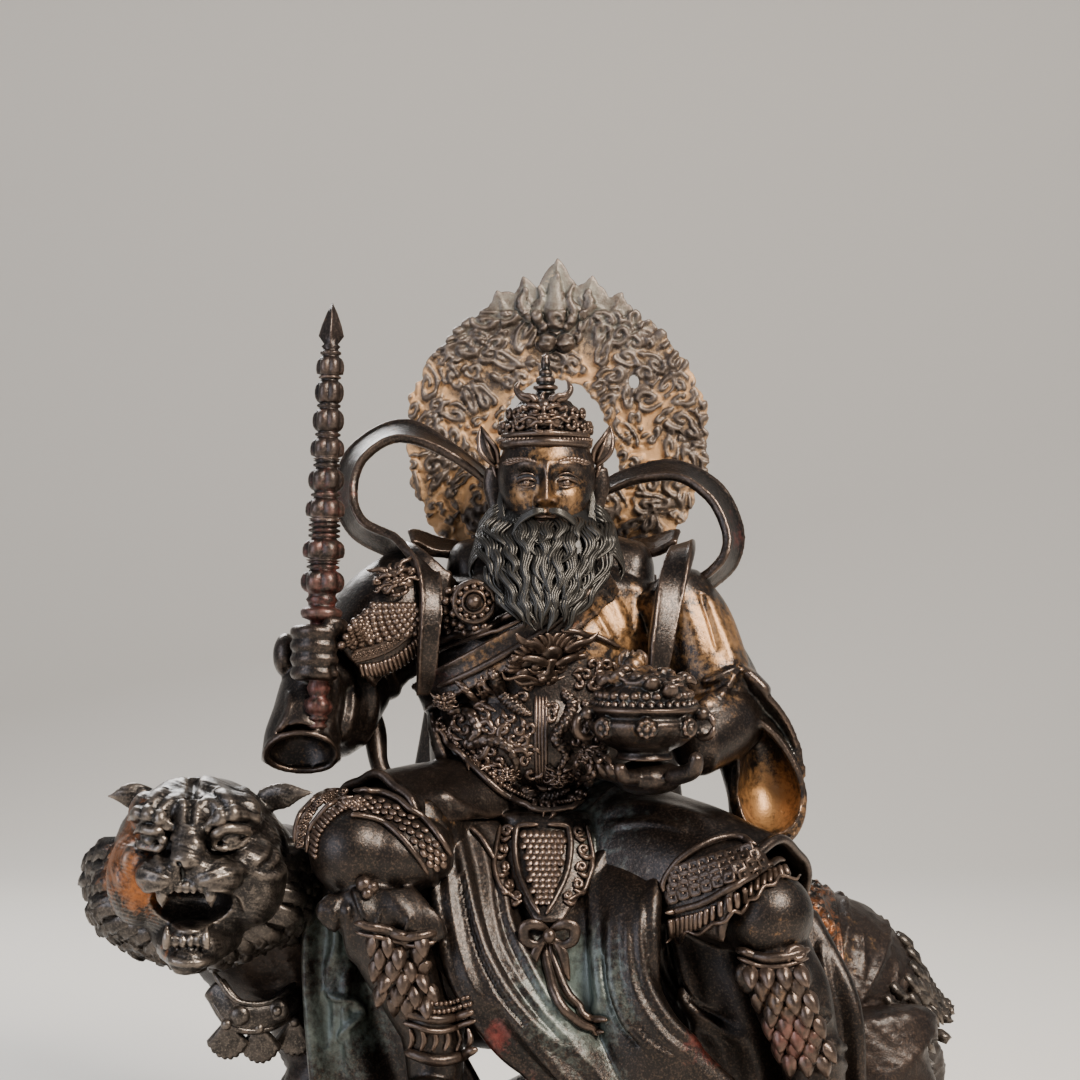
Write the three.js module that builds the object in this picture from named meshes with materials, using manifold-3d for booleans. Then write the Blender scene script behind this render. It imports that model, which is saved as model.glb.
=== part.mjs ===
// Brass god of wealth riding a tiger: a cast and gilded altar figure on a rockwork plinth.
// Units are millimetres and +Z is up. The viewer stands at -Y with +X to the right, and left and right in
// the comments are the viewer's. The origin is at the centre of the plinth's flat underside.
import * as THREE from "three";
import { mergeVertices } from "three/addons/utils/BufferGeometryUtils.js";
import Module from "manifold-3d";

const wasm = await Module();
wasm.setup();

// Driving dimensions
const FOOT_LENGTH = 205; // plinth, along X
const FOOT_DEPTH = 122; // plinth, along Y
const FOOT_HEIGHT = 8; // plain oval foot under the rocks
const GROUND = 15; // top of the rockwork that the paws stand on
const GAP = 0.3; // clearance between touching pieces
const HEAD = [1.5, -4, 184.5]; // the god's
const TIGER_HEAD = [-75, -38, 97];
const BOWL = [23, -36, 121.5]; // underside of the bowl's foot
const BOWL_RADIUS = 12.6;
const BOWL_RIM = 11.6; // height of the rim over the foot
const WHIP_FOOT = [-50.5, -22, 127];
const WHIP_TIP = [-47.5, -16, 224.5];
const HALO = [4.2, 24, 194.4];
const HALO_RADIUS = 35.6;
const HALO_THICKNESS = 3.6;
const KNEE_LEFT = [-40.5, -42, 102];
const KNEE_RIGHT = [50, -39, 87.5];

const v3 = (p) => new THREE.Vector3(...p);
const mix = (a, b, t) => a + (b - a) * t;
const bump = (x, centre, width) => Math.exp(-(((x - centre) / width) ** 2));
const count = (n, make) => Array.from({ length: n }, (_, i) => make(i));
const bothSides = (make) => [-1, 1].map(make);

// A closed geometry as a solid, turned round if its faces point inwards.
function solid(geometry) {
  const bare = new THREE.BufferGeometry().setAttribute("position", geometry.getAttribute("position"));
  if (geometry.index) bare.setIndex(geometry.index);
  const merged = mergeVertices(bare, 1e-4);
  const vertProperties = merged.attributes.position.array;
  const faces = new Uint32Array(merged.index.array);
  const made = new wasm.Manifold(new wasm.Mesh({ numProp: 3, vertProperties, triVerts: faces }));
  if (made.volume() > 0) return made;
  const turned = faces.map((_, i) => faces[i - (i % 3) + [1, 0, 2][i % 3]]);
  return new wasm.Manifold(new wasm.Mesh({ numProp: 3, vertProperties, triVerts: turned }));
}

const join = (...parts) => wasm.Manifold.union(parts.flat(2));

// The outer skin of a joined or cut solid, with no loose sliver and no sealed bubble.
const largest = (cut) => cut.decompose().sort((a, b) => b.volume() - a.volume())[0];

// A closed form grown from a sphere: place(angle, t) gives each point, with t from 0 to 1 from pole to pole.
function molded(sides, steps, place) {
  const geometry = new THREE.SphereGeometry(1, sides, steps);
  const position = geometry.getAttribute("position");
  const uv = geometry.getAttribute("uv");
  for (let i = 0; i < position.count; i++) {
    const t = 1 - uv.getY(i);
    const pole = t === 0 || t === 1;
    const point = place(pole ? 0 : 2 * Math.PI * (uv.getX(i) % 1), t);
    position.setXYZ(i, point.x, point.y, point.z);
  }
  return solid(geometry);
}

// A closed plate grown from a box: place(u, v, w) gives each point. u and v run from 0 to 1, and w runs from
// -0.5 to 0.5 through the thickness.
function plate(across, down, place) {
  const geometry = new THREE.BoxGeometry(1, 1, 1, across, down, 1);
  const position = geometry.getAttribute("position");
  for (let i = 0; i < position.count; i++) {
    const point = place(position.getX(i) + 0.5, position.getY(i) + 0.5, position.getZ(i));
    position.setXYZ(i, point.x, point.y, point.z);
  }
  return solid(geometry);
}

const curve = (points) => new THREE.CatmullRomCurve3(points.map(v3), false, "catmullrom", 0.5);

// Values given at even steps along a path, read at t.
function along(values, t) {
  const at = Math.min(t, 0.9999) * (values.length - 1);
  const i = Math.floor(at);
  const part = at - i;
  return mix(values[i], values[i + 1], part * part * (3 - 2 * part));
}

// A limb: an oval section carried along a smooth path and rounded at both ends. across is its half width
// square to `up`, and deep its half width along `up`.
function limb(path, across, deep, { sides = 8, steps = 5, cap = 0.22, up = DEEP, grow = 0 } = {}) {
  const line = curve(path);
  return molded(sides, steps, (angle, t) => {
    const end = Math.max(0, Math.abs(2 * t - 1) - (1 - cap)) / cap;
    const round = Math.sqrt(Math.max(0, 1 - end * end));
    const tangent = line.getTangent(t);
    const side = new THREE.Vector3().crossVectors(tangent, v3(up)).normalize();
    const over = new THREE.Vector3().crossVectors(side, tangent).normalize();
    return line
      .getPoint(t)
      .addScaledVector(tangent, grow * (2 * t - 1))
      .addScaledVector(side, (along(across, t) + grow) * round * Math.cos(angle))
      .addScaledVector(over, (along(deep, t) + grow) * round * Math.sin(angle));
  });
}

const ROUGH = { sides: 6, steps: 3 }; // a limb that is mostly covered
const FLAT = [0, 0, 1]; // `up` of a limb that lies rather than hangs
const DEEP = [0, -1, 0]; // `up` of one that hangs

// A round limb, such as a finger, a horn or a lock.
const stick = (path, radii, sides = 5, steps = 4, up = FLAT) =>
  limb(path, radii, radii, { sides, steps, up });

// A ball with three half widths.
const ball = ([x, y, z], [a, b, c], sides = 8, steps = 4) =>
  molded(sides, steps, (angle, t) => {
    const ring = Math.sin(Math.PI * t);
    const out = v3([a * ring * Math.cos(angle), b * ring * Math.sin(angle), c * Math.cos(Math.PI * t)]);
    return out.add(v3([x, y, z]));
  });

// A band of cast cloth: it follows a path, and its width lies along `wide`, given at even steps of it.
function band(path, widths, wide, thick, steps) {
  const line = curve(path);
  const cross = curve(wide);
  return plate(steps, 1, (u, v, w) => {
    const tangent = line.getTangent(u);
    const width = cross.getPoint(u).projectOnPlane(tangent).normalize();
    const face = new THREE.Vector3().crossVectors(tangent, width).normalize();
    return line
      .getPoint(u)
      .addScaledVector(width, (v - 0.5) * along(widths, u))
      .addScaledVector(face, w * thick);
  });
}

// A fall of cloth between two edges that run down it, with `folds` ridges of that depth and a waved hem.
function drape(leftEdge, rightEdge, shape) {
  const { folds = 2, depth = 1.5, thick = 4, belly = 0, hem = 0, across = 8, down = 3 } = shape;
  const left = curve(leftEdge);
  const right = curve(rightEdge);
  return plate(across, down, (u, v, w) => {
    const t = 1 - v;
    const point = left.getPoint(t).lerp(right.getPoint(t), u);
    const wave = Math.cos(2 * Math.PI * folds * u);
    point.y += w * thick - wave * depth * (0.4 + 0.6 * t) - belly * Math.sin(Math.PI * u);
    point.z -= hem * wave * t ** 4;
    return point;
  });
}

// A shell of armour over a limb's axis, with a scalloped hem. Its angles are half turns, and 0.5 is its top.
function guard(start, end, radii, [from, to], { thick = 2, across = 10, down = 2, hem = 0.6 }) {
  const line = curve([start, end]);
  const axis = v3(end).sub(v3(start)).normalize();
  const side = new THREE.Vector3().crossVectors(axis, v3(FLAT)).normalize();
  const over = new THREE.Vector3().crossVectors(side, axis).normalize();
  return plate(across, down, (u, v, w) => {
    const angle = mix(from, to, u) * Math.PI;
    const radius = along(radii, v) + w * thick + hem * v * v * Math.cos(Math.PI * across * u);
    return line
      .getPoint(v)
      .addScaledVector(side, radius * Math.cos(angle))
      .addScaledVector(over, radius * Math.sin(angle));
  });
}

// Plinth: a plain oval foot with rocks. The long rock carries the tiger's belly, and two carry the feet.
function rock([x, y], [a, b, top], turn, sides = 7, steps = 4) {
  const floor = FOOT_HEIGHT - 2;
  return molded(sides, steps, (angle, t) => {
    const ring = Math.sin(Math.PI * t * t) ** 0.6;
    const rough = 1 + 0.09 * Math.sin(3 * angle + turn) + 0.06 * Math.sin(7 * t + 2 * angle + turn);
    const high = mix(floor, top, 0.5 + 0.5 * Math.cos(Math.PI * t));
    return v3([x + a * ring * rough * Math.cos(angle), y + b * ring * rough * Math.sin(angle), high]);
  });
}

function plinth() {
  const foot = new THREE.CylinderGeometry(0.98, 1, FOOT_HEIGHT, 26)
    .rotateX(Math.PI / 2)
    .scale(FOOT_LENGTH / 2, FOOT_DEPTH / 2, 1)
    .translate(0, 0, FOOT_HEIGHT / 2);
  const ledge = molded(18, 4, (angle, t) => {
    const rough = 1 + 0.03 * Math.sin(5 * angle) + 0.02 * Math.sin(8 * angle + 1);
    const ring = [0, 0.9, 0.96, 0.96, 0][Math.round(4 * t)] * rough;
    const high = [GROUND - GAP, GROUND - GAP, 10, 6, 6][Math.round(4 * t)];
    const [x, y] = [ring * FOOT_LENGTH * Math.cos(angle), ring * FOOT_DEPTH * Math.sin(angle)];
    return v3([x / 2, y / 2, high]);
  });
  const belly = rock([12, 14], [52, 18, 46], 0.6, 10, 5);
  const footrests = [rock([-24, -43], [14, 12, 48], 1.5), rock([62, -41], [15, 12, 39.5], 3.2)];
  const middle = rock([20, -36], [28, 13, 31], 2.2);
  const behind = rock([-40, 42], [26, 9, 22], 0.4);
  return join(solid(foot), ledge, belly, footrests, middle, behind);
}

// Tiger: its trunk, with `grow` to swell it so that it cuts a clear seat in the rider.
const TRUNK = [[-64, -8, 84], [-48, 5, 74], [-10, 13, 68], [35, 15, 65], [66, 16, 58], [92, 18, 44]];
const TRUNK_WIDE = [16, 22, 20, 21, 24, 12];
const TRUNK_HIGH = [17, 24, 20, 21, 27, 14];

function tigerTrunk(grow = 0) {
  const trunk = limb(TRUNK, TRUNK_WIDE, TRUNK_HIGH, { sides: 11, steps: 9, cap: 0.2, up: FLAT, grow });
  const neck = limb([[-44, 6, 72], [-60, -10, 82], [-73, -26, 92]], [22, 21, 17], [23, 22, 17], {
    sides: 10, steps: 4, up: FLAT, grow,
  });
  return join(trunk, neck);
}

function tigerLegs() {
  const leg = (path, across, deep) => limb(path, across, deep, { sides: 6, steps: 5, cap: 0.16 });
  const paw = (x, y) =>
    molded(10, 4, (angle, t) => {
      const toes = 1 + 0.1 * Math.cos(4 * angle) * Math.max(0, -Math.cos(angle));
      const ring = Math.sin(Math.PI * t) ** 0.8 * toes;
      const high = GROUND + 4.4 + 4.4 * Math.cos(Math.PI * t);
      return v3([x + 2 + 10 * ring * Math.cos(angle), y + 7 * ring * Math.sin(angle), high]);
    });
  const frontLeg = (y, x) => {
    const path = [[x, y * 0.6, 64], [x + 4, y, 48], [x - 6, y, 32], [x - 9, y, 20]];
    return leg(path, [13, 11, 7.5, 7], [11, 9, 7.5, 6.5]);
  };
  const hindLeg = (y, x) => {
    const path = [[x, y + 4, 60], [x + 4, y, 44], [x + 17, y - 1, 33], [x + 21, y - 2, 21]];
    return leg(path, [20, 19, 8.5, 7], [12, 12, 7, 6.5]);
  };
  return join(
    frontLeg(-19.5, -51), frontLeg(26, -52), hindLeg(-9, 72), hindLeg(32, 70),
    paw(-67, -20.5), paw(-68, 25), paw(84, -12), paw(81, 30),
  );
}

// A point on the tiger's head, from the middle of its skull.
const face = (x, y, z) => [TIGER_HEAD[0] + x, TIGER_HEAD[1] + y, TIGER_HEAD[2] + z];

function tigerHead() {
  const skull = ball(face(0, 2, 2), [19.5, 18, 19], 10, 6);
  const features = bothSides((s) => [
    ball(face(6.8 * s, -12, 11), [7, 6.5, 5.5], 6, 4), // brow
    ball(face(13 * s, -6, 0), [8, 10, 10], 6, 4), // cheek
    ball(face(5 * s, -18.5, 2), [6.6, 7, 5], 6, 4), // lip
    stick([face(12 * s, 2, 14), face(17.5 * s, 1, 17), face(22 * s, -1, 17)], [4.2, 3.6, 1], 5, 3, DEEP),
  ]);
  const bridge = limb(
    [face(0, -14, 12), face(0, -20, 8), face(0, -24, 5.5)],
    [4.5, 4.2, 4.4], [4.5, 4, 3], { sides: 6, steps: 3, up: FLAT },
  );
  const jaw = limb(
    [face(0, -2, -13), face(0, -12, -14.5), face(0, -19.5, -14)],
    [11, 8, 5.5], [6, 5, 4], { sides: 7, steps: 4, up: FLAT },
  );
  const mouth = ball(face(0, -20, -5.2), [9, 13, 5.2], 6, 4);
  const tooth = (x, from, to) => stick([face(x, -20, from), face(x, -20.5, to)], [1.5, 0.9], 4, 3, DEEP);
  const teeth = [tooth(-6, 1, -5), tooth(6, 1, -5), tooth(0, -13, -8.5)];
  const head = join(skull, features, bridge, jaw, ruff()).subtract(mouth);
  return join(head, teeth);
}

// The ruff: a collar of thick locks round the cheeks and the throat.
function ruff(grow = 0) {
  const lock = (i) => {
    const angle = mix(0.88, 2.12, i / 7) * Math.PI;
    const [across, up] = [Math.cos(angle), Math.sin(angle)];
    const wave = Math.sin(2.4 * i);
    const root = face(15 * across, 8 + 2 * wave, -2 + 13 * up);
    const tip = face(27.5 * across, 13 + 3 * wave, -5 + 17.5 * up);
    const middle = face(24 * across, 8 + 2 * wave, -4 + 16 * up);
    const radii = [7, 5.4, 1.4];
    return limb([root, middle, tip], radii, radii, { sides: 4, steps: 3, up: [0, 1, 0], grow });
  };
  const collar = ball(face(0, 9, -2), [22.5 + grow, 12 + grow, 19 + grow], 8, 5);
  return join(collar, count(8, lock));
}

// Saddle cloth: it lies over the rump, with a pointed hem.
function saddleCloth(grow = 0) {
  const spine = curve(TRUNK);
  return plate(5, 6, (u, v, w) => {
    const t = mix(0.56 - 0.01 * grow, 0.84, u);
    const centre = spine.getPoint(t);
    const hem = 1 + 0.06 * Math.abs(Math.sin(3 * Math.PI * u)) * Math.abs(2 * v - 1);
    const angle = mix(-0.62, 0.62, v) * Math.PI * hem;
    const lift = 1.2 + w * (2.4 + 2 * grow);
    const wide = (along(TRUNK_WIDE, t) + lift) * Math.sin(angle);
    const high = (along(TRUNK_HIGH, t) + lift) * Math.cos(angle);
    return v3([centre.x, centre.y + wide, centre.z + high]);
  });
}

// Harness: a strap under the throat with three tassels.
function harness() {
  const strap = band(
    [[-70, -34, 73], [-62, -31, 67], [-54, -25, 67], [-50, -18, 74]],
    [6, 7, 7, 6],
    [[0.5, -0.2, 1], [0.7, 0, 1], [-1, 0, 0.9], [-1, 0, 0.7]],
    3, 3,
  );
  const tassels = count(3, (i) => {
    const [x, y, z] = [-66 + 5 * i, -31 + 2.4 * i, 66 + 0.5 * i];
    return stick([[x, y, z], [x + 1, y - 1, z - 6], [x + 2, y, z - 12]], [2.6, 3, 3.2], 4, 3, DEEP);
  });
  return join(strap, tassels);
}

function tail() {
  const path = [[88, 24, 50], [100, 36, 40], [99, 46, 26], [84, 50, 21], [62, 48, 20], [48, 42, 23]];
  return stick(path, [6, 5, 4.6, 4.4, 4.6, 2.4], 6, 8);
}

// The god's legs: bare knees, greaves under a garter of drawn-up cloth, and soft boots.
const LEGS = [
  { hip: [-10, 0, 99], knee: KNEE_LEFT, ankle: [-23, -42, 60], toe: [-25, -61, 51] },
  { hip: [14, 0, 97], knee: KNEE_RIGHT, ankle: [61, -38, 51], toe: [63, -57, 42.5] },
];

function boot({ ankle: [x, y, z], toe }, grow = 0) {
  const instep = [mix(x, toe[0], 0.5), mix(y, toe[1], 0.5), toe[2] - 1];
  const heel = [x, y + 4, toe[2] - 0.5];
  const shaft = [[x - 1, y, z + 6], [x, y, z - 4], [x, y, z - 10]];
  return join(
    limb(shaft, [7.4, 6.6, 6], [7.4, 6.8, 6.4], { sides: 6, steps: 3, grow }),
    limb([heel, instep, toe], [6, 6, 4.5], [4.5, 4, 3.4], { sides: 6, steps: 3, up: FLAT, grow }),
  );
}

function leg(form) {
  const { hip, knee, ankle } = form;
  const [kx, ky, kz] = knee;
  const [ax, ay, az] = ankle;
  const thigh = [mix(hip[0], kx, 0.55), mix(hip[1], ky, 0.55), mix(hip[2], kz, 0.5) + 3];
  const shin = [mix(kx, ax, 0.4), ay - 2, mix(kz, az, 0.45)];
  return join(
    limb([hip, thigh, knee], [17, 14, 11], [15, 13, 11], { sides: 7, steps: 3 }),
    ball(knee, [10.6, 10.4, 10.4], 8, 5),
    limb([[kx + 1, ky, kz - 6], shin, ankle], [8.4, 8.6, 6.4], [8, 8.4, 6.4], { sides: 6, steps: 4 }),
    stick([[ax - 8.5, ay, az + 4], [ax - 1, ay - 6, az + 5.5], [ax + 6.5, ay, az + 3]], [2, 2.4, 2], 4, 3),
    bothSides((s) => ball([kx + 1 + 4 * s, ky - 8, kz - 11.5 - s], [4, 3, 3.4], 5, 3)),
    boot(form),
  );
}

// The robe below the belt: the lap, the long falls that sweep to the right, the panels over the tiger's
// flank and the coat tails behind.
function skirts() {
  const lap = ball([2, 2, 96], [33, 24, 15], 10, 4);
  const seat = ball([2, 14, 92], [34, 22, 16], 8, 4);
  const leftFall = drape(
    [[-30, -25, 112], [-24, -38, 92], [-20, -44, 76], [-11, -46, 62], [6, -46, 46]],
    [[-6, -22, 106], [-2, -32, 90], [4, -40, 76], [14, -46, 60], [30, -48, 38]],
    { folds: 2.5, belly: 3, hem: 2, across: 10, down: 4 },
  );
  const rightFall = drape(
    [[8, -22, 106], [11, -34, 92], [11, -42, 74], [15, -46, 58], [22, -48, 44]],
    [[34, -28, 104], [26, -42, 92], [26, -46, 74], [36, -48, 60], [52, -46, 47]],
    { belly: 4, hem: 2, down: 4 },
  );
  const middle = drape(
    [[-8, -20, 104], [-6, -30, 80], [-2, -36, 38]],
    [[16, -22, 104], [20, -33, 80], [28, -38, 36]],
    { folds: 1, depth: 0.8, thick: 8, across: 4, down: 2 },
  );
  const flankLeft = drape(
    [[-52, -30, 97], [-53, -33, 74], [-50, -34, 38]],
    [[-28, -20, 98], [-26, -26, 74], [-6, -30, 38]],
    { folds: 1.5, depth: 2, thick: 6, hem: 2.4, across: 6, down: 2 },
  );
  const flankRight = drape(
    [[26, -26, 96], [32, -31, 66], [40, -32, 38]],
    [[63, -20, 86], [72, -28, 66], [73, -28, 40]],
    { folds: 1.5, depth: 2, thick: 6, hem: 2.4, across: 6, down: 2 },
  );
  const tucks = [
    limb([[-48, -18, 92], [-40, -14, 76], [-28, -12, 60]], [10, 12, 10], [12, 14, 12], ROUGH),
    limb([[30, -12, 88], [42, -14, 70], [52, -14, 56]], [14, 16, 12], [14, 14, 12], ROUGH),
  ];
  const tails = drape(
    [[-34, 21, 100], [-37, 32, 82], [-35, 41, 64]],
    [[36, 21, 100], [39, 32, 82], [37, 41, 64]],
    { folds: 2, depth: -1.4, thick: 8, hem: 2, down: 1 },
  );
  return join(lap, seat, leftFall, rightFall, middle, flankLeft, flankRight, tucks, tails);
}

// Thigh guards with a scalloped hem, the scaled apron with its bow, and the bow's long ends.
function skirtArmour() {
  const cut = { across: 7, down: 1 };
  const left = guard([-14, -8, 104], [-37, -33, 103.5], [16, 14.6, 13.6], [-0.02, 0.92], cut);
  const right = guard([14, -8, 98], [46, -35, 89.5], [17, 17, 15], [-0.12, 1], cut);
  const apron = plate(2, 3, (u, v, w) => {
    const half = 3 + 8.5 * Math.sin(0.5 * Math.PI * Math.min(1, 1.3 * v)) - 1.6 * v ** 6;
    const x = mix(-half, half, u);
    return v3([2 + x, mix(-41.5, -25, v ** 0.8) + 0.03 * x * x + w * 7, mix(86, 109, v)]);
  });
  const bow = bothSides((s) => {
    const loop = [[2, -42, 85], [2 + 5 * s, -43.5, 85.5], [2 + 6 * s, -43, 81], [2 + 4 * s, -42.5, 77]];
    return stick(loop, [1.4, 2, 1.8, 1.2], 5, 4, DEEP);
  });
  const endPath = [[2, -42, 84], [3, -43, 72], [7, -46.5, 60], [14, -50, 51]];
  const ends = stick(endPath, [1.8, 2, 2, 1.8], 4, 5, DEEP);
  return join(left, right, apron, bow, ends);
}

// The trunk in its armour: hem, strap, twin dragons, horned mask over the belly, lapel band and medallion.
function torso() {
  const trunk = limb(
    [[1, 5, 86], [-1, 3, 104], [-0.5, 0, 124], [1, 1, 144], [2, 3, 158], [2, 3, 168]],
    [28, 24, 25.5, 27, 27, 12], [20, 17, 19.5, 18, 14, 9], { sides: 10, steps: 7, cap: 0.1 },
  );
  const yoke = [[-22, 4, 160], [2, 6, 163.5], [27, 4, 160]];
  const shoulders = limb(yoke, [8, 8, 8], [9, 10, 9], { sides: 6, steps: 3, up: FLAT });
  const hem = band(
    [[-25.5, -7, 131], [-22, -14, 120], [-13, -19.5, 110], [1, -21, 106], [14, -19, 109], [24, -11, 116]],
    [3, 3.4, 3.4, 3.4, 3.4, 3],
    [[0.3, -0.6, 1], [0.3, -0.3, 1], [0.2, -0.2, 1], [0, -0.2, 1], [-0.2, -0.2, 1], [-0.3, -0.4, 1]],
    3, 5,
  );
  const belly = ball([-0.5, -3, 124], [24.5, 18.6, 18], 10, 5);
  const mask = ball([1, -19.5, 141], [10.5, 4.5, 6], 6, 4);
  const horns = bothSides((s) =>
    stick([[1 + 5 * s, -21, 145], [1 + 10 * s, -21, 148], [1 + 13 * s, -19, 146]], [1.6, 1.4, 0.8], 4, 3));
  const strap = stick([[1, -21, 137], [1, -22.5, 124], [1, -22, 111]], [1.8, 1.8, 1.8], 4, 3, DEEP);
  const dragon = (s) => {
    const path = count(6, (i) => {
      const x = s * (7 + 1.8 * i + 3.5 * Math.sin(1.2 * i));
      return [x, -21.6 + 0.022 * x * x, 136 - 4.8 * i];
    });
    return stick(path, [2.2, 2.4, 2.2, 2, 1.6, 1.2], 4, 5, DEEP);
  };
  const lapel = band(
    [[17, -16, 161], [6, -20, 152.5], [-8, -20.5, 144.5], [-20, -17, 138], [-28, -7, 133]],
    [7, 8.5, 9, 9, 8],
    [[0.4, 0, 1], [0.5, 0, 1], [0.5, 0, 1], [0.4, -0.3, 1], [0.2, -0.6, 1]],
    3.4, 5,
  );
  const medallion = ball([-15, -16.5, 155.5], [5, 3, 5], 6, 4);
  return join(trunk, shoulders, hem, belly, mask, horns, strap, bothSides(dragon), lapel, medallion);
}

// The arm that holds the rod: a beast mask on the shoulder, a scaled shoulder guard and a wide hanging cuff.
function rodArm() {
  const upper = limb([[-24, 2, 160], [-34, 3, 147], [-44, 4, 135]], [10, 9, 8.5], [10, 9.5, 9], ROUGH);
  const shoulder = guard([-24, 0, 163], [-45, -6, 141], [9.5, 12, 10.5], [0.05, 1.2], { across: 6 });
  const beast = [ball([-33, -7, 159], [6, 5.5, 6], 7, 4), ball([-36, -11, 157], [3.4, 3.2, 3], 5, 3)];
  const sleeve = limb(
    [[-40, 5, 138], [-47, 0, 132], [-52, -5, 125], [-56, -8, 121]],
    [8, 11, 11, 7], [10, 11, 11, 8], { sides: 7, steps: 4 },
  );
  const cuff = ball([-55.8, -15, 133], [7.4, 9.5, 14], 7, 5);
  const mouth = ball([-58.5, -22, 130], [7, 9.5, 11.5], 7, 4);
  const forearm = stick([[-45, 4, 133], [-50, -8, 139], [-52, -17, 143]], [6, 5.2, 4.6], 5, 3);
  const fingers = count(4, (i) => {
    const z = 149 - 3.2 * i;
    return stick([[-55, -20, z], [-52.5, -25, z + 0.4], [-48, -23, z]], [1.7, 1.8, 1.6], 4, 3);
  });
  const thumb = stick([[-47, -16, 146], [-45.5, -20, 149.5], [-48, -23.5, 151]], [2, 1.9, 1.6], 4, 3);
  const fist = ball([-51.5, -19, 144], [5.6, 5.4, 7], 6, 4);
  return join(upper, shoulder, beast, join(sleeve, cuff).subtract(mouth), forearm, fist, fingers, thumb);
}

// The arm that carries the bowl, in a wide sleeve that hangs open.
function bowlArm() {
  const chest = limb([[27, -4, 160], [34, -8, 147], [37, -12, 132]], [8, 9, 9], [9, 10, 9], ROUGH);
  const forearmPath = [[47, 0, 132], [42, -14, 128], [33, -27, 121.5]];
  const forearm = limb(forearmPath, [9, 8.5, 6], [9.5, 9, 6.6], { sides: 7, steps: 3, up: FLAT });
  const bag = limb(
    [
      [28, 2, 159], [35, 2, 148], [41.5, 0, 138], [46.8, -5, 127],
      [51.6, -9, 115], [52.5, -11, 107], [53, -12, 100],
    ],
    [9, 9.4, 9, 8.2, 9, 8.8, 6.4], [10, 11, 11, 12, 13, 11, 7.4], { sides: 9, steps: 9, cap: 0.2 },
  );
  const mouth = ball([52.2, -21, 114.5], [7.2, 13, 12.6], 8, 6);
  const palm = ball([24, -35, 117.5], [8, 8, 4], 6, 3);
  const fingers = count(4, (i) => {
    const [x, y] = [19 + 0.8 * i, -31 - 3.4 * i];
    const path = [[x, y, 118], [x - 4.5 + 0.6 * i, y - 2, 118.4], [x - 8 + 1.4 * i, y - 3.6, 121]];
    return stick(path, [1.9, 1.8, 1.4], 4, 3);
  });
  const thumb = stick([[28, -42, 118], [33, -47, 120], [34, -49, 124]], [2.4, 2, 1.6], 4, 3);
  return join(chest, bag.subtract(mouth), forearm, palm, fingers, thumb);
}

function head() {
  const [x, y, z] = HEAD;
  const mask = molded(9, 8, (angle, t) => {
    const ring = Math.sin(Math.PI * t) ** 0.9;
    const front = Math.max(0, -Math.sin(angle)) ** 2;
    const nose = 3.4 * bump(t, 0.56, 0.07) * bump(Math.cos(angle), 0, 0.2);
    const relief = front * (nose + 1.3 * bump(t, 0.43, 0.05));
    return v3([
      x + 11.4 * ring * Math.cos(angle),
      y + (12.4 * ring + relief) * Math.sin(angle),
      z + 14.8 * Math.cos(Math.PI * t),
    ]);
  });
  const beard = limb(
    [[1.5, -8, 180], [1.5, -14, 172], [1.5, -18.5, 162], [1.5, -20, 149.5]],
    [13, 17, 12.5, 2.4], [8, 9, 7, 2.4], { sides: 8, steps: 5, cap: 0.16 },
  );
  const tufts = count(5, (i) => {
    const across = (i - 2) / 2;
    const low = 8 * across * across;
    const root = [1.5 + 13 * across, low - 15, 172];
    const middle = [1.5 + 12 * across, low - 22, 162 + 0.4 * low];
    const tip = [1.5 + 6.5 * across, low - 22.5, 151 + low];
    return stick([root, middle, tip], [3.4, 3.4, 0.9], 4, 3, DEEP);
  });
  const neck = stick([[2, 3, 160], [1.5, 0, 172], [1.5, -1, 180]], [10, 9, 9], 6, 2, DEEP);
  const crest = ball([x, -14, 199.5], [7, 4, 5], 6, 4);
  const trims = bothSides((s) => {
    const horn = [[x + 4 * s, -14, 202], [x + 7 * s, -14.5, 204.5], [x + 7.4 * s, -14, 207.5]];
    const leaf = [[x + 12 * s, -3, 186], [x + 14 * s, -3.5, 191], [x + 15.5 * s, -3, 198]];
    return [stick(horn, [1.4, 1.2, 0.5], 4, 3), stick(leaf, [2.8, 2.8, 0.7], 5, 3, DEEP)];
  });
  // Half widths and heights: the band, the domed cap, then the knobs of the finial.
  const profile = [
    [0, 0], [12.9, 0], [12.9, 2.6], [11.2, 3.4], [10.4, 7], [6.4, 11.6],
    [4.4, 12.4], [2.6, 14.6], [3.3, 16.4], [1.8, 18], [2.2, 19.4], [0, 22.4],
  ];
  const crown = new THREE.LatheGeometry(profile.map((p) => new THREE.Vector2(...p)), 9)
    .rotateX(Math.PI / 2)
    .translate(x - 0.2, y, 191.5);
  return join(mask, beard, tufts, neck, solid(crown), crest, trims);
}

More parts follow.
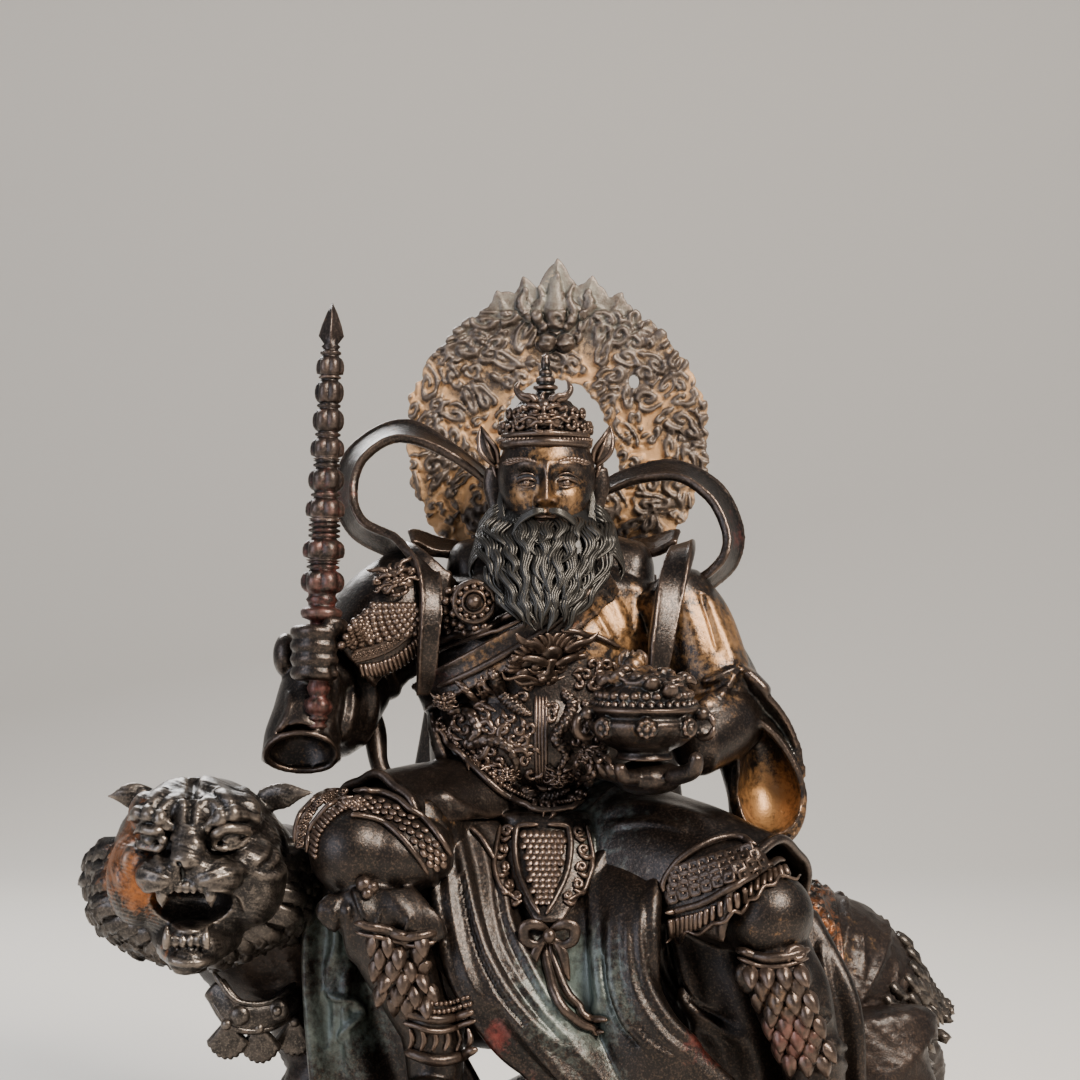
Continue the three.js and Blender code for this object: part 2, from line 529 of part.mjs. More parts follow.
// The floating scarf, its hanging end, the cloak with its turned-out edges, and the socket for the stem.
function scarf() {
  const loopLeft = band(
    [
      [-8, 4, 181], [-21, 5, 191], [-33, 6, 196], [-43, 4, 190.5], [-45.8, 2, 181], [-42.5, -2, 173],
      [-34, -5, 168.5], [-27, -10, 164.5], [-25, -15.5, 156], [-25.5, -16.5, 146], [-26.5, -13, 134],
    ],
    [5, 8, 9.5, 9.5, 9.5, 9, 8, 7, 5.5, 5, 4.5],
    [
      [0.2, 1, 0.4], [-0.3, 0.9, 0.5], [0, 0.9, 0.5], [-0.4, 0.9, 0.3], [-0.5, 0.9, 0], [-0.4, 0.9, -0.3],
      [-0.3, 0.8, -0.5], [0.5, 0.8, 0], [1, 0.4, 0], [1, 0.3, 0], [1, 0.3, 0],
    ],
    1.8, 18,
  );
  const loopRight = band(
    [
      [10, 6, 179], [20, 6, 184.5], [32, 5, 186.5], [41, 3, 181.5],
      [45.3, 1, 173], [44.6, -1, 166], [40, -2, 161], [34, 1, 158],
    ],
    [3, 5, 8, 9.5, 9.5, 9, 7, 5],
    [
      [0, 0.6, 0.9], [0, 0.8, 0.7], [0.1, 0.9, 0.5], [0.4, 0.9, 0.3],
      [0.5, 0.9, 0], [0.4, 0.9, -0.2], [0.3, 0.8, -0.4], [0.2, 0.8, -0.4],
    ],
    1.8, 12,
  );
  const collar = bothSides((s) => band(
    [[1 + 7 * s, 9, 169], [1 + 17 * s, 11, 167.5], [1 + 26 * s, 10, 168.5], [1 + 32 * s, 6, 171]],
    [8, 9, 9, 5],
    [[0, 1, 0.1], [0, 1, 0.2], [0, 1, 0.4], [0, 1, 0.6]],
    2.4, 3,
  ));
  const lapelFold = limb(
    [[34, 3, 168.5], [32.5, -5, 167], [29.5, -13, 158], [27.5, -17.5, 148], [26.5, -18.5, 141]],
    [2.6, 3.4, 3.2, 2.6, 1.6], [4.5, 4, 3.6, 3.2, 2], { sides: 6, steps: 5, cap: 0.1 },
  );
  const hook = limb(
    [[-22, -4, 106], [-28, -6, 110.5], [-34, -5, 112], [-37.5, -3, 117], [-39, 1, 125], [-41, 3, 132]],
    [3, 3, 2.8, 2.8, 2.8, 2.4], [3.6, 3.4, 3, 3, 3, 2.6], { sides: 5, steps: 6, cap: 0.1 },
  );
  const back = drape(
    [[-24, 12, 162], [-28, 19, 130], [-34, 23, 98]],
    [[28, 12, 162], [32, 19, 130], [36, 23, 98]],
    { folds: 2, depth: -1.4, thick: 8, down: 1 },
  );
  const socket = ball([1.95, 19, 149], [9, 9, 8.5], 6, 4);
  return join(loopLeft, loopRight, collar, lapelFold, hook, back, socket);
}

// The rod: beads in turn with small rings, thinning from the guard to a faceted spike, upright on its foot.
function whip(grow = 0) {
  const length = v3(WHIP_TIP).distanceTo(v3(WHIP_FOOT));
  // Places along the rod, as shares of its length, and radii.
  const outline = [
    [0, 0], [0.012, 2.4], [0.03, 1.5], [0.055, 3.9], [0.08, 2], [0.1, 2.9],
    [0.115, 2.6], [0.25, 2.6], [0.252, 4.8], [0.282, 4.8], [0.284, 2.6],
  ];
  for (let bead = 0; bead < 8; bead++) {
    const at = 0.32 + 0.076 * bead;
    const size = mix(4.5, 2.8, bead / 7.5);
    outline.push([at - 0.022, size * 0.72], [at, size], [at + 0.022, size * 0.72]);
  }
  outline.push([0.9, 1.7], [0.925, 2.5], [0.965, 1.5], [1, 0]);
  const steps = outline.length - 1;
  return molded(6, steps, (angle, t) => {
    const [s, r] = outline[Math.round(t * steps)];
    const wide = r ? r + grow : 0;
    return v3([wide * Math.cos(angle), wide * Math.sin(angle), s * length + grow * (2 * t - 1)]);
  });
}

// The mandorla: a disc of clouds with a flame crown, pierced behind the head, on a stem in the socket.
function mandorla() {
  // The flame crown's points, in degrees and in height over the disc, then the scalloped rest of the rim.
  const flames = [
    [62, 1], [66, 4], [70, 1.5], [78, 5.4], [82.5, 2],
    [90, 9], [97.5, 2], [102, 5.4], [106, 1.5], [112, 4], [116, 1],
  ];
  const scallops = count(36, (i) => [122 + 8.4 * i, [0, 1.6, 2][i % 3]]);
  const rim = [...flames, ...scallops].map(([degrees, high]) => {
    const angle = (degrees * Math.PI) / 180;
    const radius = HALO_RADIUS + high;
    return new THREE.Vector2(radius * Math.cos(angle), radius * Math.sin(angle));
  });
  const outline = new THREE.Shape(rim);
  const hole = (x, z, r, corners) =>
    new THREE.Path(count(corners, (i) => {
      const angle = (-2 * Math.PI * i) / corners;
      return new THREE.Vector2(x + r * Math.cos(angle), z + r * Math.sin(angle));
    }));
  const pierced = [[15.5, 14], [-24, 2], [22, -14]].map(([x, z]) => hole(x, z, 1.5, 5));
  outline.holes.push(hole(-3, -1.2, 14.2, 14), ...pierced);
  const sheet = new THREE.ExtrudeGeometry(outline, { depth: HALO_THICKNESS, bevelEnabled: false })
    .translate(0, 0, -HALO_THICKNESS / 2)
    .rotateX(Math.PI / 2);
  const cloud = (far, turn) =>
    ball([far * Math.cos(turn), -HALO_THICKNESS / 2, far * Math.sin(turn)], [3.8, 1.7, 3.4], 5, 3);
  const outer = count(8, (i) => cloud(29, (2 * Math.PI * i) / 8 + 0.25));
  const inner = count(5, (i) => cloud(21, (2 * Math.PI * i) / 5 + 0.6));
  const pearls = bothSides((s) => ball([-0.2 + 2.3 * s, -2, 23.7], [2.3, 2.4, 2.3], 5, 3));
  const leaf = ball([-0.5, -1.5, 33], [3, 2, 7.5], 5, 4);
  return join(solid(sheet), outer, inner, pearls, leaf, stem());
}

function stem(grow = 0) {
  const half = HALO_THICKNESS / 2 + grow;
  const side = (u) => mix(-8 - grow, 3.5 + grow, u);
  return plate(1, 1, (u, v, w) => v3([side(u), mix(-half, half, v), mix(-45 - grow, -30, w + 0.5)]));
}

// The treasure bowl: a footed vessel with ring handles, heaped with ingots, coins and a flaming pearl.
function bowl(grow = 0) {
  const r = BOWL_RADIUS;
  const h = BOWL_RIM;
  const profile = [
    [0, 0], [6.4, 0], [5.8, 1.6], [r - 3, h * 0.35],
    [r, h * 0.68], [r - 1, h * 0.84], [r + 0.4, h], [0, h + 2],
  ];
  const outline = profile.map(([a, b]) => new THREE.Vector2(a ? a + grow : 0, b + (b < 1 ? -grow : grow)));
  const vessel = solid(new THREE.LatheGeometry(outline, 12).rotateX(Math.PI / 2));
  if (grow) return vessel;
  const handle = (s) =>
    new THREE.TorusGeometry(2.6, 0.9, 3, 6).rotateY(s * 0.7).translate(s * (r + 0.5), -3.5, h * 0.66);
  const rosettes = count(3, (i) => {
    const angle = 0.8 * (i - 1);
    return ball([r * Math.sin(angle), -r * Math.cos(angle), h * 0.68], [2.5, 1.3, 2.5], 5, 3);
  });
  const heap = molded(8, 5, (angle, t) => {
    const lumps = 1 + 0.12 * Math.sin(4.5 * Math.PI * t) * Math.cos(3 * angle + 6 * t);
    const ring = 11.4 * Math.sin(Math.PI * t) * lumps;
    return v3([ring * Math.cos(angle), ring * Math.sin(angle), h + 8.6 * Math.cos(Math.PI * t)]);
  });
  const ingots = count(2, (i) => ball([3 + 4 * i, -5 + 4 * i, h + 6.4], [4, 3, 2.6], 5, 3));
  const pearl = ball([-2.5, 0, h + 9.4], [3, 2.6, 3.4], 5, 4);
  return join(vessel, bothSides((s) => solid(handle(s))), rosettes, heap, ingots, pearl);
}

// Assembly: each piece is cut by a copy of its neighbour that is grown by the clearance.
const whipAxis = v3(WHIP_TIP).sub(v3(WHIP_FOOT)).normalize();
const whipTurn = new THREE.Quaternion().setFromUnitVectors(v3(FLAT), whipAxis);
const whipPlace = new THREE.Matrix4().compose(v3(WHIP_FOOT), whipTurn, v3([1, 1, 1]));
const whipClear = whip(GAP).transform(whipPlace.toArray());
const bowlClear = bowl(GAP).translate(BOWL);
const stemClear = stem(GAP).translate(HALO);

const tigerSolid = largest(join(tigerTrunk(), tigerLegs(), tigerHead(), saddleCloth(), harness(), tail()));
const tigerClear = join(tigerTrunk(GAP), saddleCloth(GAP), ruff(GAP));
const bootsClear = LEGS.map((form) => boot(form, GAP));
const godWhole = join(LEGS.map(leg), skirts(), skirtArmour(), torso(), rodArm(), bowlArm(), head(), scarf());
const godSolid = largest(godWhole.subtract(join(tigerClear, whipClear, bowlClear, stemClear)));
const plinthSolid = largest(plinth().subtract(join(tigerTrunk(GAP), bootsClear)));

const finish = (color, metalness, roughness) =>
  new THREE.MeshStandardMaterial({ color, metalness, roughness });
const DARK_BRASS = finish(0x3a2b22, 0.9, 0.45);
const BLACK_BRASS = finish(0x2b2724, 0.9, 0.45);
const GILT_BRASS = finish(0x8a6a45, 0.85, 0.5);
const LACQUERED_BRASS = finish(0x4a2a24, 0.85, 0.4);

const statue = new THREE.Group();

function piece(name, made, material) {
  const { numProp, vertProperties, triVerts } = made.getMesh();
  const points = vertProperties.filter((_, i) => i % numProp < 3);
  const geometry = new THREE.BufferGeometry()
    .setAttribute("position", new THREE.BufferAttribute(points, 3))
    .setIndex([...triVerts]);
  geometry.computeVertexNormals();
  const mesh = new THREE.Mesh(geometry, material);
  mesh.name = name;
  statue.add(mesh);
  return mesh;
}

piece("plinth", plinthSolid, BLACK_BRASS);
piece("tiger", tigerSolid, BLACK_BRASS);
piece("god", godSolid, DARK_BRASS);
piece("mandorla", mandorla().translate(HALO), GILT_BRASS);
piece("treasure_bowl", bowl().translate(BOWL), DARK_BRASS);
const rod = piece("whip", whip(), LACQUERED_BRASS);
rod.position.set(...WHIP_FOOT);
rod.quaternion.copy(whipTurn);

export default statue;
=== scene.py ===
"""Brass god of wealth on his tiger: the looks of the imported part. Lengths are in mm until a mesh is made."""

import bpy
import numpy as np
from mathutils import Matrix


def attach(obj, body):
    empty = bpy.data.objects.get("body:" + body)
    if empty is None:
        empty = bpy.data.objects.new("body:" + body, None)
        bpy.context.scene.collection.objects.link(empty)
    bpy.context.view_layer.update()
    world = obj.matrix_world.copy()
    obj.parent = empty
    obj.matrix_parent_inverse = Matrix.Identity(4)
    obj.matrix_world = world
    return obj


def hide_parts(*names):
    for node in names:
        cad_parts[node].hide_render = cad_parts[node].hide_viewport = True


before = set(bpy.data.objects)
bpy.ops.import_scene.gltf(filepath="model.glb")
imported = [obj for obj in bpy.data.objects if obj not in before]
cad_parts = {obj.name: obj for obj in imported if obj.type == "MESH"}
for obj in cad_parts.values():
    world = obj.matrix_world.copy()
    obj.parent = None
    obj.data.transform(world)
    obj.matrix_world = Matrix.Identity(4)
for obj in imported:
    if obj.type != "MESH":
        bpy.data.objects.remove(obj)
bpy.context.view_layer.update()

# The place where the figure is looked at: a pale tabletop that sweeps up behind it, lit like a small studio
# with a large soft lamp high at the right, a weaker one at the left and a narrow one behind for the rims.
MM = 0.001
EYE_DISTANCE = 600.0
EYE_HEIGHT = 170.0


def linear(hex_colour):
    """An sRGB hex colour as linear light: each part is ((c + 0.055) / 1.055) to the power 2.4."""
    parts = [int(hex_colour[i : i + 2], 16) / 255 for i in (1, 3, 5)]
    return [p / 12.92 if p < 0.04045 else ((p + 0.055) / 1.055) ** 2.4 for p in parts] + [1.0]


def node(material, kind, settings=None, links=None):
    """Adds one node to a material; settings go to its properties or sockets, links come from other nodes."""
    made = material.node_tree.nodes.new(kind)
    for name, value in (settings or {}).items():
        if name in made.inputs:
            made.inputs[name].default_value = value
        else:
            setattr(made, name, value)
    for name, source in (links or {}).items():
        material.node_tree.links.new(source, made.inputs[name])
    return made


def shader(name):
    """A new material and its Principled node."""
    material = bpy.data.materials.new(name)
    material.use_nodes = True
    return material, material.node_tree.nodes["Principled BSDF"]


def skin(name, points, triangles):
    """A mesh object from points in millimetres and rows of three point numbers."""
    mesh = bpy.data.meshes.new(name)
    mesh.vertices.add(len(points))
    mesh.vertices.foreach_set("co", (np.asarray(points) * MM).astype(np.float32).ravel())
    mesh.loops.add(triangles.size)
    mesh.loops.foreach_set("vertex_index", triangles.astype(np.int32).ravel())
    mesh.polygons.add(len(triangles))
    mesh.polygons.foreach_set("loop_start", np.arange(0, triangles.size, 3, dtype=np.int32))
    mesh.update(calc_edges=True)
    made = bpy.data.objects.new(name, mesh)
    bpy.context.scene.collection.objects.link(made)
    return made


def sweep():
    """Tabletop: flat for 700 mm behind the figure, then a quarter circle of 500 mm radius, then upright."""
    side = np.linspace(-2500, 2500, 9)
    bend = np.linspace(0, np.pi / 2, 24)
    away = np.concatenate([np.linspace(-1500, 650, 8), 700 + 500 * np.sin(bend), [1200.0]])
    high = np.concatenate([np.zeros(8), 500 - 500 * np.cos(bend), [2600.0]])
    points = np.stack(np.broadcast_arrays(side[None], away[:, None], high[:, None]), -1)
    ids = np.arange(points[..., 0].size).reshape(points.shape[:2])
    a, b, c, d = ids[:-1, :-1], ids[:-1, 1:], ids[1:, 1:], ids[1:, :-1]
    faces = np.concatenate([np.stack([a, b, c], -1).reshape(-1, 3), np.stack([a, c, d], -1).reshape(-1, 3)])
    return skin("tabletop", points.reshape(-1, 3), faces)


table = sweep()
table.data.shade_smooth()
paper, paper_shader = shader("matt_pale_paper")
grain = node(paper, "ShaderNodeTexNoise", {"Scale": 900.0, "Detail": 3.0})
paper_shader.inputs["Base Color"].default_value = linear("#dedad3")
paper_shader.inputs["Roughness"].default_value = 0.75
paper_bump = node(paper, "ShaderNodeBump", {"Strength": 0.05, "Distance": 0.0002}, {"Height": grain.outputs[0]})
paper.node_tree.links.new(paper_bump.outputs[0], paper_shader.inputs["Normal"])
table.data.materials.append(paper)


def lamp(name, place, aim, size, watts, colour):
    """A square soft lamp at `place`, turned to `aim`."""
    light = bpy.data.lights.new(name, "AREA")
    light.size = size
    light.energy = watts
    light.color = linear(colour)[:3]
    made = bpy.data.objects.new(name, light)
    made.location = place
    direction = bpy.context.scene.cursor.location.copy()
    direction[:] = [a - b for a, b in zip(aim, place)]
    made.rotation_euler = direction.to_track_quat("-Z", "Y").to_euler()
    bpy.context.scene.collection.objects.link(made)


lamp("key", (0.42, -0.52, 0.66), (0.0, 0.0, 0.14), 0.2, 16.0, "#fff3e4")
lamp("fill", (-0.7, -0.6, 0.35), (0.0, 0.0, 0.12), 0.6, 5.0, "#e6eeff")
lamp("rim", (-0.25, 0.55, 0.6), (0.0, 0.0, 0.15), 0.35, 5.0, "#ffffff")
world = bpy.data.worlds.new("studio")
world.use_nodes = True
world.node_tree.nodes["Background"].inputs["Color"].default_value = linear("#b9bcc2")
world.node_tree.nodes["Background"].inputs["Strength"].default_value = 0.6
bpy.context.scene.world = world

lens = bpy.data.cameras.new("camera")
lens.lens = 85.0
lens.sensor_width = 36.0
lens.clip_start = 0.01
camera = bpy.data.objects.new("camera", lens)
camera.location = (0.0, -EYE_DISTANCE * MM, EYE_HEIGHT * MM)
camera.rotation_euler = (np.pi / 2, 0.0, 0.0)
bpy.context.scene.collection.objects.link(camera)
bpy.context.scene.camera = camera


# The plinth: a low oval foot of cast brass with rockwork on it, filed flat underneath and blackened. The feet
# and the tiger's belly rest on its rocks.
FOOT = (205.0, 122.0, 8.0)
GROUND = 15.0
GAP = 0.3
PHOTO_MM = 0.235  # one pixel of the photograph on the plane through the figure's middle
PHOTO_MIDDLE = 540  # the pixel at the middle of the photograph, across and down


def unit(vectors):
    """Vectors made one long."""
    return vectors / np.maximum(np.linalg.norm(vectors, axis=-1, keepdims=True), 1e-9)


def curve(points, t):
    """Smooth path through points at even steps of t: a cubic between each two whose slopes are half the step
    across their neighbours, with one more point straight on past each end."""
    p = np.asarray(points, float)
    p = np.vstack([2 * p[:1] - p[1:2], p, 2 * p[-1:] - p[-2:-1]])
    at = np.clip(np.asarray(t, float), 0, 1) * (len(p) - 3)
    i = np.minimum(at.astype(int), len(p) - 4)
    f = (at - i)[..., None]
    a, b, c, d = p[i], p[i + 1], p[i + 2], p[i + 3]
    return b + 0.5 * f * (c - a + f * (2 * a - 5 * b + 4 * c - d + f * (3 * (b - c) + d - a)))


def slope(points, t):
    """Direction of the smooth path at t."""
    return unit(curve(points, np.minimum(t + 1e-3, 1)) - curve(points, np.maximum(t - 1e-3, 0)))


def along(values, t):
    """Values at even steps, eased from one to the next by 3 f² - 2 f³."""
    v = np.asarray(values, float)
    at = np.clip(t, 0, 0.9999) * (len(v) - 1)
    i = at.astype(int)
    f = at - i
    return v[i] + (v[i + 1] - v[i]) * f * f * (3 - 2 * f)


def closed(rings, first, last):
    """Points and triangles of a skin of rings with a pole at each end."""
    n, m = rings.shape[:2]
    ids = 1 + np.arange(n * m).reshape(n, m)
    on = np.roll(ids, -1, axis=1)
    pole = np.full(m, n * m + 1)
    faces = [
        np.stack([ids[:-1], ids[1:], on[1:]], -1).reshape(-1, 3),
        np.stack([ids[:-1], on[1:], on[:-1]], -1).reshape(-1, 3),
        np.stack([np.zeros(m, int), ids[0], on[0]], -1),
        np.stack([pole, on[-1], ids[-1]], -1),
    ]
    return outward(np.vstack([first, rings.reshape(-1, 3), last]), np.concatenate(faces))


def outward(points, faces):
    """Turns a closed skin round if the volume that it encloses comes out negative."""
    a, b, c = (points[faces[:, k]] for k in range(3))
    return points, faces if np.einsum("ij,ij->", a, np.cross(b, c)) > 0 else faces[:, ::-1]


def molded(sides, steps, place):
    """A closed skin: place(angle, t) at rings from pole to pole, closer together at the poles."""
    t = (1 - np.cos(np.pi * np.arange(1, steps) / steps)) / 2
    angle = 2 * np.pi * np.arange(sides) / sides
    rings = place(*np.broadcast_arrays(angle[None], t[:, None]))
    ends = place(np.zeros(2), np.array([0.0, 1.0]))
    return closed(rings, ends[0], ends[1])


def xyz(x, y, z):
    """Three arrays as points."""
    return np.stack(np.broadcast_arrays(x, y, z), -1)


def ball(centre, radii, sides=28, steps=18):
    """An egg: centre plus radii times the unit sphere."""
    def place(angle, t):
        ring = np.sin(np.pi * t)
        return np.asarray(centre) + xyz(ring * np.cos(angle), ring * np.sin(angle), np.cos(np.pi * t)) * radii

    return molded(sides, steps, place)


def merged(forms):
    """Several skins as one list of points and one of triangles."""
    starts = np.cumsum([0] + [len(p) for p, _ in forms])
    return np.vstack([p for p, _ in forms]), np.concatenate([f + s for (_, f), s in zip(forms, starts)])


def read(made):
    """Points in millimetres and triangles of an object with its modifiers; the object is removed."""
    graph = bpy.context.evaluated_depsgraph_get()
    mesh = bpy.data.meshes.new_from_object(made.evaluated_get(graph))
    points = np.zeros(len(mesh.vertices) * 3, np.float32)
    mesh.vertices.foreach_get("co", points)
    mesh.calc_loop_triangles()
    faces = np.zeros(len(mesh.loop_triangles) * 3, np.int32)
    mesh.loop_triangles.foreach_get("vertices", faces)
    bpy.data.objects.remove(made)
    bpy.data.meshes.remove(mesh)
    return points.reshape(-1, 3).astype(float) / MM, faces.reshape(-1, 3)


def edges_of(faces):
    """The two point numbers of each side of each triangle, both ways round."""
    a = np.concatenate([faces[:, [0, 1]], faces[:, [1, 2]], faces[:, [2, 0]]])
    return a[:, 0], a[:, 1]


def normals_of(points, faces):
    """Unit normals at the points, from the areas of the triangles round each."""
    flat = np.cross(points[faces[:, 1]] - points[faces[:, 0]], points[faces[:, 2]] - points[faces[:, 0]])
    total = np.stack([
        sum(np.bincount(faces[:, k], flat[:, axis], len(points)) for k in range(3)) for axis in range(3)
    ], -1)
    return unit(total)


def eased(points, faces, times, share=0.5):
    """Moves each point towards the middle of its neighbours, `times` times."""
    a, b = edges_of(faces)
    number = np.maximum(np.bincount(a, minlength=len(points)), 1)[:, None]
    for _ in range(times):
        middle = np.stack([np.bincount(a, points[b, axis], len(points)) for axis in range(3)], -1) / number
        points = points + share * (middle - points)
    return points


def fused(forms, cell, smooth=3):
    """One casting out of many overlapping forms: their outer skin in cells of `cell` mm, a little smoothed."""
    work = skin("work", *merged(forms))
    cast = work.modifiers.new("cast", "REMESH")
    cast.mode = "VOXEL"
    cast.voxel_size = cell * MM * 1.0
    points, faces = read(work)
    return eased(points, faces, smooth), faces


def on_photo(points):
    """Where points are seen from the photograph's eye, as millimetres on the plane y = 0."""
    near = EYE_DISTANCE / (EYE_DISTANCE + points[:, 1])
    return np.stack([points[:, 0] * near, (points[:, 2] - EYE_HEIGHT) * near], -1)


def spot(px, py):
    """A pixel of the photograph as millimetres on the plane y = 0, from the middle of the view."""
    return [(px - PHOTO_MIDDLE) * PHOTO_MM, (PHOTO_MIDDLE - py) * PHOTO_MM]


def raised(points, faces, lines, allowed=None):
    """Chased relief. Each line is (path, radius, height): a point at distance d from the path rises along its
    normal by height times (1 - (d / radius)²)², and a drawn line fades over the last sixth at both its ends. A
    path of two numbers a point is drawn on the photograph's view and lifts what faces it. Where lines meet, the
    larger lift counts. Returns the points and their lift."""
    facing = normals_of(points, faces)
    seen = on_photo(points)
    front = facing[:, 1] < -0.1
    if allowed is not None:
        front = front & allowed
    lift = np.zeros(len(points))
    for path, radius, height in lines:
        path = np.asarray(path, float)
        here = seen if path.shape[1] == 2 else points
        if len(path) > 2:
            path = curve(path, np.linspace(0, 1, 5 * len(path)))
        low, high = path.min(0) - radius, path.max(0) + radius
        near = np.all((here > low) & (here < high), axis=1)
        if path.shape[1] == 2:
            near &= front
        elif allowed is not None:
            near &= allowed
        near = np.flatnonzero(near)
        best, share = np.full(len(near), np.inf), np.full(len(near), 0.5)
        for i, (a, b) in enumerate(zip(path[:-1], path[1:])):
            step = b - a
            part = np.clip(((here[near] - a) @ step) / max(step @ step, 1e-9), 0, 1)[:, None]
            far = ((here[near] - a - part * step) ** 2).sum(1)
            share = np.where(far < best, (i + part[:, 0]) / (len(path) - 1), share)
            best = np.minimum(best, far)
        rise = height * np.maximum(0, 1 - best / radius**2) ** 2
        if path.shape[1] == 2:
            fade = np.clip(6 * (0.5 - np.abs(share - 0.5)), 0, 1)
            rise = rise * fade * (2 - fade)
        lift[near] = np.where(np.abs(rise) > np.abs(lift[near]), rise, lift[near])
    return points + facing * lift[:, None], lift


def bulge(points, faces):
    """How far each point stands out from its neighbours, from about -1 in a hollow to 1 on an edge."""
    a, b = edges_of(faces)
    facing = normals_of(points, faces)
    step = points[a] - points[b]
    bend = np.einsum("ij,ij->i", step, facing[a]) / np.maximum((step**2).sum(1), 1e-6)
    number = np.maximum(np.bincount(a, minlength=len(points)), 1)
    value = np.bincount(a, bend, len(points)) / number
    for _ in range(3):
        value = 0.5 * value + 0.5 * np.bincount(a, value[b], len(points)) / number
    return np.clip(value * 1.5, -1, 1)


def blobs(points, spots):
    """The largest of several soft spots (centre, radius, strength), each fading as exp(-(d / radius)²)."""
    value = np.zeros(len(points))
    for centre, radius, strength in spots:
        value = np.maximum(value, strength * np.exp(-((points - centre) ** 2).sum(1) / radius**2))
    return value


def piece(name, form, budget, material, cad_node, paints=None, wear_and_highlight=1.0):
    """A finished piece: thinned to its budget of triangles, its edges and painted tones kept as attributes. The
    last argument is how far its high spots are rubbed pale: real wear, and on the tiger's head also a painted
    highlight."""
    points, faces = form
    made = skin(name, points, faces)
    if len(faces) > budget:
        thin = made.modifiers.new("thin", "DECIMATE")
        thin.ratio = budget / len(faces)
        points, faces = read(made)
        made = skin(name, points, faces)
    if made.data.validate():
        points, faces = read(made)
        made = skin(name, points, faces)
    made.name = made.data.name = name
    bends = bulge(points, faces)
    tones = {"edge": np.where(bends > 0, wear_and_highlight * bends, bends)}
    for key, paint in (paints or {}).items():
        tones[key] = paint(points)
    for key, values in tones.items():
        layer = made.data.attributes.new(key, "FLOAT", "POINT")
        layer.data.foreach_set("value", np.asarray(values, np.float32))
    made.data.shade_smooth()
    made.data.materials.append(material)
    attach(made, "root")
    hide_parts(cad_node)


def patina(name, dark, worn_and_highlight, gilt, green, red, rough):
    """Old cast brass. Dark patina in the hollows, a paler rubbed tone where the `edge` attribute stands out (real
    wear, and on the tiger's head and the beard's strands also a painted highlight), and leaf gilding, cold
    green-grey paint and red lacquer where the attributes of those names ask, all broken by noise."""
    material, out = shader(name)
    links = material.node_tree.links
    place = node(material, "ShaderNodeTexCoord").outputs["Object"]
    mottle = node(
        material, "ShaderNodeTexNoise", {"Scale": 160.0, "Detail": 6.0, "Roughness": 0.65}, {"Vector": place}
    )
    flake = node(
        material, "ShaderNodeTexNoise", {"Scale": 620.0, "Detail": 5.0, "Roughness": 0.7}, {"Vector": place}
    )
    grit = node(
        material, "ShaderNodeTexNoise", {"Scale": 1900.0, "Detail": 3.0, "Roughness": 0.6}, {"Vector": place}
    )

    def tone(key):
        return node(material, "ShaderNodeAttribute", {"attribute_name": key}).outputs["Fac"]

    def sums(kind, a, b):
        made = node(material, "ShaderNodeMath", {"operation": kind})
        for socket, value in zip(made.inputs, (a, b)):
            if isinstance(value, float):
                socket.default_value = value
            else:
                links.new(value, socket)
        return made.outputs[0]

    def ramp(value, low, high):
        made = node(material, "ShaderNodeMapRange", {"From Min": low, "From Max": high}, {"Value": value})
        return made.outputs[0]

    def mixed(share, below, above):
        made = node(material, "ShaderNodeMix", {"data_type": "RGBA"})
        links.new(share, made.inputs["Factor"])
        for socket, value in ((made.inputs[6], below), (made.inputs[7], above)):
            if isinstance(value, str):
                socket.default_value = linear(value)
            else:
                links.new(value, socket)
        return made.outputs[2]

    noise = sums("MULTIPLY_ADD", flake.outputs["Fac"], 0.6)
    links.new(sums("MULTIPLY", mottle.outputs["Fac"], 0.4), noise.node.inputs[2])
    uneven = sums("MULTIPLY", sums("SUBTRACT", noise, 0.5), 1.7)
    # Pale rubbed tone on the high spots: real wear, and on the tiger's head and the beard's strands a painted
    # highlight too.
    rub_and_highlight = ramp(sums("ADD", tone("edge"), sums("MULTIPLY", noise, 1.1)), 0.6, 1.35)
    gold = ramp(sums("ADD", tone("gilt"), uneven), 0.28, 0.62)
    cold = ramp(
        sums("ADD", tone("green"), sums("SUBTRACT", uneven, sums("MULTIPLY", tone("edge"), 0.35))), 0.25, 0.75
    )
    lacquer = ramp(sums("ADD", tone("red"), uneven), 0.4, 0.75)
    base = mixed(ramp(mottle.outputs["Fac"], 0.35, 0.7), dark[0], dark[1])
    base = mixed(sums("MULTIPLY", ramp(grit.outputs["Fac"], 0.5, 0.7), 0.3), base, worn_and_highlight)
    base = mixed(cold, base, green)
    base = mixed(gold, base, gilt)
    base = mixed(lacquer, base, red)
    base = mixed(sums("MULTIPLY", rub_and_highlight, 0.62), base, worn_and_highlight)
    hollow = ramp(sums("MULTIPLY", tone("edge"), -1.0), 0.1, 0.75)
    base = mixed(sums("MULTIPLY", hollow, 0.75), base, "#0b0908")
    links.new(base, out.inputs["Base Color"])
    shine = sums("SUBTRACT", 0.8, sums("ADD", sums("MULTIPLY", cold, 0.6), sums("MULTIPLY", lacquer, 0.35)))
    links.new(shine, out.inputs["Metallic"])
    gloss = ramp(sums("SUBTRACT", noise, sums("MULTIPLY", rub_and_highlight, 0.35)), -0.9, 1.5)
    gloss.node.inputs["To Min"].default_value = rough[0]
    gloss.node.inputs["To Max"].default_value = rough[1]
    links.new(sums("ADD", gloss, sums("MULTIPLY", gold, 0.17)), out.inputs["Roughness"])
    pits = node(
        material, "ShaderNodeBump", {"Strength": 0.6, "Distance": 0.0002}, {"Height": flake.outputs["Fac"]}
    )
    skin_bump = node(material, "ShaderNodeBump", {"Strength": 0.5, "Distance": 0.00009},
                     {"Height": grit.outputs["Fac"], "Normal": pits.outputs[0]})
    links.new(skin_bump.outputs[0], out.inputs["Normal"])
    links.new(skin_bump.outputs[0], out.inputs["Coat Normal"])
    out.inputs["Coat Weight"].default_value = 0.3
    out.inputs["Coat Roughness"].default_value = 0.3
    return material


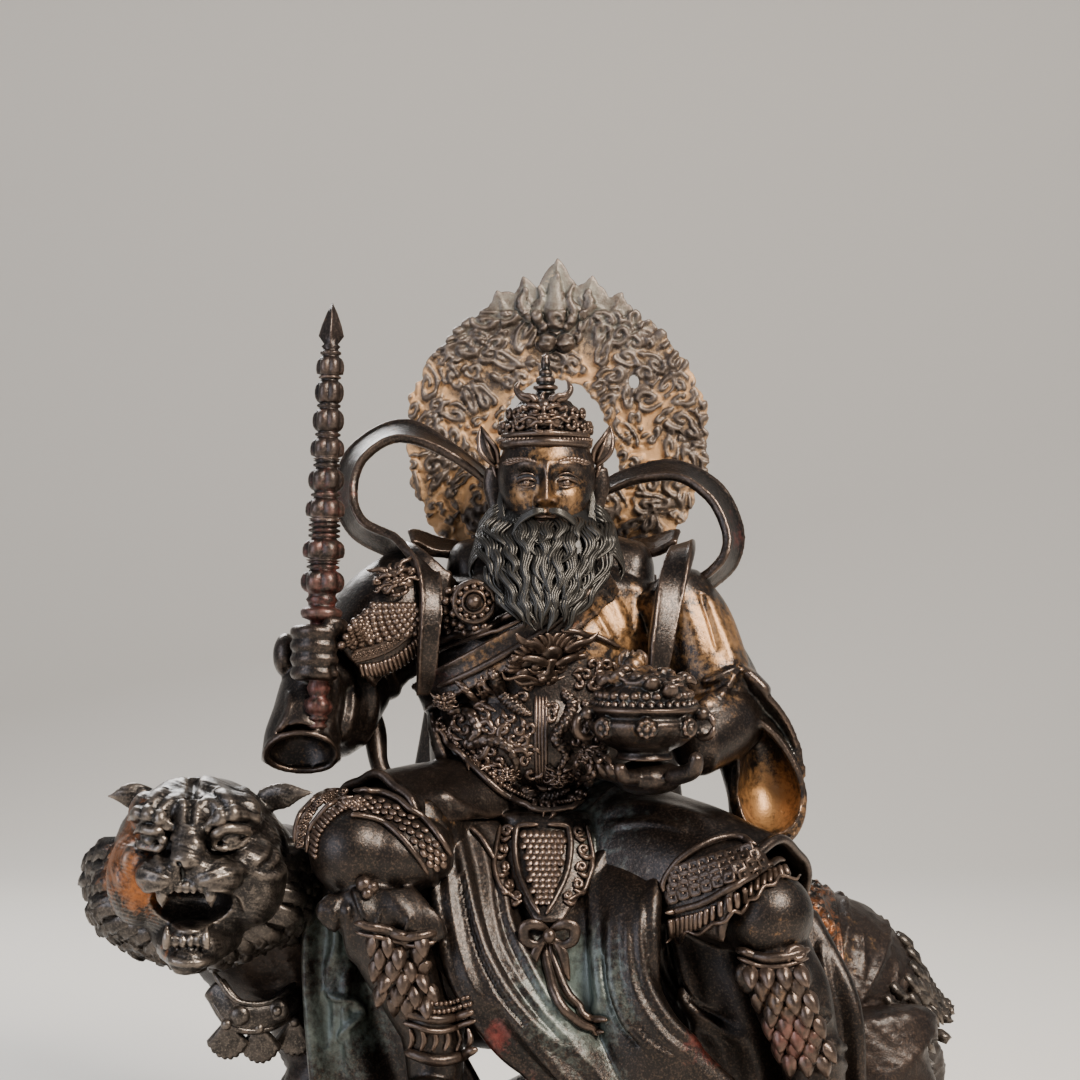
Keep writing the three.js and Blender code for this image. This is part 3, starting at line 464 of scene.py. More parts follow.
# Black patina over sand-cast brass: nearly black in the hollows, a dull brown-grey sheen where it is rubbed.
black_brass = patina(
    "blackened_cast_brass", ("#161311", "#2c2724"), "#94877b", "#9c5c2a", "#4a5450", "#5a2520", (0.17, 0.46)
)


def rock(centre, size, top, turn):
    """A cast rock: rings that swell down to the foot, roughened by waves and ridges round and up it."""
    def place(angle, t):
        ring = np.sin(np.pi * t * t) ** 0.6
        rough = 1 + 0.09 * np.sin(3 * angle + turn) + 0.06 * np.sin(7 * t + 2 * angle + turn)
        rough = rough - 0.05 * np.abs(np.sin(5 * angle + 4 * np.sin(6 * t + turn)))
        high = 6 + (top - 6) * (0.5 + 0.5 * np.cos(np.pi * t))
        return xyz(
            centre[0] + size[0] * ring * rough * np.cos(angle),
            centre[1] + size[1] * ring * rough * np.sin(angle),
            high
        )

    return molded(96, 60, place)


def plinth_forms():
    """An oval foot with a rolled rim, a broken ledge on it, and the rocks."""
    def foot(angle, t):
        # the outline goes from the middle of the top, out over a rounded edge, and back under
        reach = np.clip(np.minimum(t, 1 - t) / 0.42, 0, 1) ** 0.5
        high = np.where(t < 0.42, FOOT[2], np.where(t > 0.58, 0.0, FOOT[2] * (0.58 - t) / 0.16))
        edge = 0.985 + 0.015 * np.sin(np.pi * high / FOOT[2])
        return xyz(FOOT[0] / 2 * reach * edge * np.cos(angle), FOOT[1] / 2 * reach * edge * np.sin(angle), high)

    def ledge(angle, t):
        reach = np.clip(np.minimum(t, 1 - t) / 0.4, 0, 1) ** 0.5
        ridges = 0.012 * np.abs(np.sin(17 * angle))
        rough = 0.95 + 0.03 * np.sin(5 * angle) + 0.02 * np.sin(8 * angle + 1) - ridges
        high = np.where(t < 0.4, GROUND - GAP, np.where(t > 0.6, 5.0, 5 + (GROUND - GAP - 5) * (0.6 - t) / 0.2))
        step = rough - 0.03 * np.clip((high - 9) / 5, 0, 1)
        return xyz(FOOT[0] / 2 * reach * step * np.cos(angle), FOOT[1] / 2 * reach * step * np.sin(angle), high)

    rocks = [
        rock((12, 14), (52, 18), 46, 0.6), rock((-24, -43), (14, 12), 48, 1.5),
        rock((62, -41), (15, 12), 39.5, 3.2),
        rock((20, -36), (28, 13), 31, 2.2), rock((-40, 42), (26, 9), 22, 0.4),
    ]
    return [molded(240, 60, foot), molded(200, 60, ledge), *rocks]


def wrinkled(points, faces, size, height, seed):
    """Hammered or broken ground: three crossing sine waves of `size` mm, folded upwards, along the normals."""
    turn = np.random.default_rng(seed).uniform(0, 6.28, (3, 3))
    way = unit(np.random.default_rng(seed + 1).normal(size=(3, 3)))
    wave = sum(np.abs(np.sin(points @ way[i] * np.pi / size + turn[i, 0])) for i in range(3)) / 3
    return points + normals_of(points, faces) * (wave * height)[:, None]


plinth_points, plinth_faces = fused(plinth_forms(), 0.6)
upper = (plinth_points[:, 2] > 9)[:, None]
plinth_points = np.where(upper, wrinkled(plinth_points, plinth_faces, 4.2, -0.6, 5), plinth_points)
plinth_points[:, 2] = np.maximum(plinth_points[:, 2], 0)
piece("plinth_rockwork", (plinth_points, plinth_faces), 34000, black_brass, "plinth",
      {"green": lambda p: np.full(len(p), 0.1)})


# The tiger: cast in one with its harness and its saddle cloth. Its skull is modelled in lobes with chased
# ridges, the ruff is of curled locks, and the stripes are raised bands that the wear has polished.
TIGER_HEAD = np.array([-75.0, -38.0, 97.0])
TRUNK = [(-64, -8, 84), (-48, 5, 74), (-10, 13, 68), (35, 15, 65), (66, 16, 58), (92, 18, 44)]
TRUNK_WIDE = (16, 22, 20, 21, 24, 12)
TRUNK_HIGH = (17, 24, 20, 21, 27, 14)
FLAT = (0, 0, 1)  # the up of a limb that lies
DEEP = (0, -1, 0)  # the up of a limb that hangs


def limb(path, across, deep, sides=36, steps=44, cap=0.22, up=DEEP, swell=None):
    """An oval section along a smooth path, rounded at both ends by the root of 1 - e², e being how far into the
    end `cap` a ring is. swell(angle, t) multiplies the section."""
    def place(angle, t):
        end = np.maximum(0, np.abs(2 * t - 1) - (1 - cap)) / cap
        round_end = np.sqrt(np.maximum(0, 1 - end**2)) * (swell(angle, t) if swell else 1)
        way = slope(path, t)
        side = unit(np.cross(way, up))
        over = unit(np.cross(side, way))
        wide = (along(across, t) * round_end * np.cos(angle))[..., None]
        high = (along(deep, t) * round_end * np.sin(angle))[..., None]
        return curve(path, t) + side * wide + over * high

    return molded(sides, steps, place)


def strand(path, radii, sides=8, steps=14, up=FLAT, swell=None):
    """A round limb, such as a lock, a horn or a finger."""
    return limb(path, radii, radii, sides, steps, 0.22, up, swell)


def plate(across, down, place, soft=14):
    """A closed slab: place(u, v, w) on both faces, w = -0.5 and 0.5, thinned to a seam at the rim, where
    w fades as the root of 1 - |2u - 1| to the power `soft`, and the same for v."""
    u = (1 - np.cos(np.pi * np.arange(across + 1) / across)) / 2 * 0.4 + np.arange(across + 1) / across * 0.6
    v = (1 - np.cos(np.pi * np.arange(down + 1) / down)) / 2 * 0.4 + np.arange(down + 1) / down * 0.6
    u, v = np.meshgrid(u, v, indexing="ij")
    fade_u = np.sqrt(np.maximum(0, 1 - np.abs(2 * u - 1) ** soft))
    fade_v = np.sqrt(np.maximum(0, 1 - np.abs(2 * v - 1) ** soft))
    full = fade_u * fade_v
    front, back = place(u, v, 0.5 * full), place(u, v, -0.5 * full)
    ids = np.arange(u.size).reshape(u.shape)
    inner = ids + u.size
    for rim in (np.s_[0, :], np.s_[-1, :], np.s_[:, 0], np.s_[:, -1]):
        inner[rim] = ids[rim]

    def sheet(i):
        a, b, c, d = i[:-1, :-1], i[1:, :-1], i[1:, 1:], i[:-1, 1:]
        return np.concatenate([np.stack([a, b, c], -1).reshape(-1, 3), np.stack([a, c, d], -1).reshape(-1, 3)])

    faces = np.concatenate([sheet(ids), sheet(inner)[:, ::-1]])
    points = np.vstack([front.reshape(-1, 3), back.reshape(-1, 3)])
    kept, numbers = np.unique(faces, return_inverse=True)
    return outward(points[kept], numbers.reshape(-1, 3))


def between(a, b, t):
    """The point at share t of the way from a to b."""
    return np.asarray(a, float) + (np.asarray(b, float) - np.asarray(a, float)) * t


def cut_out(form, cutter):
    """A form with the room of another taken out of it."""
    work, tool = skin("work", *form), skin("tool", *cutter)
    bite = work.modifiers.new("bite", "BOOLEAN")
    bite.object = tool
    bite.operation = "DIFFERENCE"
    bite.solver = "EXACT"
    made = read(work)
    bpy.data.objects.remove(tool)
    return made


def both(make):
    """The same form on the two sides, -1 and 1."""
    return [make(-1), make(1)]


def drawn(pixels, radius, height):
    """A chased line drawn on the photograph: its points and radius in pixels, its height in millimetres."""
    return [spot(*p) for p in pixels], radius * PHOTO_MM, height


def face(x, y, z):
    """A point on the tiger's head, from the middle of its skull."""
    return tuple(TIGER_HEAD + (x, y, z))


def tiger_head_forms():
    """The skull in lobes with the open mouth cut out of it, then teeth, tongue, eyes with lids, and ears."""
    skull = [
        ball(face(0, 1.5, 2), (19.6, 18.2, 18.8), 48, 32),
        *both(lambda s: ball(face(7.2 * s, -9.6, 14), (7.4, 6.0, 5.0))),
        *both(lambda s: ball(face(12.6 * s, -5.4, -1), (7.2, 9.4, 10.4))),
        *both(lambda s: ball(face(11.6 * s, -11.4, 4.2), (4.6, 4.6, 3.6))),
        *both(lambda s: ball(face(5.4 * s, -17.4, 1.2), (6.4, 6.4, 4.4))),
        limb(
            [face(0, -11, 15.5), face(0, -17.2, 9.6), face(0, -21.6, 5.6)], (4.4, 3.4, 3.6), (4.5, 4.2, 2.8),
            up=FLAT
        ),
        limb(
            [face(-3.4, -21.6, 5.0), face(0, -22.9, 5.4), face(3.4, -21.6, 5.0)], (1.5, 2.1, 1.5),
            (1.7, 2.2, 1.7),
            30, 30, 0.3, FLAT
        ),
        limb([face(0, -2, -13), face(0, -12, -14.5), face(0, -19.5, -14)], (11, 8, 5.8), (6, 5, 4), up=FLAT),
        ball(face(0, -19.6, -16.4), (4.6, 3.4, 3)),
    ]
    head = cut_out(fused(skull, 0.7, 7), ball(face(0, -20, -5.4), (10.2, 14, 5.6), 48, 32))
    nostrils = both(lambda s: ball(face(1.5 * s, -24.6, 4.6), (0.8, 0.9, 0.6)))
    for nostril in nostrils:
        head = cut_out(head, nostril)

    def fang(x, top, tip, thick):
        return strand(
            [face(x, -20.4, top), face(x, -21.4, (top + tip) / 2), face(x, -20.2, tip)], (thick, thick, 0.3),
            up=DEEP
        )

    teeth = [
        fang(-5.2, 0.5, -5.4, 1.4), fang(5.2, 0.5, -5.4, 1.4), fang(-4.2, -14, -8.6, 1.0),
        fang(4.2, -14, -8.6, 1.0)
    ]
    teeth += [ball(face(x, -21.4, -0.6), (0.85, 0.8, 1.5), 10, 8) for x in (-3.2, -1.6, 0, 1.6, 3.2)]
    teeth += [ball(face(x, -20.8, -12.2), (0.8, 0.8, 1.5), 10, 8) for x in (-2.4, -0.8, 0.8, 2.4)]
    tongue = limb(
        [face(0, -6, -10.6), face(0, -13, -9.8), face(0, -19, -10.8)], (5, 4.6, 2.6), (1.2, 1.2, 0.9), up=FLAT
    )
    eyes = both(lambda s: ball(face(8.3 * s, -15.0, 9.0), (2.5, 2.1, 1.8)))
    eyes += both(lambda s: ball(face(8.0 * s, -16.9, 9.0), (0.8, 0.5, 0.8), 16, 12))
    eyes += both(lambda s: strand(
        [
            face(4.8 * s, -17.0, 7.6), face(7.0 * s, -17.2, 10.6), face(10.0 * s, -15.6, 11.2),
            face(12.6 * s, -12.6, 9.8)
        ],
        (0.6, 1.1, 1.1, 0.5), 14, 40, DEEP
    ))
    eyes += both(lambda s: strand(
        [
            face(4.8 * s, -17.0, 7.4), face(7.4 * s, -16.8, 7.0), face(10.0 * s, -15.2, 7.4),
            face(12.4 * s, -12.8, 9.0)
        ],
        (0.5, 0.8, 0.8, 0.4), 14, 40, DEEP
    ))
    eyes += both(lambda s: strand(
        [
            face(3.2 * s, -17.6, 11.2), face(6.2 * s, -16.8, 13.4), face(10.4 * s, -14.8, 14.2),
            face(14.2 * s, -11.0, 12.6)
        ],
        (0.8, 1.5, 1.6, 0.6), 16, 40, DEEP
    ))

    def ear(s):
        # the ear at the viewer's right stands 3 mm further out
        shift = 3.0 if s > 0 else 0.0
        tip = [
            face(10 * s + shift, 2, 15.0), face(15.0 * s + shift, 0.5, 16.6),
            face(20.4 * s + shift * 1.6, -1, 16.6 + 0.3 * shift)
        ]
        shell = limb(tip, (2.8, 3.0, 0.4), (1.8, 1.6, 0.4), 32, 30)
        hollow = limb(
            [face(11 * s + shift, -3.0, 15.2), face(16.6 * s + shift * 1.4, -2.6, 17.6)], (1.9, 0.6),
            (1.5, 0.8), 24,
            20
        )
        return cut_out(shell, hollow)

    return [head, *teeth, tongue, *eyes, *both(ear)]


def ruff_locks():
    """Rows of combed locks round the jaw, each grooved lengthwise and curled at its tip."""
    made = [ball(face(0, 9, -2), (22.0, 11.6, 18.4), 48, 32)]
    rows = ((23, 0.84, 2.7), (25, 0.91, 2.8), (27, 0.97, 2.7), (23, 1.0, 2.5))
    for row, (number, reach, thick) in enumerate(rows):
        for i in range(number):
            angle = np.pi * (0.84 + 1.32 * (i + 0.5 * (row % 2)) / number)
            across, up = np.cos(angle), np.sin(angle)
            turn = 1 if across > 0 else -1
            bend = 2.2 + 1.3 * np.sin(2.7 * i + 1.9 * row)
            curl = np.array([-up * turn, 0, across * turn]) * bend
            root = np.array(face(13.5 * across, -1.5 + 3.2 * row, -2 + 11.6 * up))
            far = reach + 0.045 * np.sin(5.3 * i + row)
            tip = np.array(face(26.6 * across * far, 1 + 3.4 * row, -5 + 17.4 * up * far))
            path = [root, between(root, tip, 0.45) + (0, -2.2, 0) + curl * 0.5,
                    between(root, tip, 0.85) + (0, -1.6, 0) + curl * 0.7,
                    tip + (0, -0.4, 0) + curl * 0.1, tip - curl * 0.35 + (0, 1.2, 0)]
            made.append(strand(path, (thick, thick, thick * 0.9, thick * 0.5, 0.2), 22, 20, (0, 1, 0), combed))
    return made


def combed(angle, t):
    """Deep grooves that run along a lock and wind a little round it."""
    return 1 + 0.13 * np.cos(7 * angle + 3 * t) + 0.05 * np.cos(13 * angle)


HEAD_LINES = [
    drawn([(194, 774), (191, 798), (189, 826)], 7.5, -1.35),
    drawn([(145, 825), (149, 807), (160, 792), (175, 781), (188, 779)], 9.3, 0.76),
    drawn([(157, 831), (160, 814), (167, 804), (178, 799), (187, 801)], 8.5, 0.71),
    drawn([(134, 822), (137, 804), (146, 789)], 7.6, 0.59),
    drawn([(140, 829), (151, 832), (163, 831), (174, 841)], 6.8, 0.82),
    drawn([(197, 780), (211, 783), (224, 795), (233, 810), (233, 824)], 9.3, 0.76),
    drawn([(199, 802), (208, 801), (217, 807), (221, 819), (217, 830)], 8.5, 0.71),
    drawn([(238, 783), (250, 795), (257, 813), (254, 829), (241, 835)], 8.5, 0.71),
    drawn([(199, 825), (211, 835), (226, 829), (244, 830), (259, 831)], 6.8, 0.88),
    drawn([(238, 846), (253, 840), (265, 843), (265, 855), (250, 867)], 6.8, 0.59),
    drawn([(232, 864), (250, 873), (274, 877), (287, 864), (284, 834), (277, 810)], 7.6, 0.64),
    drawn([(262, 868), (275, 862), (277, 846), (272, 826)], 6.0, 0.47),
    drawn([(145, 846), (130, 849), (124, 864), (130, 882)], 6.8, 0.53),
    drawn([(133, 838), (121, 846), (115, 866), (121, 892)], 6.8, 0.53),
    drawn([(172, 834), (160, 846), (157, 861), (166, 872)], 6.8, 0.53),
    drawn([(190, 837), (202, 849), (206, 861), (199, 873)], 6.8, 0.53),
    drawn([(190, 876), (211, 864), (232, 855)], 2.9, 0.19),
    drawn([(193, 880), (214, 871), (235, 864)], 2.9, 0.19),
    drawn([(196, 884), (217, 878), (238, 872)], 2.9, 0.19),
    drawn([(172, 876), (154, 867), (139, 861)], 2.9, 0.19),
    drawn([(170, 880), (152, 874), (137, 870)], 2.9, 0.19),
    drawn([(168, 884), (150, 881), (135, 879)], 2.9, 0.19),
    drawn([(167, 960), (190, 965), (217, 960)], 6.0, 0.53),
    drawn([(169, 972), (191, 977), (214, 972)], 6.0, 0.53),
    drawn([(173, 983), (191, 986), (210, 983)], 6.0, 0.47),
    drawn([(221, 836), (231, 830), (243, 838)], 2.6, 0.30),
    drawn([(221, 841), (232, 845), (243, 840)], 2.6, 0.26),
    drawn([(143, 838), (153, 831), (164, 837)], 2.6, 0.30),
    drawn([(143, 840), (153, 845), (164, 841)], 2.6, 0.26),
    drawn([(176, 862), (182, 872), (183, 884)], 3.3, -0.63),
    drawn([(133, 893), (160, 890), (183, 886), (208, 890), (236, 895), (246, 915)], 3.3, 0.33),
]
HEAD_LINES += [drawn([(205 + 4 * i, 788 + 2 * i), (207 + 4 * i, 796 + 2 * i)], 1.6, -0.27) for i in range(6)]


def trunk_spot(t, turn, lift=0.0):
    """A point on the tiger's trunk: t along it, turn in half turns from its back down either side."""
    wide, high = along(TRUNK_WIDE, t) + lift, along(TRUNK_HIGH, t) + lift
    way = slope(TRUNK, t)
    side = unit(np.cross(way, FLAT))
    over = unit(np.cross(side, way))
    aside, above = wide * np.sin(np.pi * turn), high * np.cos(np.pi * turn)
    return curve(TRUNK, t) + side * aside[..., None] + over * above[..., None]


def stripes():
    """Forked raised stripes that run down both flanks from the back."""
    made = []
    for i in range(17):
        for side in (-1, 1):
            down = np.linspace(0.05, 0.5 + 0.14 * np.sin(2.3 * i + side), 7)
            t = 0.06 + 0.056 * i + 0.03 * down * np.sin(5 * down + i) - 0.02 * down
            made.append((trunk_spot(np.clip(t, 0, 1), side * down), 1.7, 0.9))
            fork = np.linspace(0.22, 0.44, 5)
            t = 0.06 + 0.056 * i + 0.02 + 0.1 * (fork - 0.2)
            made.append((trunk_spot(np.clip(t, 0, 1), side * fork), 1.2, 0.7))
    return made


def fur(points, faces, size, height, wave):
    """Short combed hair: thin ridges whose run bends with a slow wave, along the normals."""
    x, y, z = points.T
    run = x * 0.35 + y * 0.2 + z + wave * np.sin(x / 9 + y / 7) + wave * 0.5 * np.sin(z / 4 + x / 5)
    ridge = np.abs(np.sin(np.pi * run / size)) * (0.6 + 0.4 * np.sin(x * 1.1 + z * 0.9 + y))
    return points + normals_of(points, faces) * (height * (ridge - 0.5))[:, None]


def tiger_body_forms():
    """The trunk along its smooth path, the neck and breast, the four legs with their paws, and the tail."""
    made = [
        limb(TRUNK, TRUNK_WIDE, TRUNK_HIGH, 72, 110, 0.2, FLAT),
        limb([(-44, 6, 72), (-60, -10, 82), (-73, -26, 92)], (22, 21, 17), (23, 22, 17), 60, 50, up=FLAT),
        ball((-60, -16, 72), (12.5, 13, 12.5)),
    ]
    for x, y, kind in ((-51, -19.5, 0), (-52, 26, 0), (72, -9, 1), (70, 32, 1)):
        if kind:
            path = [(x, y + 4, 60), (x + 4, y, 44), (x + 17, y - 1, 33), (x + 21, y - 2, 21)]
            made += [limb(path, (20, 19, 8.5, 7), (12, 12, 7, 6.5), cap=0.16)]
            paw = (x + 12 if x == 72 else x + 11, y - 3 if x == 72 else y - 2)
        else:
            path = [(x, y * 0.6, 64), (x + 4, y, 48), (x - 6, y, 32), (x - 9, y, 20)]
            made += [limb(path, (13, 11, 7.5, 7), (11, 9, 7.5, 6.5), cap=0.16)]
            paw = (x - 16, y - 1)
        made += [ball((paw[0] + 3, paw[1], GROUND + 4.6), (8.2, 6.4, 4.6))]
        for i in range(4):
            toe_y = paw[1] - 4.6 + 3.1 * i
            toe_x = paw[0] - 4.6 - 1.4 * np.sin(np.pi * (i + 0.5) / 4)
            made += [ball((toe_x, toe_y, GROUND + 2.9), (3.2, 1.9, 2.9))]
            made += [
                strand([(toe_x - 2, toe_y, GROUND + 2.6), (toe_x - 3.4, toe_y, GROUND + 1.4)], (0.7, 0.25))
            ]
    tail = [(88, 24, 50), (95.6, 35, 40), (94.8, 44.6, 27.5), (83, 49, 21.8), (62, 47.4, 20.6), (48, 42, 23)]
    made += [
        strand(tail, (6, 5, 4.6, 4.4, 4.6, 2.0), 36, 90, swell=lambda a, t: 1 + 0.07 * np.sin(60 * t) ** 2)
    ]
    return made


def tufts():
    """Curly tufts that stand along the rump's back line and behind the thigh."""
    made = []
    seed = np.random.default_rng(11)
    for _ in range(150):
        t, turn = seed.uniform(0.62, 0.985), seed.uniform(-0.62, 0.62)
        if 0.6 < t < 0.85 and abs(turn) < 0.6:
            t = seed.uniform(0.86, 0.985)
        a = trunk_spot(np.array(t), np.array(turn), -0.6)
        b = trunk_spot(np.array(min(t + 0.02, 1)), np.array(turn + 0.02), 1.1)
        c = trunk_spot(np.array(min(t + 0.045, 1)), np.array(turn + seed.uniform(-0.03, 0.05)), 0.1)
        made.append(
            strand(
                [a, b, c], (1.5, 1.4, 0.3), 10, 8, up=(0.1, 0.2, 1), swell=lambda a, t: 1 + 0.12 * np.cos(4 * a)
            )
        )
    return made


def scrolled(place, number, size, radius, height, seed, spread):
    """Cloud scrolls chased on a surface place(p, q), p and q in mm: each is a spiral of one and a half turns
    whose tail runs out into a wave. `spread` gives p and q of every scroll's middle, its turn and its hand."""
    lines = []
    for p, q, turn, hand in spread(np.random.default_rng(seed), number):
        s = np.linspace(0, 1, 14)
        a = turn + hand * 9.4 * s
        r = size * (1 - 0.86 * s)
        lines.append((place(p + r * np.cos(a), q + r * np.sin(a)), radius, height))
        w = np.linspace(0, 1, 7)
        out = turn - hand * 1.2 * w
        r = size * (1 + 0.9 * w)
        lines.append((place(p + r * np.cos(out), q + r * np.sin(out)), radius * 0.85, height * 0.8))
    return lines


def saddle_spot(u, v, lift):
    """The saddle cloth over the rump: u along the trunk, v round it from hem to hem, with a pointed hem."""
    t = 0.56 + 0.28 * u
    hem = 1 + 0.06 * np.abs(np.sin(3 * np.pi * u)) * np.abs(2 * v - 1)
    turn = np.pi * (-0.62 + 1.24 * v) * hem
    centre = curve(TRUNK, t)
    wide = (along(TRUNK_WIDE, t) + lift) * np.sin(turn)
    high = (along(TRUNK_HIGH, t) + lift) * np.cos(turn)
    return centre + xyz(0 * wide, wide, high)


def saddle():
    """A cloth with a corded border and cloud scrolls over its field."""
    form = plate(130, 260, lambda u, v, w: saddle_spot(u, v, 1.2 + 2.4 * w + 0.25 * np.sin(9 * u + 22 * v)))
    border = [(saddle_spot(x, np.linspace(0.01, 0.99, 60), 2.4), 1.0, 0.8) for x in (0.03, 0.97, 0.12, 0.88)]
    border += [(saddle_spot(np.linspace(0.02, 0.98, 20), y, 2.4), 1.0, 0.8) for y in (0.02, 0.98, 0.05, 0.95)]

    def spread(seed, number):
        for i in range(number):
            row, col = divmod(i, 4)
            yield (6 + 8.6 * col + 4 * (row % 2) + seed.uniform(-1, 1), 6 + 7.2 * row + seed.uniform(-1, 1),
                   seed.uniform(0, 6.28), 1 if (row + col) % 2 else -1)

    def place(p, q):
        return saddle_spot(np.clip(p / 42, 0.05, 0.95), np.clip(q / 92, 0.03, 0.97), 2.4)

    points, faces = form
    points, _ = raised(points, faces, border + scrolled(place, 48, 2.9, 1.0, 1.15, 3, spread))
    return points, faces


def fan_tassel(x, y, z):
    """A fluted fan, open by 1.9 radians and 9.4 mm deep, that hangs from a knob."""
    def place(u, v, w):
        turn = (u - 0.5) * 1.9
        reach = 9.4 * v * (1 + 0.05 * np.abs(np.sin(8 * np.pi * u)))
        ridge = 0.5 * np.cos(16 * np.pi * u) * v
        return xyz(
            x + reach * np.sin(turn) * 0.62, y + 1.5 * v - ridge * (w > 0) + w * 3, z + 2 - reach * np.cos(turn)
        )

    return [plate(64, 20, place), ball((x, y - 1.2, z + 0.6), (1.3, 1.2, 1.3))]


def harness():
    """A strap with ridged borders round the chest, a domed boss and fluted fan tassels under it."""
    path = [(-73, -32, 71), (-67, -33.5, 64.5), (-58, -29.5, 65), (-50.5, -18, 74)]
    made = [
        limb(path, (1.6, 1.8, 1.8, 1.6), (3.2, 3.6, 3.6, 3.2), 24, 50, 0.08, FLAT),
        strand([np.add(p, (0.2, -0.8, 3.0)) for p in path], (0.8, 0.8, 0.8, 0.8), 8, 40),
        strand([np.add(p, (-0.2, -0.8, -3.0)) for p in path], (0.8, 0.8, 0.8, 0.8), 8, 40),
        ball((-58.5, -31.6, 65.2), (2.7, 1.6, 2.7)),
        ball((-58.5, -32.8, 65.2), (1.2, 1.2, 1.2)),
        ball((-66.5, -35, 64.6), (2.3, 1.4, 2.3)),
    ]
    for knob in ((-69.5, -33.5, 62), (-62.5, -31.8, 60.8), (-55, -27.5, 61.5)):
        made += fan_tassel(*knob)
    return made


def rust(points):
    """The orange bloom on the tiger's cheek at the viewer's left."""
    return blobs(
        points,
        [
            ((-91, -46, 100), 10, 0.66), ((-86, -52, 95), 8, 0.6), ((-88, -46, 109), 8, 0.58),
            ((-79, -55, 82), 4, 0.45)
        ]
    )


head_points, head_faces = fused(tiger_head_forms(), 0.3)
head_points, _ = raised(head_points, head_faces, HEAD_LINES, head_points[:, 1] < -38)
head_points = fur(head_points, head_faces, 0.9, 0.16, 1.6)
# The head's high spots are rubbed half again as pale as usual: partly real wear, partly a painted highlight on the
# forehead and brow.
piece("tiger_head", (head_points, head_faces), 68000, black_brass, "tiger",
      {"gilt": rust, "green": lambda p: np.full(len(p), 0.05)}, 1.5)
piece("tiger_ruff", merged(ruff_locks()), 32000, black_brass, "tiger",
      {"gilt": rust, "green": lambda p: np.full(len(p), 0.1)})
body_points, body_faces = fused(tiger_body_forms(), 0.55)
body_points, _ = raised(body_points, body_faces, stripes())
body_points = fur(body_points, body_faces, 1.5, 0.35, 2.5)
body_points[:, 2] = np.maximum(body_points[:, 2], GROUND)
# The hide is duller and browner than the head: brass whose patina has dried matt, with little rubbing.
hide_brass = patina(
    "matt_brown_patinated_brass", ("#181210", "#2c221c"), "#6b5546", "#94724a", "#4a4f4a", "#6a2c1a",
    (0.4, 0.66)
)
piece("tiger_body", (body_points, body_faces), 62000, hide_brass, "tiger",
      {"gilt": lambda p: blobs(p, [((74, -8, 80), 15, 0.3)])}, 0.2)
piece("tiger_trappings", merged([saddle(), *harness(), *tufts()]), 45000, black_brass, "tiger",
      {"gilt": lambda p: 0.4 * np.exp(-((p[:, 0] - 58) / 24) ** 2), "red": lambda p: np.full(len(p), 0.25)},
      0.6)


# The god's legs and robe: cast in one with the rest of the figure. Bare round knees stand over greaves and soft
# boots; the robe falls from the belt in long folds that sweep to the viewer's right, and a lining shows
# between.
KNEE_LEFT = (-40.5, -42.0, 102.0)
KNEE_RIGHT = (50.0, -39.0, 87.5)
LEGS = [
    ((-10, 0, 99), KNEE_LEFT, (-23, -42, 60), (-25, -61, 51)),
    ((14, 0, 97), KNEE_RIGHT, (61, -38, 51), (63, -57, 42.5)),
]


def drape(left, right, folds=2, depth=1.5, thick=4, belly=0, hem=0, across=90, down=70):
    """A fall of cloth between two edges that run down it: y moves out by depth cos(2π folds u), growing
    downwards, and the hem waves with the folds."""
    def place(u, v, w):
        t = 1 - v
        a, b = curve(left, t), curve(right, t)
        wave = np.cos(2 * np.pi * folds * u)
        out = w * thick - wave * depth * (0.4 + 0.6 * t) - belly * np.sin(np.pi * u)
        return a + (b - a) * u[..., None] + xyz(0 * u, out, -hem * wave * t**4)

    return plate(across, down, place)


def band(path, widths, wide, thick, steps=110, across=26, roll=0.7, wave=0.0):
    """A ribbon of cast cloth with rolled edges: its width lies along `wide`, given at even steps of the path.
    The thickness grows by roll exp(-((|2v - 1| - 0.88) / 0.12)²), and wave bends the middle."""
    def place(u, v, w):
        way = slope(path, u)
        width = curve(wide, u)
        width = unit(width - (width * way).sum(-1, keepdims=True) * way)
        out = unit(np.cross(way, width))
        edge = np.exp(-(((np.abs(2 * v - 1)) - 0.88) / 0.12) ** 2)
        high = w * (thick + roll * edge) + wave * np.sin(9 * u) * np.cos(np.pi * (v - 0.5))
        return curve(path, u) + width * ((v - 0.5) * along(widths, u))[..., None] + out * high[..., None]

    return plate(steps, across, place)


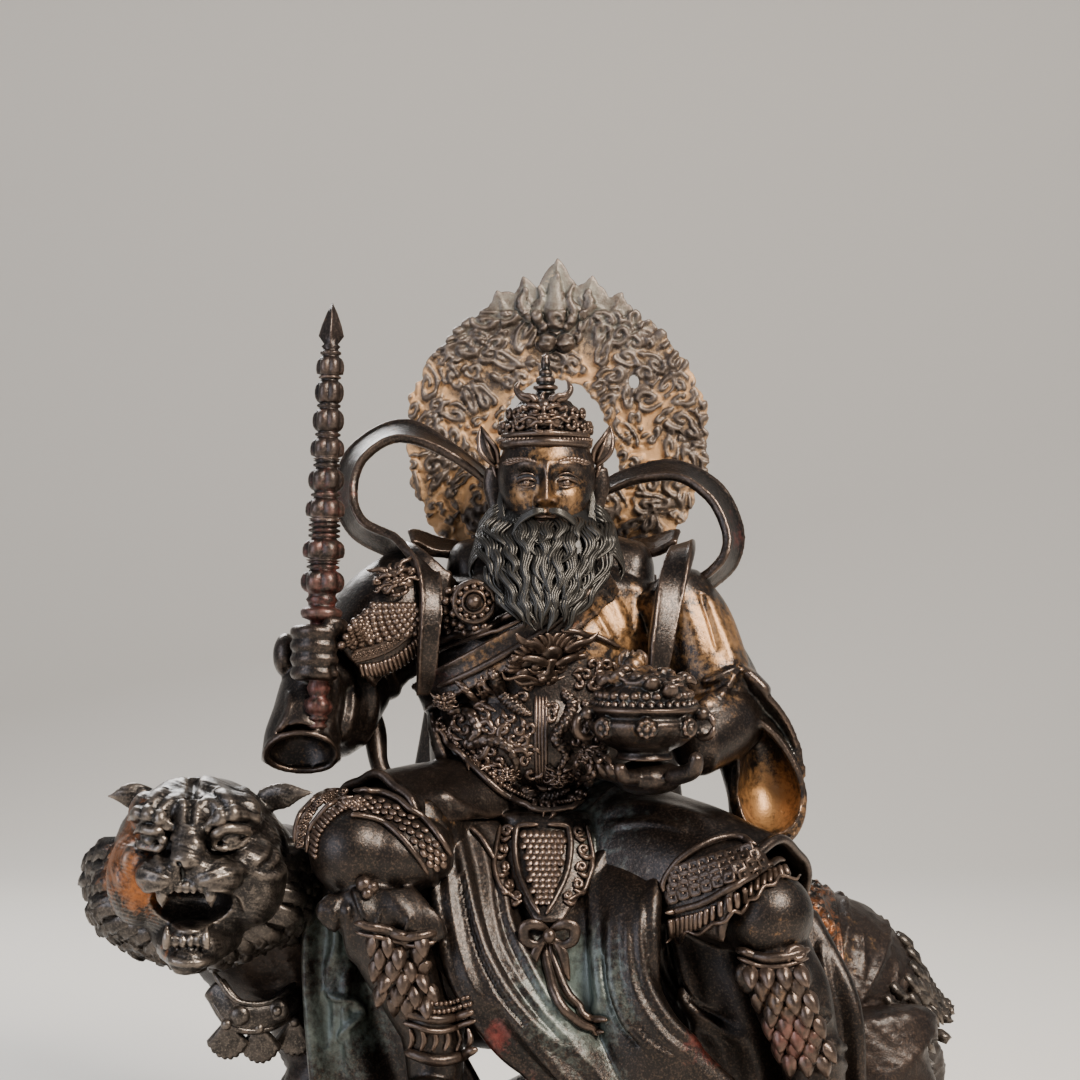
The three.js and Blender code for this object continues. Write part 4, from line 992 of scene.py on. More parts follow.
def leg_forms(hip, knee, ankle, toe):
    """A leg from hip to toe: thigh, bare knee, greave, a soft boot with its sole and two rolled cuffs, and
    seven leaves under the knee. The left knee is fuller, and a small fall of cloth hangs beside it."""
    (kx, ky, kz), (ax, ay, az) = knee, ankle
    thigh = (kx * 0.55 + hip[0] * 0.45, ky * 0.55 + hip[1] * 0.45, (hip[2] + kz) / 2 + 3)
    shin = (kx + (ax - kx) * 0.4, ay - 2, kz + (az - kz) * 0.45)
    x, y, z = ankle
    instep = ((x + toe[0]) / 2, (y + toe[1]) / 2, toe[2] - 1)
    sole = [
        (x, y + 4, toe[2] - 2.6), ((x + toe[0]) / 2, (y + toe[1]) / 2, toe[2] - 3.2),
        (toe[0], toe[1] + 0.6, toe[2] - 2.2)
    ]
    made = [
        limb([hip, thigh, knee], (17, 14, 11), (15, 13, 11)),
        ball(knee, (10.2, 10.0, 10.0), 48, 32),
        limb([(kx + 1, ky, kz - 6), shin, ankle], (8.2, 8.4, 6.2), (8, 8.2, 6.2)),
        limb([(x - 1, y, z + 6), (x, y, z - 4), (x, y, z - 10)], (7.2, 6.4, 5.8), (7.2, 6.6, 6.2)),
        limb([(x, y + 4, toe[2] - 0.5), instep, toe], (5.8, 5.8, 4.3), (4.3, 3.8, 3.2), up=FLAT),
        limb(sole, (6.2, 5.4, 4.6), (1.5, 1.3, 1.2), up=FLAT),
        strand(
            [(ax - 8.2, ay, az + 4), (ax - 1, ay - 6.4, az + 5.5), (ax + 6.4, ay, az + 3)], (1.6, 2.2, 1.8), 16,
            30
        ),
        strand(
            [(ax - 8.0, ay, az + 8), (ax - 1, ay - 7, az + 9.3), (ax + 6.8, ay, az + 7)], (1.2, 1.4, 1.2), 16,
            30
        ),
        ball((toe[0], toe[1] + 1, toe[2] + 1.4), (3.0, 2.4, 2.6)),
    ]
    if kx < 0:
        made.append(ball((kx + 7, ky + 3.0, kz - 1.0), (13.5, 11.6, 9.6), 60, 40))
        made.append(drape(
            [(-41, -50, 95), (-39, -52, 90), (-35, -51, 84.6)],
            [(-27, -48, 95), (-23, -50, 90), (-20, -49, 82.6)],
            1.5, 1.1, 2.2, 1.0, 2.0, 60, 40
        ))
    for i in range(7):
        a = -2.6 + 0.72 * i
        made.append(strand([(kx + 1 + 5.4 * np.sin(a * 0.6), ky - 6.4, kz - 8.6),
                            (kx + 1 + 7.5 * np.sin(a * 0.6), ky - 7.6, kz - 12),
                            (kx + 1 + 6.2 * np.sin(a * 0.6 + 0.25), ky - 6.6, kz - 16.5)], (1.0, 1.6, 0.5), 12,
                            16,
                            DEEP))
    return made


def bow_forms():
    """The bow under the belly: two loops and two short ends from a knot."""
    made = []
    for s in (-1, 1):
        loop = [
            (2, -42.6, 84.6), (2 + 3.2 * s, -43.9, 86.2), (2 + 5.4 * s, -43.9, 85.4),
            (2 + 5.2 * s, -43.5, 82.6),
            (2 + 2.6 * s, -43.2, 81.6), (2 + 0.6 * s, -43, 83.2)
        ]
        made.append(
            limb(loop, (0.8, 1.2, 1.3, 1.2, 1.0, 0.7), (0.6, 0.75, 0.8, 0.75, 0.6, 0.5), 18, 60, 0.2, DEEP)
        )
        made.append(limb(
            [
                (2 + 1.2 * s, -43, 82.6), (2 + 3.0 * s, -43.4, 79.8), (2 + 3.6 * s, -43.2, 76.6),
                (2 + 4.4 * s, -43, 73.6)
            ],
            (0.8, 1.1, 1.0, 0.4), (0.5, 0.6, 0.5, 0.3), 16, 30, 0.2, DEEP
        ))
    made.append(ball((2, -44.2, 83.6), (1.5, 1.3, 1.7)))
    return made


def skirt_forms():
    """The robe from the hips down: two falls in front with a panel between, one at each flank, the coat's tails
    behind, and the thighs' bulk under them."""
    left_fall = drape(
        [(-30, -25, 112), (-24, -38, 92), (-20, -44, 76), (-11, -46, 62), (6, -46, 46)],
        [(-6, -22, 106), (-2, -32, 90), (4, -40, 76), (14, -46, 60), (30, -48, 38)],
        2.5, 1.0, 4, 3, 2, 130, 90)
    right_fall = drape(
        [(8, -13, 106), (11, -33, 92), (11, -42, 74), (15, -46, 58), (22, -48, 44)],
        [(34, -17, 104), (26, -40, 92), (26, -46, 74), (36, -48, 60), (52, -46, 47)],
        1, 0.7, 4, 4, 2, 130, 90)
    middle = drape(
        [(-8, -22, 104), (-6, -36, 80), (-2, -43, 38)], [(16, -24, 104), (20, -38, 80), (28, -44, 36)], 1, 0.5,
        8
    )
    flank_left = drape([(-52, -30, 97), (-53, -33, 74), (-50, -34, 38)],
                       [(-28, -20, 98), (-26, -26, 74), (-6, -30, 38)],
                       3, 1.6, 6, 0, 2.0)
    flank_right = drape([(26, -26, 96), (32, -31, 66), (40, -32, 38)],
                        [(63, -20, 86), (72, -28, 66), (73, -28, 40)],
                        3, 1.6, 6, 0, 2.0)
    tails = drape([(-34, 21, 100), (-37, 32, 82), (-35, 41, 64)], [(36, 21, 100), (39, 32, 82), (37, 41, 64)],
                  4, -1.4, 7, 0, 2, 120, 60)
    return [
        ball((2, 2, 96), (33, 24, 15), 60, 40), ball((2, 14, 92), (34, 22, 16), 60, 40),
        left_fall, right_fall, middle, flank_left, flank_right, tails,
        limb([(-48, -18, 92), (-40, -14, 76), (-28, -12, 60)], (10, 12, 10), (12, 14, 12)),
        limb([(30, -12, 88), (42, -14, 70), (52, -14, 56)], (14, 16, 12), (14, 14, 12)),
    ]


FOLDS = [
    drawn(
        [(370, 800), (410, 795), (437, 823), (446, 867), (451, 911), (460, 954), (475, 990), (498, 1012)], 14.0,
        1.51
    ),
    drawn([(451, 812), (463, 867), (472, 911), (486, 954), (512, 998), (547, 1036), (591, 1068)], 10.8, 0.96),
    drawn([(474, 826), (486, 867), (492, 911), (504, 954), (533, 1001), (576, 1053)], 9.5, 0.88),
    drawn([(496, 860), (504, 896), (510, 925), (527, 960), (550, 1001), (574, 1030)], 9.0, 0.98),
    drawn([(469, 828), (480, 838), (492, 856)], 6.0, 0.75),
    drawn(
        [
            (648, 812), (622, 832), (601, 860), (592, 884), (592, 926), (597, 977), (600, 1002), (592, 1015),
            (580, 1018)
        ],
        8.0, 0.96
    ),
    drawn([(612, 905), (610, 945), (613, 985), (626, 1022), (650, 1047), (684, 1066)], 9.5, 0.80),
    drawn([(628, 915), (628, 955), (636, 995), (660, 1034), (690, 1060)], 9.0, 0.72),
    drawn([(644, 895), (640, 940), (648, 985), (672, 1024), (706, 1050)], 9.5, 0.88),
    drawn(
        [(692, 826), (668, 848), (657, 876), (653, 926), (661, 968), (684, 1003), (718, 1028), (752, 1044)],
        10.5,
        1.52
    ),
    drawn([(428, 850), (436, 900), (444, 950), (458, 1000), (486, 1040), (520, 1075)], 9.0, 0.98),
    drawn([(458, 850), (466, 900), (478, 950), (500, 995), (530, 1030)], 4.2, -0.90),
    drawn([(604, 950), (606, 985), (618, 1022), (642, 1050)], 4.0, -0.6),
    drawn([(669, 880), (666, 930), (674, 972), (696, 1004), (726, 1022)], 4.8, -0.8),
    drawn([(330, 905), (336, 940), (328, 975), (336, 1010), (330, 1060)], 8.0, 0.98),
    drawn([(322, 985), (335, 998), (352, 1002), (360, 1014), (348, 1028), (336, 1046)], 8.0, 1.60),
    drawn([(345, 905), (350, 960), (344, 1010), (352, 1070)], 8.0, 0.86),
    drawn([(820, 940), (826, 980), (834, 1020), (840, 1070)], 8.0, 0.86),
]
SHINS = [
    drawn([(383, 905), (375, 930), (380, 955), (394, 960), (398, 945), (388, 938)], 3, 0.8),
    drawn([(410, 915), (405, 940), (418, 955), (428, 945), (422, 932)], 3, 0.8),
    drawn([(370, 960), (384, 975), (402, 972), (420, 978), (432, 968)], 3, 0.8),
    drawn([(376, 985), (396, 995), (420, 990)], 3, 0.7),
    drawn([(770, 985), (784, 1000), (800, 992), (796, 978), (784, 984)], 3, 0.8),
    drawn([(812, 990), (806, 1012), (818, 1028), (830, 1016), (822, 1004)], 3, 0.8),
    drawn([(772, 1020), (788, 1038), (806, 1034), (826, 1044)], 3, 0.8),
    drawn([(776, 1055), (796, 1068), (820, 1062)], 3, 0.7),
]
robe_points, robe_faces = fused([*skirt_forms(), *leg_forms(*LEGS[0]), *leg_forms(*LEGS[1])], 0.5, 2)
robe_points, _ = raised(robe_points, robe_faces, FOLDS + SHINS, robe_points[:, 2] < 112)


def lining(points):
    """Red lacquer on the linings that the falls turn out, low between them and at the right of the second."""
    return blobs(
        points,
        [
            ((-9, -45, 62), 6, 0.95), ((-3, -44, 49), 8, 0.8), ((36, -46, 62), 9, 0.7),
            ((-41, -40, 92), 4, 0.8),
            ((54, -42, 62), 9, 0.6)
        ]
    )


def hollows(points):
    """Grey-green paint in the robe's middle panel and on the hanging cloth at the left."""
    return blobs(
        points,
        [
            ((8, -42, 70), 14, 0.8), ((-45, -34, 82), 12, 0.55), ((-46, -36, 62), 14, 0.6),
            ((12, -45, 54), 11, 0.35)
        ]
    )


def falls_gilding(points):
    """Worn gilding on the falls that catch the light and on the greaves."""
    return blobs(points, [((-27, -34, 106), 11, 0.36), (KNEE_LEFT, 9, 0.12), (KNEE_RIGHT, 11, 0.3)])


# Dark brown patina over cast brass, rubbed to copper-brown metal on the high spots, with worn leaf gilding,
# cold green-grey paint in the hollows and rubbed red lacquer.
dark_brass = patina(
    "dark_patinated_gilt_brass", ("#140f0c", "#271f1a"), "#7a6557", "#9a7247", "#4e5953", "#5c1d16",
    (0.17, 0.44)
)
# The robe and legs carry the same patina, left satin and a little darker, as cloth that hands don't rub.
satin_brass = patina(
    "satin_dark_patinated_brass", ("#120e0b", "#221a16"), "#75604f", "#9a7247", "#4e5953", "#5c1d16",
    (0.26, 0.52)
)
piece("god_robe", (robe_points, robe_faces), 80000, satin_brass, "god",
      {"gilt": falls_gilding, "green": hollows, "red": lining}, 0.2)


# The god's trunk and arms in their armour: a robe crossed by a lapel band, a belly guard with its rolled hem,
# thigh guards, a shoulder guard with a wide hollow cuff on the rod's side and a wide hanging sleeve on the
# bowl's.
def guard(start, end, radii, span, hem=0.6, lobes=7, lift=0.0):
    """A surface over a limb's axis: place(u, v, out), u round it over `span` in half turns, v along it; the hem
    swells by hem v² cos(π lobes u)."""
    way = unit(np.subtract(end, start).astype(float))
    side = unit(np.cross(way, FLAT))
    above = unit(np.cross(side, way))

    def place(u, v, out):
        angle = (span[0] + (span[1] - span[0]) * u) * np.pi
        radius = along(radii, v) + out + lift + hem * v**2 * np.cos(np.pi * lobes * u)
        middle = curve([start, end], v)
        return middle + side * (radius * np.cos(angle))[..., None] + above * (radius * np.sin(angle))[..., None]

    return place


def shell(place, thick, across=120, down=50):
    """A closed shell `thick` mm through on a surface."""
    return plate(across, down, lambda u, v, w: place(u, v, w * thick))


SHOULDER = guard((-24, 0, 163), (-45, -6, 141), (9.5, 12, 10.5), (0.05, 1.2), 0.5, 6)
TASSET_LEFT = guard((-14, -8, 104), (-37, -33, 103.5), (16, 14.6, 13.6), (-0.02, 0.92))
TASSET_RIGHT = guard((14, -8, 98), (50.5, -39.5, 88.4), (17, 17, 15), (-0.12, 1))


def trunk_forms():
    """The trunk, the shoulders, the belly guard with its hem, the lapel band with its medallion, and the
    belt."""
    made = [
        limb([(1, 5, 86), (-1, 3, 104), (-0.5, 0, 124), (1, 1, 144), (2, 3, 158), (2, 3, 168)],
             (28, 24, 25.5, 27, 27, 12), (20, 17, 19.5, 18, 14, 9), 72, 90, 0.1),
        limb([(-22, 4, 160), (2, 6, 163.5), (27, 4, 160)], (8, 8, 8), (9, 10, 9), 40, 50, up=FLAT),
        ball((-0.5, -3, 124), (24.5, 18.6, 18), 72, 50),
        band([(-25.5, -7, 131), (-22, -14, 120), (-13, -19.5, 110), (1, -21, 106), (14, -19, 109),
              (24, -11, 116)],
             (3, 3.4, 3.4, 3.4, 3.4, 3),
             [(0.3, -0.6, 1), (0.3, -0.3, 1), (0.2, -0.2, 1), (0, -0.2, 1), (-0.2, -0.2, 1), (-0.3, -0.4, 1)],
             2.4, 120, 20, 1.0),
        band([(17, -16, 161), (6, -20, 152.5), (-8, -20.5, 144.5), (-20, -17, 138), (-28, -7, 133)],
             (6.6, 8, 8.4, 8.2, 7.4),
             [(0.4, 0, 1), (0.5, 0, 1), (0.5, 0, 1), (0.4, -0.3, 1), (0.2, -0.6, 1)], 2.6, 120, 26, 1.5),
        ball((-15, -16.5, 155.5), (4.8, 2.6, 4.8), 36, 24),
    ]
    belt = [(-24, -9, 111.5), (-16, -17, 107.4), (0, -21.4, 104.4), (15, -18.4, 106.4), (25, -9, 111.4)]
    made.append(strand(belt, (1.9, 2.1, 2.1, 2.1, 1.9), 20, 80))
    return made


def rod_arm_forms():
    """The arm that holds the rod: the upper arm, the ground of its guard, a bell of a cuff and the fist."""
    bell = merged([
        limb(
            [(-40, 5, 138), (-46, 0, 133), (-50, -5, 127), (-52, -8, 122)], (8, 10, 10, 8), (10, 11, 10, 8), 56,
            60
        ),
        limb(
            [(-47, -2, 141), (-51.5, -9, 138), (-53.5, -14, 131), (-54.4, -17, 124), (-54.4, -18.6, 118.4)],
            (7, 7.4, 7.6, 8.8, 9.4), (9, 8.4, 8, 8.4, 7), 60, 70, 0.12
        ),
    ])
    sleeve = cut_out(
        fused([bell], 0.6, 2),
        limb(
            [(-54.2, -20.4, 128), (-54.4, -22, 121.5), (-54.6, -23, 114)], (5.0, 7.9, 9.0), (5.6, 6.6, 8.0), 48,
            40,
            0.4
        )
    )
    lip = [
        (
            -54 + 8.3 * np.cos(a), -20.6 - 3.6 * np.sin(a),
            121.0 + 5.4 * np.sin(a) * (1 if np.sin(a) > 0 else 0.7)
        )
        for a in np.linspace(0.2, 6.1, 11)
    ]
    made = [
        sleeve,
        strand(lip, (0.5, 0.8, 0.8, 0.9, 0.9, 0.8, 0.8, 0.5), 12, 80),
        ball((-58.6, -12, 143.4), (3.0, 4.4, 5.2), 32, 24),
        limb([(-24, 2, 160), (-34, 3, 147), (-44, 4, 135)], (10, 9, 8.5), (10, 9.5, 9), 48, 50),
        shell(SHOULDER, 2.0),
        strand([(-45, 4, 133), (-50, -8, 139), (-52, -17, 143)], (6, 5.0, 4.4), 32, 40),
        ball((-51.5, -19, 144), (5.0, 4.9, 6.6), 36, 26),
    ]
    for i in range(4):
        z = 149 - 3.1 * i
        made.append(strand([(-55.6, -18.6, z + 0.2), (-54.6, -23, z + 0.1), (-51.4, -25.2, z + 0.4),
                            (-47.6, -24, z),
                            (-46.6, -21.2, z - 0.2)],
                           (1.5, 1.75, 1.75, 1.7, 1.3), 18, 36))
    made.append(strand(
        [(-46.4, -15, 145.6), (-44.8, -19, 149), (-46, -22.6, 151), (-49, -24.4, 151.4)], (1.9, 2.0, 1.75, 1.3),
        18,
        30
    ))
    return made


def bowl_arm_forms():
    """The arm that carries the bowl: the sleeve hangs open as a deep bag with a turned lip and a gathered
    edge."""
    bag = limb([(28, 2, 159), (35, 2, 148), (41.5, 0, 138), (46.8, -5, 127), (51.6, -9, 115), (52.5, -11, 107),
                (53, -12, 100)],
               (9, 9.4, 9, 8.2, 9, 8.8, 6.4), (10, 11, 11, 12, 13, 11, 7.4), 84, 120, 0.2)
    mouth = limb(
        [(48.6, -22, 128.5), (51.4, -22, 121), (52.6, -21.5, 112), (52.8, -20, 102.5)], (2.2, 6.2, 7.8, 5.4),
        (11, 13, 13, 9), 60, 60, 0.3
    )
    hanging = cut_out(bag, mouth)
    rim = [(44.6, -13.4, 104.4), (43.9, -15.6, 112), (44.2, -16.6, 119.6), (45.6, -16.8, 127.4),
           (49.4, -16.4, 128.6),
           (55.4, -15.4, 123.2), (59.8, -15.6, 114.6),
           (60.2, -16.2, 107.4), (57.4, -17.4, 102), (52.4, -18, 100.2), (46.8, -16.4, 101.6)]
    made = [
        hanging,
        strand(rim, (0.5, 0.7, 0.7, 0.8, 1.0, 1.0, 0.9, 0.8, 0.8, 0.7, 0.5), 14, 110),
        band([(46.2, -14.6, 138.6), (50.4, -14.8, 134), (54.6, -13.6, 128.8), (58.6, -12.4, 122.2),
              (60.6, -12.2, 115)], (5.6, 6.4, 5.6, 4.0, 2.4),
             [(0.5, -0.8, 0.3), (0.5, -0.8, 0.3), (0.5, -0.8, 0.4), (0.4, -0.9, 0.3), (0.3, -0.9, 0.2)], 1.4,
             90, 20,
             0.8, 0.5),
        limb(
            [(28, -2, 161), (35, -4, 150), (40, -8, 139), (42, -12, 130)], (8.5, 10, 9, 8), (10, 10.5, 10, 8),
            56, 60
        ),
        limb([(47, 0, 132), (42, -14, 128), (33, -27, 121.5)], (9, 8.5, 6), (9.5, 9, 6.6), 48, 50, up=FLAT),
        ball((24, -35, 117.5), (8, 8, 4), 40, 26),
        strand([(28, -42, 118), (33, -47, 120), (34, -49, 124)], (2.2, 2, 1.5), 18, 30),
    ]
    for i in range(4):
        x, y = 19 + 0.8 * i, -31 - 3.4 * i
        path = [
            (x, y, 118), (x - 4.5 + 0.6 * i, y - 2, 118.2), (x - 7.4 + 1.2 * i, y - 3.2, 119.6),
            (x - 8 + 1.4 * i, y - 3.6, 121.4)
        ]
        made.append(strand(path, (1.8, 1.75, 1.55, 1.2), 18, 34))
    for i in range(9):
        t = i / 8
        top = (38.8 + 1.6 * np.sin(5 * t), -21.8 - 2.6 * t, 134.4 - 6 * t)
        made.append(strand(
            [
                np.add(top, (3.4 - 1.2 * t, 2.6, 1.2)), top,
                np.add(top, (-3.0, -1.6, -2.4 + 1.4 * np.sin(9 * t))),
                np.add(top, (-3.8, 0.2, -6.0))
            ],
            (0.7, 1.15, 1.1, 0.5), 12, 26, DEEP
        ))
    return made


def thigh_forms():
    """The two thigh guards, each with a corded hem, and the apron between them."""
    def apron(u, v, w):
        half = 3 + 8.5 * np.sin(0.5 * np.pi * np.minimum(1, 1.3 * v)) - 1.6 * v**6
        x = half * (2 * u - 1)
        return xyz(2 + x, -41.5 + 16.5 * v**0.8 + 0.03 * x * x + w * 7, 86 + 23 * v)

    along_hem = np.linspace(0.02, 0.98, 50)
    made = [shell(TASSET_LEFT, 2.0), shell(TASSET_RIGHT, 2.0), plate(60, 60, apron)]
    for place in (TASSET_LEFT, TASSET_RIGHT):
        made.append(strand(place(along_hem, np.full(50, 0.975), np.full(50, 0.4)), (1.1, 1.25, 1.1), 12, 140))
        made.append(strand(place(along_hem, np.full(50, 0.12), np.full(50, 0.8)), (0.8, 0.9, 0.8), 12, 140))
    return made


CLOTH_LINES = [
    drawn([(706, 588), (716, 616), (728, 644), (737, 668)], 9, 0.7),
    drawn([(737, 668), (722, 675), (702, 684)], 7, 1.2),
    drawn([(737, 668), (730, 682), (720, 698)], 7, 1.1),
    drawn([(737, 668), (752, 676), (770, 694)], 7, 1.0),
    drawn([(684, 600), (694, 632), (700, 660)], 10, 0.4),
    drawn([(700, 592), (710, 622), (718, 652)], 4, -0.6),
    drawn([(600, 585), (616, 606), (628, 636)], 9, 0.6),
    drawn([(584, 596), (600, 620), (614, 646)], 6, 0.5),
    drawn([(640, 580), (640, 610), (636, 640)], 7, 0.5),
    drawn([(452, 560), (446, 590), (440, 620)], 5, 0.5),
    drawn([(344, 664), (352, 690), (350, 720), (338, 746)], 8, 0.9),
    drawn([(364, 664), (374, 692), (372, 724), (360, 748)], 7, 0.9),
    drawn([(386, 658), (396, 684), (394, 712)], 7, 0.8),
    drawn([(290, 690), (288, 712), (276, 736)], 6, 0.6),
    drawn([(332, 660), (334, 700), (322, 736)], 5, -0.5),
    drawn([(408, 650), (414, 676), (408, 700)], 6, 0.6),
    drawn([(440, 790), (462, 806), (492, 816), (520, 818)], 6, 0.7),
    drawn([(600, 812), (640, 806), (680, 812), (716, 826)], 10, 0.9),
    drawn([(610, 826), (650, 822), (690, 830)], 7, 0.6),
]
coat_points, coat_faces = fused([*trunk_forms(), *rod_arm_forms(), *bowl_arm_forms(), *thigh_forms()], 0.45, 2)
coat_points, _ = raised(coat_points, coat_faces, CLOTH_LINES, coat_points[:, 2] > 96)


def coat_gilding(points):
    """Leaf gilding that is left on the chest, in both sleeves' mouths and on the guards."""
    return blobs(points, [((20, -14, 150), 14, 0.52), ((53, -8, 108), 13, 0.74), ((40, -10, 147), 14, 0.6),
                          ((-12, -21, 150), 9, 0.34), ((37, -18, 132), 9, 0.45), ((-12, -20, 142), 10, 0.3),
                          ((-54, -18, 120), 8, 0.3),
                          ((40, -28, 92), 16, 0.3), ((-40, -4, 146), 9, 0.3)])


def coat_lacquer(points):
    """Red lacquer on the lapel band and round the chest."""
    return blobs(points, [((6, -20, 152.5), 9, 0.35), ((-8, -20.5, 144.5), 6, 0.3), ((-22, -17, 137), 8, 0.4)])


piece("god_coat", (coat_points, coat_faces), 86000, dark_brass, "god",
      {
          "gilt": coat_gilding, "green": lambda p: 0.1 + blobs(p, [((14, -18, 100), 14, 0.5)]),
          "red": coat_lacquer
      },
      0.85)


# The god's armour in relief: cast and chased ornament on the coat, the guards and the apron. A horned beast
# mask stands over twin dragons among clouds; the guards carry scales, studs and pleated fringes.
MAP_HALF = 120.0
MAP_CELL = 0.6


def depth_of(points):
    """The nearest skin in cells of the photograph's view: least y in each, spread over gaps, a little
    blurred."""
    size = int(2 * MAP_HALF / MAP_CELL) + 1
    grid = np.full((size, size), np.inf)
    at = np.floor((on_photo(points) + MAP_HALF) / MAP_CELL).astype(int)
    inside = np.all((at >= 0) & (at < size), axis=1)
    np.minimum.at(grid, tuple(at[inside].T), points[inside, 1])
    moves = ((1, 0), (-1, 0), (0, 1), (0, -1))
    for _ in range(14):
        grid = np.where(np.isinf(grid), np.min([np.roll(grid, m, (0, 1)) for m in moves], axis=0), grid)
    grid[np.isinf(grid)] = 30.0
    for _ in range(3):
        near = np.min([np.roll(grid, m, (0, 1)) for m in moves], axis=0)
        grid = np.where(grid > near + 1.6, near, grid)
    for _ in range(2):
        grid = 0.4 * grid + 0.15 * sum(np.roll(grid, m, (0, 1)) for m in moves)
    return grid


def laid(depths, pixels, lift=0.0):
    """Points on the skin seen at pixels of the photograph, raised by `lift` along the normals, and the
    normals."""
    flat = np.array([spot(*p) for p in pixels])
    at = (flat + MAP_HALF) / MAP_CELL - 0.5
    low = np.clip(np.floor(at).astype(int), 0, len(depths) - 2)
    f = np.clip(at - low, 0, 1)
    a, b = depths[low[:, 0], low[:, 1]], depths[low[:, 0] + 1, low[:, 1]]
    c, d = depths[low[:, 0], low[:, 1] + 1], depths[low[:, 0] + 1, low[:, 1] + 1]
    y = (a * (1 - f[:, 0]) + b * f[:, 0]) * (1 - f[:, 1]) + (c * (1 - f[:, 0]) + d * f[:, 0]) * f[:, 1]
    across, up = (b - a + d - c) / (2 * MAP_CELL), (c - a + d - b) / (2 * MAP_CELL)
    out = unit(xyz(np.clip(across, -1.2, 1.2), -np.ones(len(y)), np.clip(up, -1.2, 1.2)))
    near = (EYE_DISTANCE + y) / EYE_DISTANCE
    return xyz(flat[:, 0] * near, y, EYE_HEIGHT + flat[:, 1] * near) + out * lift, out


def set_on(form, places, ways, outs, sizes):
    """Copies of a small form: its y runs along `ways`, its z along `outs` and its x square to both."""
    points, faces = form
    outs = unit(outs)
    sides = unit(np.cross(ways, outs))
    ways = np.cross(outs, sides)
    grow = np.broadcast_to(np.asarray(sizes, float), len(places))[:, None, None]
    x, y, z = points[:, 0, None], points[:, 1, None], points[:, 2, None]
    turned = x * sides[:, None] + y * ways[:, None] + z * outs[:, None]
    rows = faces[None] + len(points) * np.arange(len(places))[:, None, None]
    return (places[:, None] + grow * turned).reshape(-1, 3), rows.reshape(-1, 3)


def cord(depths, pixels, radii, lift, sides=8, density=1.6, swell=None):
    """A round moulding drawn on the photograph's view and laid on the skin; radii in mm."""
    flat = np.asarray(pixels, float)
    run = curve(flat, np.linspace(0, 1, 4 * len(flat)))
    length = np.linalg.norm(np.diff(run, axis=0), axis=1).sum() * PHOTO_MM
    places, _ = laid(depths, run, lift)
    radii = (radii,) * 3 if isinstance(radii, float) else radii
    return strand(places, radii, sides, max(10, int(length * density)), DEEP, swell)


def studded(depths, pixels, form, sizes, lift, way=(0, 0, -1)):
    """Copies of a small form laid at pixels of the photograph."""
    places, outs = laid(depths, pixels, lift)
    return set_on(form, places, np.broadcast_to(np.asarray(way, float), places.shape), outs, sizes)


def row_of(depths, pixels, number, form, size, lift):
    """Copies at even steps of a line drawn on the photograph, turned along it."""
    t = (np.arange(number) + 0.5) / number
    run = curve(pixels, t)
    places, outs = laid(depths, run, lift)
    ahead, _ = laid(depths, curve(pixels, np.minimum(t + 0.01, 1.0)), lift)
    back, _ = laid(depths, curve(pixels, np.maximum(t - 0.01, 0.0)), lift)
    return set_on(form, places, unit(ahead - back), outs, size)


def fringe(depths, top, hem, number, thick, lift):
    """Round pleats side by side from one drawn line to another."""
    t = (np.arange(number) + 0.5) / number
    made = []
    for a, b in zip(curve(top, t), curve(hem, t)):
        made.append(cord(depths, [a, (a + b) / 2, b], (thick, thick, thick * 0.8), lift, 8, 2.5))
    return made


def quad(corners, across, down, stagger=0.5):
    """Staggered places in a four-cornered patch of the photograph: top left, top right, lower right, lower
    left."""
    a, b, c, d = (np.asarray(p, float) for p in corners)
    made = []
    for j in range(down):
        v = (j + 0.5) / down
        for i in range(across + (j % 2 if stagger else 0)):
            u = (i + 0.5 - (stagger if j % 2 else 0)) / across
            if 0 <= u <= 1:
                made.append((a * (1 - u) + b * u) * (1 - v) + (d * (1 - u) + c * u) * v)
    return made


def within(outline, points):
    """Whether points lie inside a closed outline: a ray to the right of one crosses it an odd number of
    times."""
    ring = np.asarray(outline, float)
    count = np.zeros(len(points), int)
    for a, b in zip(ring, np.roll(ring, -1, 0)):
        level = (a[1] > points[:, 1]) != (b[1] > points[:, 1])
        cross = a[0] + (points[:, 1] - a[1]) * (b[0] - a[0]) / (b[1] - a[1] + 1e-9)
        count += level & (points[:, 0] < cross)
    return count % 2 == 1


BEAD = ball((0, 0, 0), (1, 1, 0.9), 10, 7)


def fish_scale():
    """A round scale whose free end stands away, with a rib down its middle."""
    points, faces = ball((0, 0, 0), (0.56, 0.66, 0.24), 14, 8)
    lifted = points + xyz(
        0 * points[:, 0], 0 * points[:, 0],
        0.34 * points[:, 1] + 0.1 * np.exp(-((points[:, 0] / 0.12) ** 2)) * (points[:, 2] > 0)
    )
    return lifted, faces


def square_stud(lobed=True):
    """A square plaque with a rolled rim, a button and, where asked for, four lobes."""
    def place(angle, t):
        square = 1 / np.maximum(np.abs(np.cos(angle)), np.abs(np.sin(angle))) ** 0.75
        ring = np.interp(t, (0, 0.3, 0.42, 0.5, 0.62, 0.8, 1), (0, 0.3, 0.4, 0.47, 0.5, 0.46, 0)) * square
        rise = np.interp(t, (0, 0.3, 0.42, 0.5, 0.62, 0.8, 1), (0.12, 0.1, 0.22, 0.24, 0.08, -0.2, -0.2))
        return xyz(ring * np.cos(angle), ring * np.sin(angle), rise)

    lobes = [
        ball((0.17 * c, 0.17 * s, 0.16), (0.13, 0.13, 0.11), 8, 6) for c in (-1, 1) for s in (-1, 1)
    ] if lobed else []
    return merged([molded(20, 12, place), *lobes, ball((0, 0, 0.2), (0.1, 0.1, 0.12), 8, 6)])


